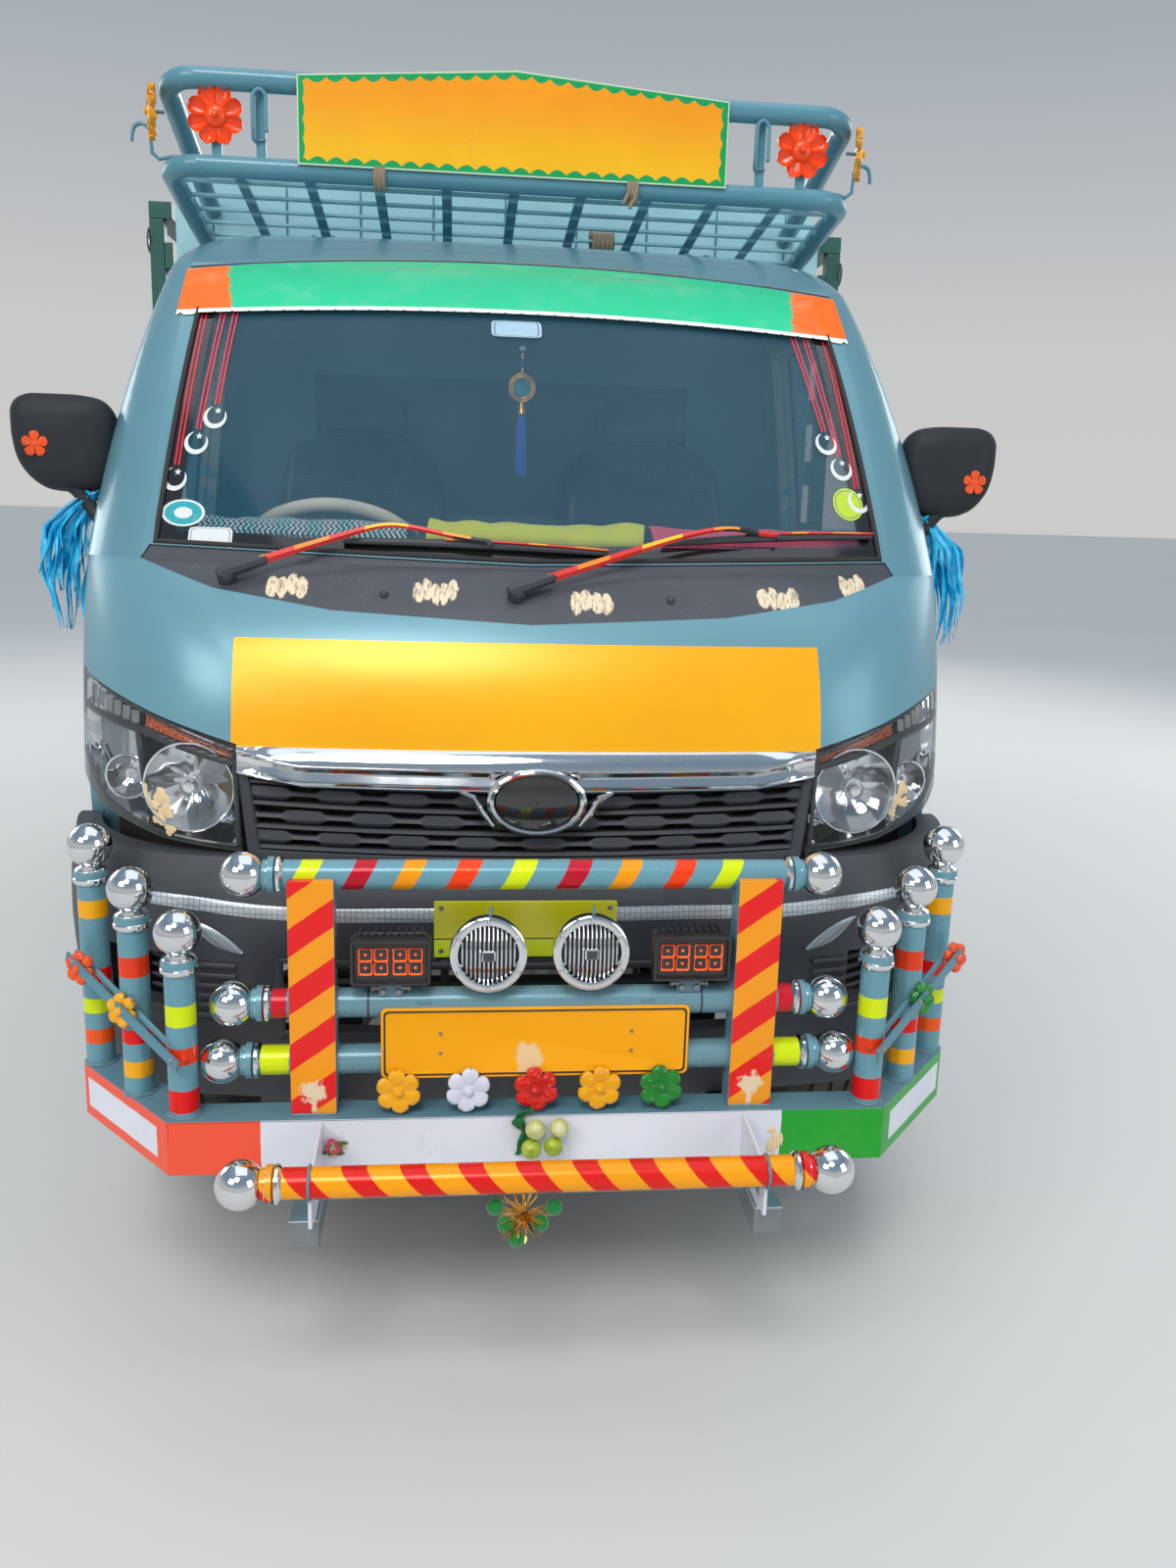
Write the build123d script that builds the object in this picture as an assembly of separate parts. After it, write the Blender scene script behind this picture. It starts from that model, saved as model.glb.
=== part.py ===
from build123d import *
import os

# Small semi-forward-control pick-up truck, right-hand drive, with a painted
# front guard and an overhead crown rack.  Millimetres, +Z up, the truck faces
# -Y, so its right-hand side (the driver's) is at -X.  Lengths along Y are
# written from the face of the front number plate and moved by Y_SHIFT at the
# end, so that the origin is at the middle of the footprint.

# ------------------------------------------------------------ driving sizes
Y_FRONT, Y_REAR = -221.0, 4887.0        # foremost ball, rear face of tailgate
Y_SHIFT = -(Y_FRONT + Y_REAR) / 2
WHEELBASE = 2600.0
AXLE_F = 950.0                          # front axle line
AXLE_R = AXLE_F + WHEELBASE
TYRE_R, TYRE_W = 352.0, 215.0
TRACK_HALF = 700.0
WHEEL_Z = TYRE_R
KINGPIN_X = 560.0
ARCH_R = 460.0                          # wheel arch of the cab
RAIL_X0, RAIL_X1, RAIL_Z0, RAIL_Z1 = 300.0, 360.0, 480.0, 600.0
CAB_BACK = 1850.0
SKIN = 50.0                             # thickness of doors and cab walls
FLOOR_Z = 815.0
DOOR_Y0, DOOR_Y1, DOOR_Z0, DOOR_Z1 = 682.0, 1700.0, 526.0, 1925.0
HINGE_X, HINGE_Y = 838.0, 678.0         # door hinge line
BODY_Y0, BODY_Y1 = 1905.0, 4845.0       # load body, outside
BODY_HALF = 940.0                       # load body, outside of the panels
DECK_Z = 850.0
SIDE_Z = 1255.0                         # top of the pressed side panels
FRAME_Z = 2250.0                        # top of the side frames
WHEEL_TILT = 40.0                       # steering wheel axis from vertical
STEER_C = (-390.0, 920.0, 1335.0)       # steering wheel centre
GUARD_R = 24.0                          # tubes of the front guard
BALL_R = 36.0                           # ball finials


def box(x0, x1, y0, y1, z0, z1):
    return Pos((x0 + x1) / 2, (y0 + y1) / 2, (z0 + z1) / 2) * Box(x1 - x0, y1 - y0, z1 - z0)


def bar(p, q, r, r2=None):
    v = Vector(*q) - Vector(*p)
    pl = Plane(origin=Vector(*p), z_dir=v)
    c = Cylinder(r, v.length, align=(Align.CENTER, Align.CENTER, Align.MIN))
    if r2:
        c = c - Cylinder(r2, v.length, align=(Align.CENTER, Align.CENTER, Align.MIN))
    return pl * c


def ball(p, r):
    return Pos(*p) * Sphere(r)


def prism_x(pts, x0, x1):
    return extrude(make_face(Polyline(*[(x0, y, z) for y, z in pts], close=True)), amount=x1 - x0, dir=(1, 0, 0))


def prism_y(pts, y0, y1):
    return extrude(make_face(Polyline(*[(x, y0, z) for x, z in pts], close=True)), amount=y1 - y0, dir=(0, 1, 0))


def prism_z(pts, z0, z1):
    return extrude(make_face(Polyline(*[(x, y, z0) for x, y in pts], close=True)), amount=z1 - z0, dir=(0, 0, 1))


def both(s):
    return s + mirror(s, about=Plane.YZ)


def flip(s):
    return mirror(s, about=Plane.YZ)


# ------------------------------------------------------------ cab outline
# plan sections of the cab: z height, yf front at the centre, xc and yc end of
# the front bow, ys where the corner meets the side, w half width, yb back
LOWER = [(500, 200, 560, 240, 560, 822, 0), (900, 205, 540, 240, 560, 834, 0),
         (1060, 215, 511, 242, 575, 837, 0), (1235, 285, 520, 308, 600, 836, 0),
         (1355, 400, 700, 470, 650, 832, 0)]
GREEN = [(1355, 400, 700, 470, 650, 832, 0), (1820, 850, 695, 890, 985, 778, 0),
         (1955, 1010, 700, 1060, 1150, 757, 0)]
ROOF = [(1955, 1010, 700, 1060, 1150, 757, 0), (2045, 1220, 620, 1262, 1370, 700, 12),
        (2082, 1420, 430, 1450, 1540, 540, 60)]
BUMPER = [(415, 205, 560, 250, 520, 836, 0), (600, 150, 560, 200, 520, 852, 0),
          (800, 150, 560, 205, 525, 856, 0), (868, 185, 540, 225, 530, 848, 0)]


def section(row, t=0.0, drop=0.0):
    z, yf, xc, yc, ys, w, back = row
    z, yf, xc, yc, ys, w, yb = z - drop, yf + t, xc - 0.3 * t, yc + 0.95 * t, ys + 0.4 * t, w - t, CAB_BACK - back - t
    mx, my = xc + 0.68 * (w - xc), yc + 0.32 * (ys - yc)
    edges = [ThreePointArc((-xc, yc, z), (0, yf, z), (xc, yc, z)),
             ThreePointArc((xc, yc, z), (mx, my, z), (w, ys, z)),
             Line((w, ys, z), (w, yb, z)), Line((w, yb, z), (-w, yb, z)),
             Line((-w, yb, z), (-w, ys, z)),
             ThreePointArc((-w, ys, z), (-mx, my, z), (-xc, yc, z))]
    return make_face(edges)


def hull(rows, t=0.0, drops=None):
    return loft([section(r, t, drops[i] if drops else 0.0) for i, r in enumerate(rows)], ruled=False)


low_out, low_in = hull(LOWER), hull(LOWER, SKIN)
grn_out, grn_in = hull(GREEN), hull(GREEN, SKIN)
low_skin, grn_skin = low_out - low_in, grn_out - grn_in

# front view outlines (x, z)
LAMP = [(498, 872), (503, 1060), (640, 1100), (815, 1158), (870, 1158), (870, 1000), (760, 925), (640, 890)]
COWL = [(-700, 1356), (-560, 1312), (-350, 1281), (0, 1264), (350, 1281), (560, 1312), (700, 1356),
        (686, 1380), (0, 1362), (-686, 1380)]
SCREEN = [(-680, 1382), (0, 1364), (680, 1382), (664, 1932), (0, 1948), (-664, 1932)]
lamp_r = prism_y(LAMP, 100, 556)
lamp_cut = both(lamp_r)
nose = box(-900, 900, 100, 560, 0, 1400)
arch = both(bar((500, AXLE_F, WHEEL_Z), (900, AXLE_F, WHEEL_Z), ARCH_R))

P = {}      # node name -> shape

# ------------------------------------------------------------ nose pieces
grille_box = box(-497, 497, 100, 560, 832, 1057)
cowl_prism = prism_y(COWL, 200, 640)
P["front_panel"] = (low_skin & nose & box(-900, 900, 100, 560, 1057, 1355)) - lamp_cut - cowl_prism
P["headlamps"] = ((low_out - hull(LOWER, 90.0)) & lamp_cut) - box(-790, 790, 515, 600, 600, 1300)
slots = Compound(children=[box(-440, 440, 100, 400, z, z + 22) for z in (858, 902, 946, 990)])
P["grille"] = (((hull(LOWER, 6.0) - hull(LOWER, 40.0)) & grille_box)) - slots
P["cowl_panel"] = ((hull(LOWER, 4.0) - hull(LOWER, 34.0)) & cowl_prism) + ((hull(GREEN, 4.0) - hull(GREEN, 34.0)) & cowl_prism)
b_out = hull(BUMPER)
b_skin = (b_out - hull(BUMPER, 42.0)) & box(-900, 900, 100, 548, 415, 868)
b_open = box(-430, 430, 100, 400, 560, 700) + both(box(575, 735, 100, 300, 600, 700))
P["bumper"] = b_skin - arch - b_open - lamp_cut - grille_box

# ------------------------------------------------------------ cab shell, doors
door_out = [(DOOR_Y0, DOOR_Z0), (DOOR_Y1, DOOR_Z0), (DOOR_Y1, DOOR_Z1), (1212, DOOR_Z1), (DOOR_Y0, 1345)]
door_gap = [(DOOR_Y0 - 8, DOOR_Z0 - 9), (DOOR_Y1 + 12, DOOR_Z0 - 9), (DOOR_Y1 + 12, DOOR_Z1 + 9), (1206, DOOR_Z1 + 9),
            (DOOR_Y0 - 8, 1352)]
WINDOW = [(802, 1395), (1650, 1395), (1650, 1880), (1246, 1880)]
lip = lambda r: bar((500, AXLE_F, WHEEL_Z), (900, AXLE_F, WHEEL_Z), r)
# the door's lower front corner stays above the arch, so that it swings clear of it
door_prism = prism_x(door_out, 600, 900) - lip(506) - box(500, 1000, 600, 770, 400, 822)
gap_prism = both(prism_x(door_gap, 600, 900) - lip(495) - box(500, 1000, 600, 760, 400, 811))
screen_prism = prism_y(SCREEN, 380, 1200)
rear_win = box(-520, 520, 1700, 1900, 1430, 1800)
shell = (low_skin - box(-900, 900, 100, 560, 0, 1400)) + grn_skin
shell = shell - gap_prism - screen_prism - cowl_prism - arch - rear_win - box(-640, 640, 1700, 1900, 400, 700)
P["cab_shell"] = shell
door = (low_skin & door_prism) + (grn_skin & door_prism) - prism_x(WINDOW, 600, 900)
P["door_left"] = door
P["door_right"] = flip(door)
g20 = hull(GREEN, 20.0) - hull(GREEN, 26.0)
pane = g20 & prism_x(WINDOW, 600, 900)
P["door_glass_left"], P["door_glass_right"] = pane, flip(pane)
screen = (hull(GREEN, 5.0) - hull(GREEN, 12.0)) & screen_prism
P["cab_glass"] = screen + box(-520, 520, 1822, 1828, 1430, 1800)
roof_in = hull(ROOF, 34.0, [0, 30, 34])
P["roof_panel"] = hull(ROOF) - roof_in
floor = box(-784, 784, 546, 1799, FLOOR_Z, FLOOR_Z + 35) + box(-784, 784, 521, 546, 640, 1290)
floor = (floor + box(-640, 640, 1150, 1640, FLOOR_Z + 35, 940)) & hull(LOWER, 52.0)
step = both(box(640, 768, 1430, 1798, 508, 526) + box(640, 652, 1430, 1798, 526, 815))
liner = both(bar((560, AXLE_F, WHEEL_Z), (790, AXLE_F, WHEEL_Z), ARCH_R + 4, ARCH_R) & box(500, 800, 400, 1420, 502, 900)) & hull(LOWER, 52.0)
P["cab_floor"] = floor + step + liner + both(box(560, 760, AXLE_F - 60, AXLE_F + 60, 812, FLOOR_Z + 2))
P["dashboard"] = prism_x([(600, 1322), (770, 1350), (812, 1300), (800, 1120), (720, 1010), (560, 1010), (560, 1290)], -765, 765) & hull(LOWER, 54.0)

# ------------------------------------------------------------ inside the cab
steer_z = Vector(0, 1, 0).rotate(Axis.X, 90 - WHEEL_TILT)          # towards the driver
sc = Vector(*STEER_C)
wheel_plane = Plane(origin=sc, z_dir=steer_z, x_dir=Vector(1, 0, 0))
rim_shape = Torus(188, 14) + Pos(0, 0, -12) * Cylinder(52, 34)
for a in (0, 120, 240):
    rim_shape += Rot(0, 0, a - 90) * Pos(115, 0, -6) * Box(150, 30, 12)
P["steering_wheel"] = wheel_plane * (rim_shape - Pos(0, 0, -30) * Cylinder(14.05, 24))
P["steering_column"] = wheel_plane * (Pos(0, 0, -104) * Cylinder(14, 130) + Pos(0, 0, -150) * Cylinder(34, 190)) - P["dashboard"]
# seats: x centre, half width
seat_parts = []
for x in (-385.0, 385.0):
    cushion = box(x - 235, x + 235, 1175, 1640, 940, 1075)
    back = prism_x([(1558, 1070), (1680, 1070), (1765, 1620), (1672, 1630)], x - 230, x + 230)
    head = prism_x([(1672, 1644), (1762, 1634), (1778, 1762), (1690, 1772)], x - 125, x + 125)
    posts_ = bar((x - 60, 1716, 1600), (x - 60, 1722, 1660), 7) + bar((x + 60, 1716, 1600), (x + 60, 1722, 1660), 7)
    seat_parts.append(cushion + back + head + posts_)
P["seats"] = seat_parts[0] + seat_parts[1]

# ------------------------------------------------------------ mirrors, wipers
m = box(800, 1003, 725, 800, 1468, 1652)
m = fillet(m.edges(), 26)
arm = bar((880, 760, 1480), (822, 742, 1392), 13) + box(790, 834, 712, 770, 1368, 1404)
mir = (m + arm) - hull(LOWER) - grn_out
P["mirror_left"], P["mirror_right"] = mir, flip(mir)
# wipers: foot of the spindle, its top, bend of the arm, where it meets the blade, both ends of the blade
WIPERS = [[(-536, 402, 1321), (-536, 390, 1337), (-268, 440, 1424), (-75, 424, 1397), (-337, 441, 1396), (143, 421, 1386)],
          [(-28, 350, 1309), (-28, 338, 1321), (339, 452, 1434), (470, 476, 1421), (247, 442, 1406), (664, 514, 1428)]]
wipers = []
for foot, top_, bend, join, b0, b1 in WIPERS:
    wipers.append(bar(foot, top_, 13) + bar(top_, bend, 6) + bar(bend, join, 6) + bar(b0, b1, 6))

# ------------------------------------------------------------ chassis
frame = both(box(RAIL_X0, RAIL_X1, 300, 4700, RAIL_Z0, RAIL_Z1))
for y in (330, 2020, 2700, 3330, 4160, 4670):
    frame += box(-RAIL_X0, RAIL_X0, y - 30, y + 30, RAIL_Z1 - 38, RAIL_Z1 - 4)
frame += both(box(335, 380, 300, 372, 410, RAIL_Z0) + box(335, 380, 300, 372, 360, 410))
frame += both(box(RAIL_X0 + 5, RAIL_X1 - 5, 700, 760, RAIL_Z1, FLOOR_Z) + box(RAIL_X0 + 5, RAIL_X1 - 5, 1700, 1760, RAIL_Z1, FLOOR_Z))
frame += box(-820, 820, 4700, 4740, 500, 580) + box(-820, 820, 4740, 4775, 420, 480) + both(box(300, 360, 4700, 4745, 420, 500))
# four holes in the rear cross member, for a towing bracket
for x in (-60, 60):
    for z in (515, 565):
        frame = frame - bar((x, 4690, z), (x, 4750, z), 6.5)
P["chassis_frame"] = frame
P["engine_block"] = box(-270, 270, 780, 1385, 425, 805) + box(-120, 120, 1385, 1800, 425, 640)
boss = lambda x: bar((x, AXLE_F, 300), (x, AXLE_F, 404), 28) - bar((x, AXLE_F, 290), (x, AXLE_F, 420), 10.05)
beam = box(-545, 545, AXLE_F - 30, AXLE_F + 30, 308, 365) + both(box(295, 365, AXLE_F - 55, AXLE_F + 55, 365, 392))
beam = beam - both(bar((KINGPIN_X, AXLE_F, 280), (KINGPIN_X, AXLE_F, 420), 20))
P["front_axle"] = beam + boss(KINGPIN_X) + boss(-KINGPIN_X)
ra = bar((-612, AXLE_R, WHEEL_Z), (612, AXLE_R, WHEEL_Z), 40) + ball((0, AXLE_R, WHEEL_Z), 130)
ra += both(bar((612, AXLE_R, WHEEL_Z), (745, AXLE_R, WHEEL_Z), 30) + bar((612, AXLE_R, WHEEL_Z), (638, AXLE_R, WHEEL_Z), 125))
ra += both(box(295, 365, AXLE_R - 60, AXLE_R + 60, 352, 392)) + bar((0, 1806, 520), (0, AXLE_R - 60, 372), 36)
P["rear_axle"] = ra
springs = []
for yc in (AXLE_F, AXLE_R):
    leaf = prism_x([(yc - 500, 452), (yc - 180, 408), (yc - 110, 392), (yc + 110, 392), (yc + 180, 408), (yc + 500, 452),
                    (yc + 500, 466), (yc + 120, 432), (yc - 120, 432), (yc - 500, 466)], RAIL_X0, RAIL_X1)
    leaf += bar((RAIL_X0, yc - 505, 459), (RAIL_X1, yc - 505, 459), 21) + bar((RAIL_X0, yc + 505, 459), (RAIL_X1, yc + 505, 459), 21)
    springs += [leaf, flip(leaf)]
P["leaf_springs"] = springs[0] + springs[1] + springs[2] + springs[3]
P["exhaust"] = bar((-200, 1386, 470), (-200, 2150, 440), 22) + bar((-200, 2150, 440), (-200, 2640, 440), 80) + bar((-200, 2640, 440), (-200, 2830, 440), 22) + ball((-200, 2830, 440), 22) + bar((-200, 2830, 440), (-570, 2870, 440), 22)
tank = box(400, 690, 2080, 2800, 330, 640)
tank = fillet(tank.edges().filter_by(Axis.Y), 45) + box(360, 402, 2150, 2190, 500, 580) + box(360, 402, 2690, 2730, 500, 580)
P["side_tanks"] = tank + (box(-660, -400, 2080, 2450, 380, 640) + box(-402, -360, 2120, 2160, 500, 580) + box(-402, -360, 2370, 2410, 500, 580))


def tyre_at(x, y, z=WHEEL_Z, upright=True):
    # half section: bead, sidewall bulge, shoulder, crown
    e = [Line((-67, 187), (67, 187)), Line((67, 187), (67, 199)), ThreePointArc((67, 199), (107.4, 275), (92, 343)),
         ThreePointArc((92, 343), (0, TYRE_R), (-92, 343)), ThreePointArc((-92, 343), (-107.4, 275), (-67, 199)), Line((-67, 199), (-67, 187))]
    t = revolve(make_face(e), Axis.X)
    return Pos(x, y, z) * (t if upright else Rot(0, 90, 0) * t)


def rim_at(x, y, side, z=WHEEL_Z, bore=0.0, upright=True, drum=True):
    # outer side is +X before mirroring
    pts = [(-76, 197), (-70, 197), (-68, 186.5), (68, 186.5), (70, 197), (76, 197), (76, 190), (66, 178), (30, 172),
           (24, 150), (34, 100), (34, 70), (40, 60), (40, 0.0), (4, 0.0), (4, 110), (20, 150), (18, 170), (-60, 178), (-76, 190)]
    s = revolve(make_face(Polyline(*pts, close=True)), Axis.X)
    if drum:
        s += bar((-58, 0, 0), (6, 0, 0), 122)
    if bore:
        s = s - bar((-60, 0, 0), (46, 0, 0), bore)
    if side < 0:
        s = mirror(s, about=Plane.YZ)
    return Pos(x, y, z) * (s if upright else Rot(0, 90, 0) * s)


# wheels: name, side, axle line, bore radius
for name, side, y, bore in (("front_left", 1, AXLE_F, 18.05), ("front_right", -1, AXLE_F, 18.05),
                            ("rear_left", 1, AXLE_R, 30.05), ("rear_right", -1, AXLE_R, 30.05)):
    P["tyre_" + name] = tyre_at(side * TRACK_HALF, y)
    P["rim_" + name] = rim_at(side * TRACK_HALF, y, side, bore=bore)
for name, side in (("left", 1), ("right", -1)):
    x = KINGPIN_X
    k = box(x - 32, x + 60, AXLE_F - 32, AXLE_F + 32, 406, 424) + box(x - 32, x + 60, AXLE_F - 32, AXLE_F + 32, 280, 298)
    k += box(x + 36, x + 66, AXLE_F - 32, AXLE_F + 32, 280, 424) + bar((x + 64, AXLE_F, WHEEL_Z), (x + 185, AXLE_F, WHEEL_Z), 18)
    k += bar((x + 66, AXLE_F, WHEEL_Z), (x + 74, AXLE_F, WHEEL_Z), 124) + bar((x, AXLE_F, 290), (x, AXLE_F, 410), 10)
    P["knuckle_" + name] = k if side > 0 else flip(k)
spare_y = 4385.0
P["spare_wheel"] = tyre_at(0, spare_y, 362, False) + rim_at(0, spare_y, 1, z=362, upright=False, drum=False)

# ------------------------------------------------------------ load body
# deck plate, two long bearers, seven cross bearers, and the tailgate's lugs and pins as separate bars
HINGE_TX = (-650, 0, 650)
deck = [box(-895, 895, BODY_Y0 + 40, BODY_Y1, 820, DECK_Z)]
deck += [box(a, a + RAIL_X1 - RAIL_X0, BODY_Y0 + 30, 4800, RAIL_Z1, 759.7) for a in (RAIL_X0, -RAIL_X1)]
deck += [box(-935, 935, 1990 + i * 462 - 25, 1990 + i * 462 + 25, 760, 819.7) for i in range(7)]
for x in HINGE_TX:
    deck += [box(x + a, x + a + 8, BODY_Y1 + 0.3, 4874, 826, 846) for a in (-46, 38)]
    deck.append(bar((x - 37.7, 4866, 838), (x + 37.7, 4866, 838), 5))
P["load_floor"] = Compound(children=deck)
post_y = [BODY_Y0 + 62 + i * (BODY_Y1 - BODY_Y0 - 84) / 6 for i in range(7)]
# side walls: pressed panel, posts, slats and top rail as separate bars
side = [box(900, BODY_HALF, BODY_Y0 + 40, BODY_Y1, 822, SIDE_Z)]
for y in post_y:
    side.append(box(BODY_HALF + 0.3, 980, y - 22, y + 22, 822, FRAME_Z - 45.3))
for z in (1400, 1580, 1760, 1940, 2110):
    side.append(box(918, BODY_HALF, BODY_Y0 + 40, BODY_Y1, z - 35, z + 35))
side.append(box(918, 980, BODY_Y0 + 40, BODY_Y1, FRAME_Z - 45, FRAME_Z))
P["side_walls"] = Compound(children=[k for b in side for k in (b, flip(b))])
head_sheet = prism_y([(-900, 822), (900, 822), (900, 2230), (870, 2300), (810, 2330), (-810, 2330), (-870, 2300), (-900, 2230)], BODY_Y0, BODY_Y0 + 8)
for x in (-872, -300, 300, 872):
    head_sheet += box(x - 25, x + 25, BODY_Y0 + 6, BODY_Y0 + 38, 851, 2228)
head_sheet += box(-880, 880, BODY_Y0 - 30, BODY_Y0 + 2, 2092, 2136) + box(-880, 880, BODY_Y0 + 6, BODY_Y0 + 30, 1300, 1340)
P["headboard"] = head_sheet
gate = box(-936, 936, 4853, Y_REAR - 6, 862, SIDE_Z)
for x in (-910, -520, -130, 130, 520, 910):
    gate += box(x - 22, x + 22, Y_REAR - 8, Y_REAR, 862, SIDE_Z)
for x in HINGE_TX:
    gate += box(x - 30, x + 30, 4858, 4874, 836, 866) + bar((x - 32, 4866, 838), (x + 32, 4866, 838), 10)
    gate = gate - bar((x - 40, 4866, 838), (x + 40, 4866, 838), 5.05)
P["tailgate"] = gate
guards = bar((592, AXLE_R, WHEEL_Z), (812, AXLE_R, WHEEL_Z), 404, 400) & box(580, 820, AXLE_R - 410, AXLE_R + 410, 520, 757)
guards += box(592, 812, AXLE_R + 364, AXLE_R + 370, 300, 560) + box(660, 700, AXLE_R - 20, AXLE_R + 20, 753, 820)
P["mudguards"] = both(guards)
P["tail_lamps"] = both(box(600, 800, 4775, 4808, 424, 478) )
P["number_plates"] = box(-250, 250, -3, 0, 560, 680) + box(-560, -220, 4775, 4778, 430, 550)

# ------------------------------------------------------------ crown rack
rack_y, rack_x = 1320.0, 800.0
# rails: height at the front, height where they reach the headboard
rack = None
for zf, zb in ((2391.0, 2225.0), (2206.0, 2116.0)):
    c = 85.0
    zc = zf - (zf - zb) * c / (1900 - rack_y)
    pts = [(-rack_x, 1900, zb), (-rack_x, rack_y, zf), (rack_x, rack_y, zf), (rack_x, 1900, zb)]
    path = FilletPolyline(*pts, radius=70)
    r = sweep(Plane(origin=path @ 0, z_dir=path % 0) * Circle(24), path=path)
    rack = r if rack is None else rack + r
for x in (-685, -585, 585, 685):
    rack += box(x - 11, x + 11, rack_y - 3, rack_y + 3, 2206, 2391)
gz = lambda y: 2196 - 0.115 * (y - rack_y)
for x in [-640 + 160 * i for i in range(9)]:
    rack += prism_x([(rack_y, gz(rack_y) - 3), (1876, gz(1876) - 3), (1876, gz(1876) + 3), (rack_y, gz(rack_y) + 3)], x - 12, x + 12)
for y in (1400, 1500, 1600, 1700, 1800):
    rack += box(-795, 795, y - 12, y + 12, gz(y) + 2, gz(y) + 8)
P["crown_rack"] = rack - P["headboard"]
P["sign_board"] = prism_y([(-500, 2214), (500, 2214), (500, 2404), (0, 2440), (-500, 2404)], rack_y - 30, rack_y - 24.2)

# ------------------------------------------------------------ front guard
BEND, END_X, END_Y, GD = 585.0, 772.0, 205.0, 66.0
G0, G1 = 408.0, 500.0
girder = prism_z([(-END_X, END_Y), (-BEND, -22), (BEND, -22), (END_X, END_Y), (END_X - 52, END_Y + 42), (BEND - 32, GD - 22),
                  (-BEND + 32, GD - 22), (-END_X + 52, END_Y + 42)], G0, G1)
girder += both(box(335, 380, -165, 300, 362, G0))
girder += both(prism_x([(-22, 496), (-22, 412), (-172, 470), (-172, 486)], 342, 348) + box(342, 348, -190, -160, 408, 470))
P["guard_girder"] = girder - P["chassis_frame"]
# cross tubes: ball centre x, y, z
TUBES = [(463, 34, 892), (484, 24, 681), (503, 24, 584), (446, -185, 482)]
uprights = both(box(321, 393, -6, 44, G1, 892))
P["guard_uprights"] = uprights - bar((-400, 34, 892), (400, 34, 892), GUARD_R)
tubes = None
for bx, y, z in TUBES:
    s = bar((-bx + 30, y, z), (bx - 30, y, z), GUARD_R) + both(bar((bx - 48, y, z), (bx - 38, y, z), 29) + ball((bx, y, z), BALL_R))
    tubes = s if tubes is None else tubes + s
P["guard_tubes"] = tubes - P["guard_uprights"] - P["guard_girder"]
# posts: x, y, height of the top of the tube
posts = None
for x, y, zt in ((563, 12, 747), (652, 96, 792), (745, 216, 832)):
    s = bar((x, y, G1), (x, y, zt), 24) + bar((x, y, zt - 4), (x, y, zt + 14), 28) + bar((x, y, zt + 10), (x, y, zt + 30), 14) + ball((x, y, zt + 58), BALL_R)
    posts = s if posts is None else posts + s
strap = bar((767, 186, 712), (552, -14, 600), 5)
P["guard_posts"] = both(posts + strap)
horn = bar((0, -22, 0), (0, 4, 0), 62) + bar((0, 4, 0), (0, 46, 0), 40) + box(-16, 16, 2, 8, -90, -40)
P["horns"] = (Pos(-80, 10, 772) * horn + Pos(84, 10, 774) * horn) - bar((-300, 24, 681), (300, 24, 681), GUARD_R)
led = box(-64, 64, -14, 30, -39, 39) + box(-20, 20, 4, 10, -66, -38)
P["auxiliary_lamps"] = (Pos(-234, 12, 760) * led + Pos(248, 12, 763) * led) - bar((-320, 24, 681), (320, 24, 681), GUARD_R)
P["wipers"] = wipers[0] + wipers[1] - P["cowl_panel"] - P["cab_glass"] - P["cab_shell"]

# ------------------------------------------------------------ soft pieces
# ribbons tied to the mirror arms: a tapered bundle each, x y z and half sizes
RIBBON = [(858, 758, 1462, 14, 12), (905, 758, 1400, 52, 22), (918, 760, 1300, 62, 30), (915, 760, 1200, 40, 22)]
rib = loft([Pos(x, y, z) * Rectangle(2 * a, 2 * b) for x, y, z, a, b in RIBBON], ruled=True)
rib = rib - bar((880, 760, 1480), (822, 742, 1392), 13.4) - box(790, 834.4, 700, 780, 1360, 1410) - low_out - grn_out
P["ribbon_left"] = rib.solids().sort_by(SortBy.VOLUME)[-1]
P["ribbon_right"] = flip(P["ribbon_left"])
# garland: limes and cloth on the girder, tinsel ball under the lowest tube
P["garland"] = box(-34, 56, -62, -22.4, 434, 500.5) + Pos(-28, -170, 407) * (Sphere(50) & Box(200, 200, 96))
# pendant: thread from its holder on the screen, then ring, bell and tassel
PX, PY, PZ = 0.0, 828.0, 1778.0
P["pendant_cord"] = bar((PX, PY, PZ - 2), (PX, PY, 1736), 1.5) + (Pos(PX, PY, PZ) * Cylinder(7, 4) - P["cab_glass"] - box(-9, 9, 700, 826, PZ - 20, PZ + 20))
P["pendant_disc"] = (Pos(PX, PY, 1704) * Rot(90, 0, 0) * Cylinder(28, 6)) + bar((PX, PY, 1736), (PX, PY, 1731), 5) \
    + bar((PX, PY, 1678), (PX, PY, 1652), 11) + bar((PX, PY, 1652), (PX, PY, 1524), 13)
# rope hank wound round the second cross bar of the grid from the back, with a tail
hx, hy = 250.0, 1700.0
hz = gz(hy) + 5
P["rope_hank"] = (box(hx - 42, hx + 42, hy - 26, hy + 26, hz - 34, hz + 26) + box(hx - 22, hx + 8, hy - 12, hy + 12, hz - 62, hz - 33)) \
    - box(hx - 60, hx + 60, hy - 12.4, hy + 12.4, hz - 3.4, hz + 3.4)

# ------------------------------------------------------------ write
os.makedirs("parts", exist_ok=True)
for f in os.listdir("parts"):
    if f.endswith(".step"):
        os.remove(os.path.join("parts", f))
for name, shape in P.items():
    out = Pos(0, Y_SHIFT, 0) * shape
    solids = out.solids()
    if len(solids) > 1:
        out = Compound(children=list(solids))
    else:
        out = solids[0]
    export_step(out, "parts/" + name + ".step")
    print(name, len(solids))
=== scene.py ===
import bpy, bmesh, math, random
import numpy as np
from mathutils import Vector, Matrix, noise


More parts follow.
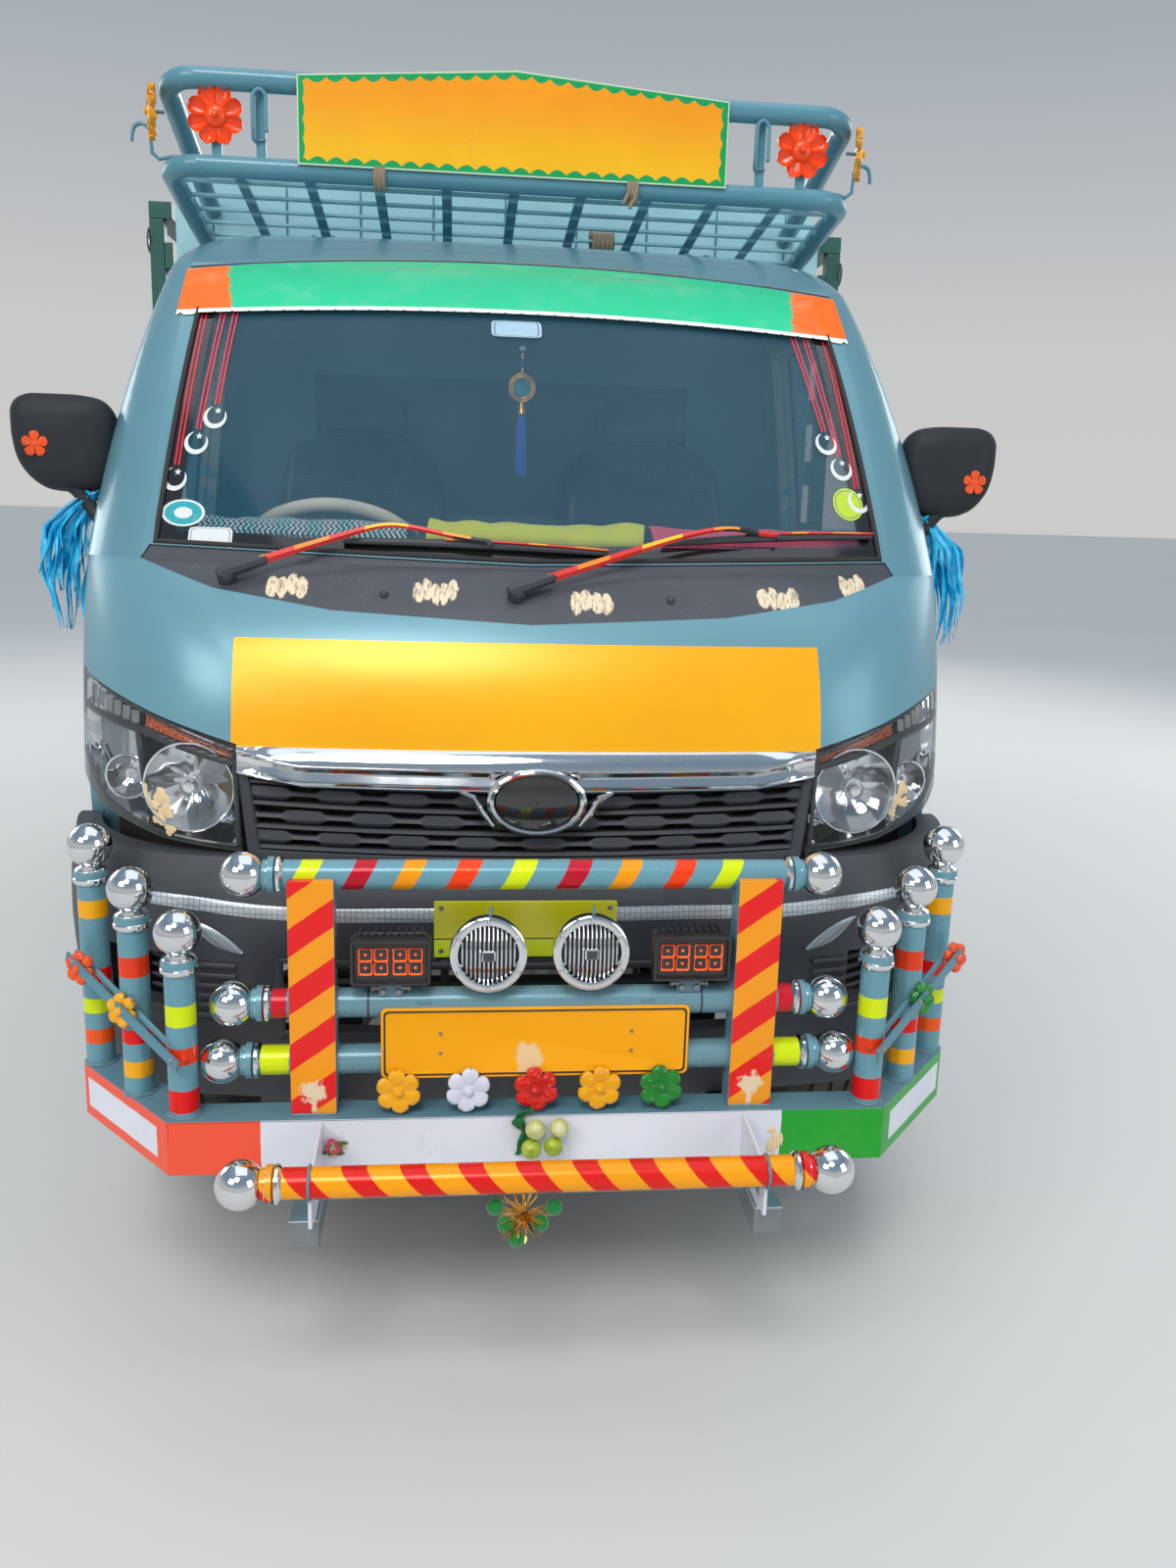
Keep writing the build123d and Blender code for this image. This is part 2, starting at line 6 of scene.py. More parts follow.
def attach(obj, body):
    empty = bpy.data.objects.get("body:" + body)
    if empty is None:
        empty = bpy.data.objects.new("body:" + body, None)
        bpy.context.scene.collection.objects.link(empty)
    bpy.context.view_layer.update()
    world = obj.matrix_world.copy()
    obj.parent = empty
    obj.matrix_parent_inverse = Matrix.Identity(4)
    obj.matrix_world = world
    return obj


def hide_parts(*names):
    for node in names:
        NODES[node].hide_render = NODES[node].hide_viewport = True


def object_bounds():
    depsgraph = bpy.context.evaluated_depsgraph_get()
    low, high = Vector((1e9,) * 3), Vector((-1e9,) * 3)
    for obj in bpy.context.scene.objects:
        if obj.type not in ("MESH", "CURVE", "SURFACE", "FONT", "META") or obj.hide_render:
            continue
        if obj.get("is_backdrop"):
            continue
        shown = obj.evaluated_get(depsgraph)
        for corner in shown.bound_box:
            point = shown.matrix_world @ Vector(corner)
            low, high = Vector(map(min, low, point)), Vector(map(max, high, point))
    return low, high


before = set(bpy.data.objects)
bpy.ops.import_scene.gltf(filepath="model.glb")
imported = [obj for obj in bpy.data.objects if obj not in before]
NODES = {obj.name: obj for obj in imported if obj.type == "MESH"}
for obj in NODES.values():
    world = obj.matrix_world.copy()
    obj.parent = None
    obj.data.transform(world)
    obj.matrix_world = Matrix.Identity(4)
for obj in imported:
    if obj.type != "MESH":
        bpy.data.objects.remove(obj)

# Looks of the decorated pick-up truck.  Lengths in the helpers are millimetres in the
# truck's own drawing frame (y = 0 at the face of the front plate); YS moves them into
# the row frame, in metres.
CAD_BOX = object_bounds()
YS = -2333.0
PI = math.pi


def W(x, y, z):
    return (x / 1000.0, (y + YS) / 1000.0, z / 1000.0)


def srgb(r, g, b, a=1.0):
    f = lambda c: (c / 255 / 12.92) if c / 255 <= 0.04045 else ((c / 255 + 0.055) / 1.055) ** 2.4
    return (f(r), f(g), f(b), a)


# ---------------------------------------------------------------- mesh helpers
def frame_of(d, up=None):
    """Two unit vectors square to d."""
    d = Vector(d).normalized()
    u = Vector(up) if up is not None else (Vector((0, 0, 1)) if abs(d.z) < 0.9 else Vector((1, 0, 0)))
    a = d.cross(u)
    if a.length < 1e-6:
        a = d.cross(Vector((0, 1, 0)))
    a.normalize()
    return a, a.cross(d).normalized() * 1.0


class Geo:
    """Collects vertices (mm, drawing frame) and faces, with a material index for each face."""

    def __init__(s):
        s.v, s.f, s.m, s.mi, s.mat = [], [], [], 0, None

    def use(s, i):
        s.mi = i
        return s

    def at(s, matrix):
        s.mat = matrix
        return s

    def add(s, verts, faces, flip=False):
        n = len(s.v)
        if s.mat is not None:
            verts = [tuple(s.mat @ Vector(v)) for v in verts]
        s.v += [tuple(v) for v in verts]
        for f in faces:
            g = tuple(i + n for i in f)
            s.f.append(g[::-1] if flip else g)
            s.m.append(s.mi)
        return s

    def box(s, x0, x1, y0, y1, z0, z1):
        v = [(x, y, z) for z in (z0, z1) for y in (y0, y1) for x in (x0, x1)]
        return s.add(v, [(0, 2, 3, 1), (4, 5, 7, 6), (0, 1, 5, 4), (2, 6, 7, 3), (0, 4, 6, 2), (1, 3, 7, 5)])

    def rbox(s, x0, x1, y0, y1, z0, z1, r=3.0):
        """Box with chamfered edges."""
        if x1 < x0: x0, x1 = x1, x0
        r = min(r, (x1 - x0) / 2.01, (y1 - y0) / 2.01, (z1 - z0) / 2.01)
        c = [(x0, x1), (y0, y1), (z0, z1)]
        v, idx = [], {}
        for i in (0, 1):
            for j in (0, 1):
                for k in (0, 1):
                    for ax in (0, 1, 2):
                        p = [c[0][i], c[1][j], c[2][k]]
                        for b, q in enumerate((i, j, k)):
                            if b != ax:
                                p[b] += r if q == 0 else -r
                        idx[(i, j, k, ax)] = len(v)
                        v.append(tuple(p))
        f = []
        for ax in (0, 1, 2):
            o = [a for a in (0, 1, 2) if a != ax]
            for q in (0, 1):
                ring = []
                for a, b in ((0, 0), (1, 0), (1, 1), (0, 1)):
                    key = [0, 0, 0]
                    key[ax], key[o[0]], key[o[1]] = q, a, b
                    ring.append(idx[tuple(key) + (ax,)])
                if (q == 0) == (ax != 1):
                    ring = ring[::-1]
                f.append(tuple(ring))
        for ax in (0, 1, 2):
            o = [a for a in (0, 1, 2) if a != ax]
            for a in (0, 1):
                for b in (0, 1):
                    k0, k1 = [0, 0, 0], [0, 0, 0]
                    k0[ax], k1[ax] = 0, 1
                    k0[o[0]] = k1[o[0]] = a
                    k0[o[1]] = k1[o[1]] = b
                    f.append((idx[tuple(k0) + (o[0],)], idx[tuple(k1) + (o[0],)], idx[tuple(k1) + (o[1],)], idx[tuple(k0) + (o[1],)]))
        for i in (0, 1):
            for j in (0, 1):
                for k in (0, 1):
                    f.append((idx[(i, j, k, 0)], idx[(i, j, k, 1)], idx[(i, j, k, 2)]))
        return s.add(v, f)

    def prism(s, pts, axis, a, b):
        """Outline of 2-D points swept along an axis: x takes (y, z), y takes (x, z), z takes (x, y)."""
        def full(p, h):
            return {"x": (h, p[0], p[1]), "y": (p[0], h, p[1]), "z": (p[0], p[1], h)}[axis]
        n = len(pts)
        v = [full(p, a) for p in pts] + [full(p, b) for p in pts]
        f = [tuple(range(n))[::-1], tuple(range(n, 2 * n))]
        f += [(i, (i + 1) % n, n + (i + 1) % n, n + i) for i in range(n)]
        return s.add(v, f)

    def rev(s, prof, n=32, o=(0, 0, 0), d=(0, 0, 1), up=None, a0=0.0, a1=2 * PI):
        """Profile of (radius, height) turned about axis d through o."""
        o, d = Vector(o), Vector(d).normalized()
        p, q = frame_of(d, up)
        whole = abs(a1 - a0 - 2 * PI) < 1e-6
        m = n if whole else n + 1
        v, f, rings = [], [], []
        for r, h in prof:
            if r < 1e-6:
                rings.append([len(v)] * m)
                v.append(tuple(o + d * h))
            else:
                rings.append(list(range(len(v), len(v) + m)))
                for i in range(m):
                    a = a0 + (a1 - a0) * i / n
                    v.append(tuple(o + d * h + (p * math.cos(a) + q * math.sin(a)) * r))
        for k in range(len(rings) - 1):
            A, B = rings[k], rings[k + 1]
            for i in range(n):
                j = (i + 1) % m
                g = [A[i], A[j], B[j], B[i]]
                g = [x for t, x in enumerate(g) if x != g[t - 1]]
                if len(set(g)) >= 3:
                    f.append(tuple(g))
        return s.add(v, f)

    def ball(s, c, r, n=24, m=14, k=1.0):
        prof = [(r * math.sin(PI * i / m), -r * k * math.cos(PI * i / m)) for i in range(m + 1)]
        return s.rev(prof, n, c)

    def rod(s, p, q, r, n=16, r2=None, cap=True):
        p, q = Vector(p), Vector(q)
        L = (q - p).length
        r2 = r if r2 is None else r2
        prof = ([(0, 0)] if cap else []) + [(r, 0), (r2, L)] + ([(0, L)] if cap else [])
        return s.rev(prof, n, p, q - p)

    def tube(s, pts, r, n=10, closed=False, cap=True, flat=1.0, up=None):
        """Tube along points; r may be a list. flat squeezes it along its second direction."""
        P = [Vector(p) for p in pts]
        m = len(P)
        R = r if isinstance(r, (list, tuple)) else [r] * m
        T = []
        for i in range(m):
            a = P[(i - 1) % m] if (closed or i > 0) else P[i]
            b = P[(i + 1) % m] if (closed or i < m - 1) else P[i]
            T.append((b - a).normalized())
        a, b = frame_of(T[0], up)
        v, f = [], []
        for i in range(m):
            a = (a - T[i] * a.dot(T[i]))
            a = a.normalized() if a.length > 1e-6 else frame_of(T[i])[0]
            b = T[i].cross(a)
            for k in range(n):
                t = 2 * PI * k / n
                v.append(tuple(P[i] + (a * math.cos(t) + b * math.sin(t) * flat) * R[i]))
        for i in range(m if closed else m - 1):
            j = (i + 1) % m
            for k in range(n):
                l = (k + 1) % n
                f.append((i * n + k, i * n + l, j * n + l, j * n + k))
        if cap and not closed:
            f.append(tuple(range(n))[::-1])
            f.append(tuple(range((m - 1) * n, m * n)))
        return s.add(v, f)

    def grid(s, rows, flip=False, wrap=False):
        """Faces over a table of rows of points."""
        n = len(rows[0])
        v = [tuple(p) for r in rows for p in r]
        f = []
        for i in range(len(rows) - 1):
            for k in range(n if wrap else n - 1):
                l = (k + 1) % n
                f.append((i * n + k, i * n + l, (i + 1) * n + l, (i + 1) * n + k))
        return s.add(v, f, flip)

    def slab(s, rows, off, wrap=False):
        """A sheet with thickness: rows of points, and the vector function or vector that gives the back side."""
        n, m = len(rows[0]), len(rows)
        o = off if callable(off) else (lambda p, i, k: Vector(off))
        back = [[Vector(p) + o(p, i, k) for k, p in enumerate(r)] for i, r in enumerate(rows)]
        v = [tuple(p) for r in rows for p in r] + [tuple(p) for r in back for p in r]
        N = n * m
        f = []
        for i in range(m - 1):
            for k in range(n - 1):
                a, b, c, d = i * n + k, i * n + k + 1, (i + 1) * n + k + 1, (i + 1) * n + k
                f += [(a, b, c, d), (N + d, N + c, N + b, N + a)]
        for k in range(n - 1):
            f += [(k + 1, k, N + k, N + k + 1), ((m - 1) * n + k, (m - 1) * n + k + 1, N + (m - 1) * n + k + 1, N + (m - 1) * n + k)]
        for i in range(m - 1):
            f += [(i * n, (i + 1) * n, N + (i + 1) * n, N + i * n), ((i + 1) * n + n - 1, i * n + n - 1, N + i * n + n - 1, N + (i + 1) * n + n - 1)]
        return s.add(v, f)

    def make(s, name, mats, body="truck", smooth=35.0, bevel=0.0, seg=2, weld=True, replaces=(), slot=None, fix=True, raw=False):
        me = bpy.data.meshes.new(name)
        pts = s.v if raw else [W(*p) for p in s.v]
        me.from_pydata(pts, [], s.f)
        for m in mats:
            me.materials.append(m)
        me.polygons.foreach_set("material_index", s.m)
        bm = bmesh.new()
        bm.from_mesh(me)
        if weld:
            bmesh.ops.remove_doubles(bm, verts=bm.verts, dist=2e-6)
        if fix:
            bmesh.ops.recalc_face_normals(bm, faces=bm.faces)
        bm.to_mesh(me)
        bm.free()
        me.update()
        ob = bpy.data.objects.new(name, me)
        bpy.context.scene.collection.objects.link(ob)
        me.polygons.foreach_set("use_smooth", [True] * len(me.polygons))
        me.set_sharp_from_angle(angle=math.radians(smooth))
        if bevel:
            b = ob.modifiers.new("edge", "BEVEL")
            b.width, b.segments, b.limit_method, b.angle_limit = bevel / 1000.0, seg, "ANGLE", math.radians(32)
            b.harden_normals = True
            b.miter_outer = "MITER_ARC"
        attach(ob, body)
        if replaces:
            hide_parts(*replaces)
        return ob


def flipx(pts):
    return [(-p[0],) + tuple(p[1:]) for p in pts]


def lerp(a, b, t):
    return a + (b - a) * t


def smoothstep(a, b, x):
    t = min(1.0, max(0.0, (x - a) / (b - a)))
    return t * t * (3 - 2 * t)


def arc3(p, q, r, n):
    """n + 1 points of the arc through three points of a plane."""
    (x1, y1), (x2, y2), (x3, y3) = p, q, r
    d = 2 * (x1 * (y2 - y3) + x2 * (y3 - y1) + x3 * (y1 - y2))
    if abs(d) < 1e-9:
        return [(lerp(x1, x3, i / n), lerp(y1, y3, i / n)) for i in range(n + 1)]
    ux = ((x1 ** 2 + y1 ** 2) * (y2 - y3) + (x2 ** 2 + y2 ** 2) * (y3 - y1) + (x3 ** 2 + y3 ** 2) * (y1 - y2)) / d
    uy = ((x1 ** 2 + y1 ** 2) * (x3 - x2) + (x2 ** 2 + y2 ** 2) * (x1 - x3) + (x3 ** 2 + y3 ** 2) * (x2 - x1)) / d
    R = math.hypot(x1 - ux, y1 - uy)
    a0, am, a1 = (math.atan2(y - uy, x - ux) for x, y in (p, q, r))
    def unwind(a, b):
        while b - a > PI: b -= 2 * PI
        while b - a < -PI: b += 2 * PI
        return b
    am = unwind(a0, am)
    a1 = unwind(am, a1)
    return [(ux + R * math.cos(lerp(a0, a1, i / n)), uy + R * math.sin(lerp(a0, a1, i / n))) for i in range(n + 1)]


# ---------------------------------------------------------------- cab outline, as in the drawing
# columns: z, yf, xc, yc, ys, w, back
LOWER = [(500, 200, 560, 240, 560, 822, 0), (900, 205, 540, 240, 560, 834, 0),
         (1060, 215, 511, 242, 575, 837, 0), (1235, 285, 520, 308, 600, 836, 0),
         (1355, 400, 700, 470, 650, 832, 0)]
GREEN = [(1355, 400, 700, 470, 650, 832, 0), (1820, 850, 695, 890, 985, 778, 0),
         (1955, 1010, 700, 1060, 1150, 757, 0)]
ROOF = [(1955, 1010, 700, 1060, 1150, 757, 0), (2045, 1220, 620, 1262, 1370, 700, 12),
        (2082, 1420, 430, 1450, 1540, 540, 60)]
BUMPER = [(415, 205, 560, 250, 520, 836, 0), (600, 150, 560, 200, 520, 852, 0),
          (800, 150, 560, 205, 525, 856, 0), (868, 185, 540, 225, 530, 848, 0)]


def spline(zs, vs, z):
    """Smooth curve through a few stations (natural cubic), close to the lofted skin."""
    n = len(zs)
    if n == 2:
        return lerp(vs[0], vs[1], (z - zs[0]) / (zs[1] - zs[0]))
    h = [zs[i + 1] - zs[i] for i in range(n - 1)]
    A = np.zeros((n, n)); b = np.zeros(n)
    A[0, 0] = A[-1, -1] = 1
    for i in range(1, n - 1):
        A[i, i - 1], A[i, i], A[i, i + 1] = h[i - 1], 2 * (h[i - 1] + h[i]), h[i]
        b[i] = 3 * ((vs[i + 1] - vs[i]) / h[i] - (vs[i] - vs[i - 1]) / h[i - 1])
    c = np.linalg.solve(A, b)
    i = max(0, min(n - 2, sum(1 for q in zs[1:-1] if z >= q)))
    t = z - zs[i]
    bb = (vs[i + 1] - vs[i]) / h[i] - h[i] * (2 * c[i] + c[i + 1]) / 3
    d = (c[i + 1] - c[i]) / (3 * h[i])
    return vs[i] + bb * t + c[i] * t * t + d * t ** 3


class Skin:
    """Outer skin of a CAD node or nodes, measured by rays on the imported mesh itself."""

    def __init__(s, *names):
        from mathutils.bvhtree import BVHTree
        v, f = [], []
        for n in names:
            me = NODES[n].data
            me.calc_loop_triangles()
            o = len(v)
            v += [tuple(p.co) for p in me.vertices]
            f += [tuple(i + o for i in t.vertices) for t in me.loop_triangles]
        s.t = BVHTree.FromPolygons(v, f)

    def cast(s, p, d):
        hit, nrm, _, _ = s.t.ray_cast(Vector(W(*p)), Vector(d))
        if hit is None:
            return None, None
        nrm = nrm if nrm.dot(Vector(d)) < 0 else -nrm
        return Vector((hit.x * 1000, hit.y * 1000 - YS, hit.z * 1000)), nrm

    def front(s, x, z, y0=-400):
        return s.cast((x, y0, z), (0, 1, 0))

    def side(s, y, z, sx=1):
        return s.cast((sx * 1400, y, z), (-sx, 0, 0))

    def top(s, x, y, z0=2600):
        return s.cast((x, y, z0), (0, 0, -1))
# ---------------------------------------------------------------- materials
class Sh:
    """A small shader writer round one Principled node."""

    def __init__(s, name, **kw):
        s.m = bpy.data.materials.new(name)
        s.m.use_nodes = True
        s.t = s.m.node_tree
        s.t.nodes.clear()
        s.out = s.t.nodes.new("ShaderNodeOutputMaterial")
        s.p = s.t.nodes.new("ShaderNodeBsdfPrincipled")
        s.t.links.new(s.p.outputs[0], s.out.inputs[0])
        s.h = None
        s.set(**kw)

    KEY = {"col": "Base Color", "metal": "Metallic", "rough": "Roughness", "ior": "IOR", "alpha": "Alpha", "normal": "Normal",
           "spec": "Specular IOR Level", "coat": "Coat Weight", "coat_rough": "Coat Roughness", "sheen": "Sheen Weight",
           "sheen_rough": "Sheen Roughness", "trans": "Transmission Weight", "aniso": "Anisotropic", "emit": "Emission Color",
           "emit_s": "Emission Strength", "sss": "Subsurface Weight"}

    def put(s, sock, val):
        if isinstance(val, bpy.types.NodeSocket):
            s.t.links.new(val, sock)
        elif val is not None:
            if sock.type == "RGBA" and hasattr(val, "__len__") and len(val) == 3:
                val = tuple(val) + (1.0,)
            if sock.type == "VECTOR" and not hasattr(val, "__len__"):
                val = (val,) * 3
            sock.default_value = val

    def set(s, **kw):
        for k, v in kw.items():
            s.put(s.p.inputs[s.KEY[k]], v)
        return s

    def node(s, kind, ins=None, **props):
        n = s.t.nodes.new("ShaderNode" + kind)
        for k, v in props.items():
            setattr(n, k, v)
        for k, v in (ins or {}).items():
            s.put(n.inputs[k], v)
        return n

    def obj(s):
        if not hasattr(s, "_o"):
            s._o = s.node("TexCoord").outputs["Object"]
        return s._o

    def xyz(s):
        """Object coordinates as mm of the drawing frame: x, y, z sockets."""
        if not hasattr(s, "_x"):
            n = s.node("SeparateXYZ", {0: s.obj()})
            s._x = (s.mul(n.outputs[0], 1000.0), s.add(s.mul(n.outputs[1], 1000.0), -YS), s.mul(n.outputs[2], 1000.0))
        return s._x

    def scaled(s, k, loc=(0, 0, 0), rot=(0, 0, 0)):
        k = k if hasattr(k, "__len__") else (k,) * 3
        return s.node("Mapping", {"Vector": s.obj(), "Scale": k, "Location": loc, "Rotation": rot}).outputs[0]

    def math(s, op, a, b=None, c=None, clamp=False):
        n = s.node("Math", operation=op, use_clamp=clamp)
        s.put(n.inputs[0], a)
        if b is not None: s.put(n.inputs[1], b)
        if c is not None: s.put(n.inputs[2], c)
        return n.outputs[0]

    def add(s, a, b): return s.math("ADD", a, b)
    def sub(s, a, b): return s.math("SUBTRACT", a, b)
    def mul(s, a, b): return s.math("MULTIPLY", a, b)
    def absv(s, a): return s.math("ABSOLUTE", a)
    def minv(s, a, b): return s.math("MINIMUM", a, b)
    def maxv(s, a, b): return s.math("MAXIMUM", a, b)
    def inv(s, a): return s.math("SUBTRACT", 1.0, a)

    def step(s, x, a, b=None):
        """0 below a and 1 above b, smooth between."""
        b = a + 1e-4 if b is None else b
        n = s.node("MapRange", {"Value": x, "From Min": a, "From Max": b}, interpolation_type="SMOOTHSTEP")
        return n.outputs[0]

    def band(s, x, a, b, e=0.3):
        return s.mul(s.step(x, a - e, a + e), s.inv(s.step(x, b - e, b + e)))

    def mix(s, f, a, b, mode="MIX"):
        n = s.node("Mix", data_type="RGBA", blend_type=mode)
        s.put(n.inputs[0], f)
        s.put(n.inputs[6], a)
        s.put(n.inputs[7], b)
        return n.outputs[2]

    def mixf(s, f, a, b):
        n = s.node("Mix", data_type="FLOAT")
        s.put(n.inputs[0], f)
        s.put(n.inputs[2], a)
        s.put(n.inputs[3], b)
        return n.outputs[0]

    def noise(s, scale, detail=3.0, rough=0.5, vec=None, dist=0.0, out=0):
        return s.node("TexNoise", {"Vector": vec if vec is not None else s.obj(), "Scale": scale, "Detail": detail, "Roughness": rough, "Distortion": dist}).outputs[out]

    def voro(s, scale, vec=None, feature="F1", out=0, rnd=1.0):
        return s.node("TexVoronoi", {"Vector": vec if vec is not None else s.obj(), "Scale": scale, "Randomness": rnd}, feature=feature).outputs[out]

    def wave(s, scale, vec=None, dist=0.0, detail=2.0, kind="BANDS", dirn="X", prof="SIN", dscale=1.0):
        return s.node("TexWave", {"Vector": vec if vec is not None else s.obj(), "Scale": scale, "Distortion": dist, "Detail": detail, "Detail Scale": dscale},
                      wave_type=kind, bands_direction=dirn, wave_profile=prof).outputs[1]

    def ramp(s, fac, stops, mode="LINEAR"):
        n = s.node("ValToRGB", {0: fac})
        r = n.color_ramp
        r.interpolation = mode
        while len(r.elements) > 1:
            r.elements.remove(r.elements[-1])
        r.elements[0].position, r.elements[0].color = stops[0][0], tuple(stops[0][1])[:4] if len(stops[0][1]) == 4 else tuple(stops[0][1]) + (1,)
        for p, c in stops[1:]:
            e = r.elements.new(p)
            e.color = tuple(c) if len(c) == 4 else tuple(c) + (1,)
        return n.outputs[0]

    def stripes(s, x, lo, hi, table, base):
        """Bands of colour along a coordinate in mm: table of (start, end, colour) inside lo..hi, base elsewhere."""
        stops, at = [(0.0, base)], lo
        for a, b, c in table:
            stops.append(((a - lo) / (hi - lo), c))
            stops.append(((b - lo) / (hi - lo), base))
        clean = [stops[0]]
        for p, c in stops[1:]:
            if abs(p - clean[-1][0]) < 1e-5:
                clean[-1] = (clean[-1][0], c)
            else:
                clean.append((p, c))
        n = s.node("MapRange", {"Value": x, "From Min": lo, "From Max": hi})
        return s.ramp(n.outputs[0], clean, "CONSTANT")

    def bump(s, height, strength=0.3, dist=0.001):
        n = s.node("Bump", {"Height": height, "Strength": strength, "Distance": dist})
        if s.h is not None:
            s.put(n.inputs["Normal"], s.h)
        s.h = n.outputs[0]
        s.put(s.p.inputs["Normal"], s.h)
        return s

    def dusty(s, col, amount=0.25, tone=(0.34, 0.28, 0.21), low=900.0):
        """Road dust: patchy, and thicker low down and on faces that look up."""
        x, y, z = s.xyz()
        n = s.ramp(s.noise(2.3, 6, 0.6), [(0.38, (0, 0, 0)), (0.72, (1, 1, 1))])
        fine = s.ramp(s.noise(60.0, 3, 0.6), [(0.3, (0.35,) * 3), (0.7, (1, 1, 1))])
        h = s.add(0.25, s.mul(0.75, s.inv(s.step(z, 0.0, low))))
        up = s.step(s.node("SeparateXYZ", {0: s.node("NewGeometry").outputs["Normal"]}).outputs[2], 0.1, 0.9)
        f = s.mul(s.mul(s.add(s.mul(n, 0.7), s.mul(up, 0.35)), fine), s.mul(h, amount))
        s._dust = s.math("MINIMUM", f, 0.85)
        return s.mix(s._dust, col, tone)


MAT = {}
TEAL = srgb(108, 158, 172)
C = {"lime": srgb(222, 240, 0), "red": srgb(236, 0, 4), "crimson": srgb(196, 6, 40), "amber": srgb(255, 158, 0), "orange": srgb(250, 88, 8),
     "vermilion": srgb(252, 62, 0), "green": srgb(0, 172, 38), "white": srgb(226, 228, 238), "cream": srgb(238, 216, 176), "teal": TEAL,
     "yellow": srgb(252, 206, 0), "signyellow": srgb(255, 178, 0), "signgreen": srgb(0, 168, 84), "stripgreen": srgb(0, 196, 142),
     "black": (0.012, 0.012, 0.013, 1)}


def enamel(name, pattern, rough=0.32, metal=0.0, coat=0.12, wear=0.25, dust=0.25, brush=0.15, base_under=None):
    """Gloss paint: pattern(shader) gives the colour; fine orange peel, scuffs on edges and road dust."""
    s = Sh(name, coat=coat, coat_rough=0.08, spec=0.26)
    col = pattern(s) if callable(pattern) else pattern
    tone = s.noise(7.0, 4, 0.55)
    col = s.mix(0.10, col, s.ramp(tone, [(0.3, (0.25, 0.25, 0.25)), (0.7, (1, 1, 1))]), "MULTIPLY")
    under = base_under or (0.16, 0.17, 0.18)
    geo = s.node("NewGeometry")
    edge = s.step(geo.outputs["Pointiness"], 0.535, 0.62)
    chips = s.ramp(s.noise(90.0, 5, 0.7), [(0.56, (0, 0, 0)), (0.63, (1, 1, 1))])
    rare = s.ramp(s.noise(9.0, 3, 0.6), [(0.60, (0, 0, 0)), (0.70, (1, 1, 1))])
    w = s.mul(s.maxv(s.mul(edge, 0.8), s.mul(s.mul(chips, rare), 0.8)), wear)
    col = s.mix(w, col, under)
    col = s.dusty(col, dust)
    s.set(col=col, metal=metal, rough=s.math("ADD", rough, s.add(s.mul(s._dust, 0.5), s.mul(s.noise(25.0, 4, 0.6), 0.10)), clamp=True))
    s.bump(s.noise(170.0, 2, 0.5), 0.10, 0.0006)
    if brush:
        s.bump(s.noise(1.0, 3, 0.5, vec=s.scaled((30, 30, 260))), brush, 0.0005)
    return s.m


def body_paint(name, tint=TEAL, pattern=None, dust=0.25, metal=0.3, coat=0.45, coat_rough=0.09):
    s = Sh(name, coat=coat, coat_rough=coat_rough, spec=0.35)
    flake = s.voro(2600.0, out=1)
    base = s.mix(0.14, tint, flake, "OVERLAY")
    base = s.mix(s.noise(1.6, 3, 0.5), base, tuple(c * 0.86 for c in tint[:3]))
    if pattern:
        base = pattern(s, base)
    base = s.dusty(base, dust)
    s.set(col=base, metal=metal, rough=s.math("ADD", 0.30, s.mul(s._dust, 0.6), clamp=True))
    s.bump(s.noise(140.0, 2, 0.5), 0.05, 0.0006)
    s.bump(s.noise(2.2, 2, 0.4), 0.10, 0.004)
    return s.m


def plastic(name, col=(0.036, 0.041, 0.049), rough=0.52, grain=900.0, dust=0.35, splat=False, gloss=0.0):
    s = Sh(name, coat=gloss, coat_rough=0.15, spec=0.4)
    base = s.mix(s.noise(4.0, 4, 0.6), col, tuple(c * 1.5 for c in col))
    fade = s.ramp(s.noise(1.5, 4, 0.6), [(0.45, (0, 0, 0)), (0.75, (1, 1, 1))])
    base = s.mix(s.mul(fade, 0.25), base, tuple(min(1, c * 2.4 + 0.01) for c in col))
    if splat:
        base = splat(s, base)
    base = s.dusty(base, dust)
    s.set(col=base, rough=s.math("ADD", rough, s.mul(s._dust, 0.35), clamp=True))
    s.bump(s.voro(grain, feature="SMOOTH_F1"), 0.16, 0.0005)
    return s.m


def chrome(name="chrome_bright", tone=(0.78, 0.79, 0.80), rough=0.055, rust=0.3):
    s = Sh(name)
    pits = s.ramp(s.noise(120.0, 4, 0.7), [(0.62, (0, 0, 0)), (0.70, (1, 1, 1))])
    patch = s.ramp(s.noise(11.0, 3, 0.6), [(0.52, (0, 0, 0)), (0.66, (1, 1, 1))])
    f = s.mul(s.mul(pits, patch), rust)
    film = s.ramp(s.noise(6.0, 4, 0.6), [(0.35, (0, 0, 0)), (0.75, (1, 1, 1))])
    col = s.mix(f, s.mix(s.mul(film, 0.16), tone, (0.45, 0.43, 0.40)), (0.20, 0.09, 0.04))
    s.set(col=col, metal=s.math("SUBTRACT", 1.0, f, clamp=True), rough=s.math("ADD", rough, s.add(s.mul(film, 0.07), s.mul(f, 0.5)), clamp=True))
    s.bump(s.noise(1.0, 3, 0.5, vec=s.scaled((400, 30, 400))), 0.03, 0.0004)
    return s.m


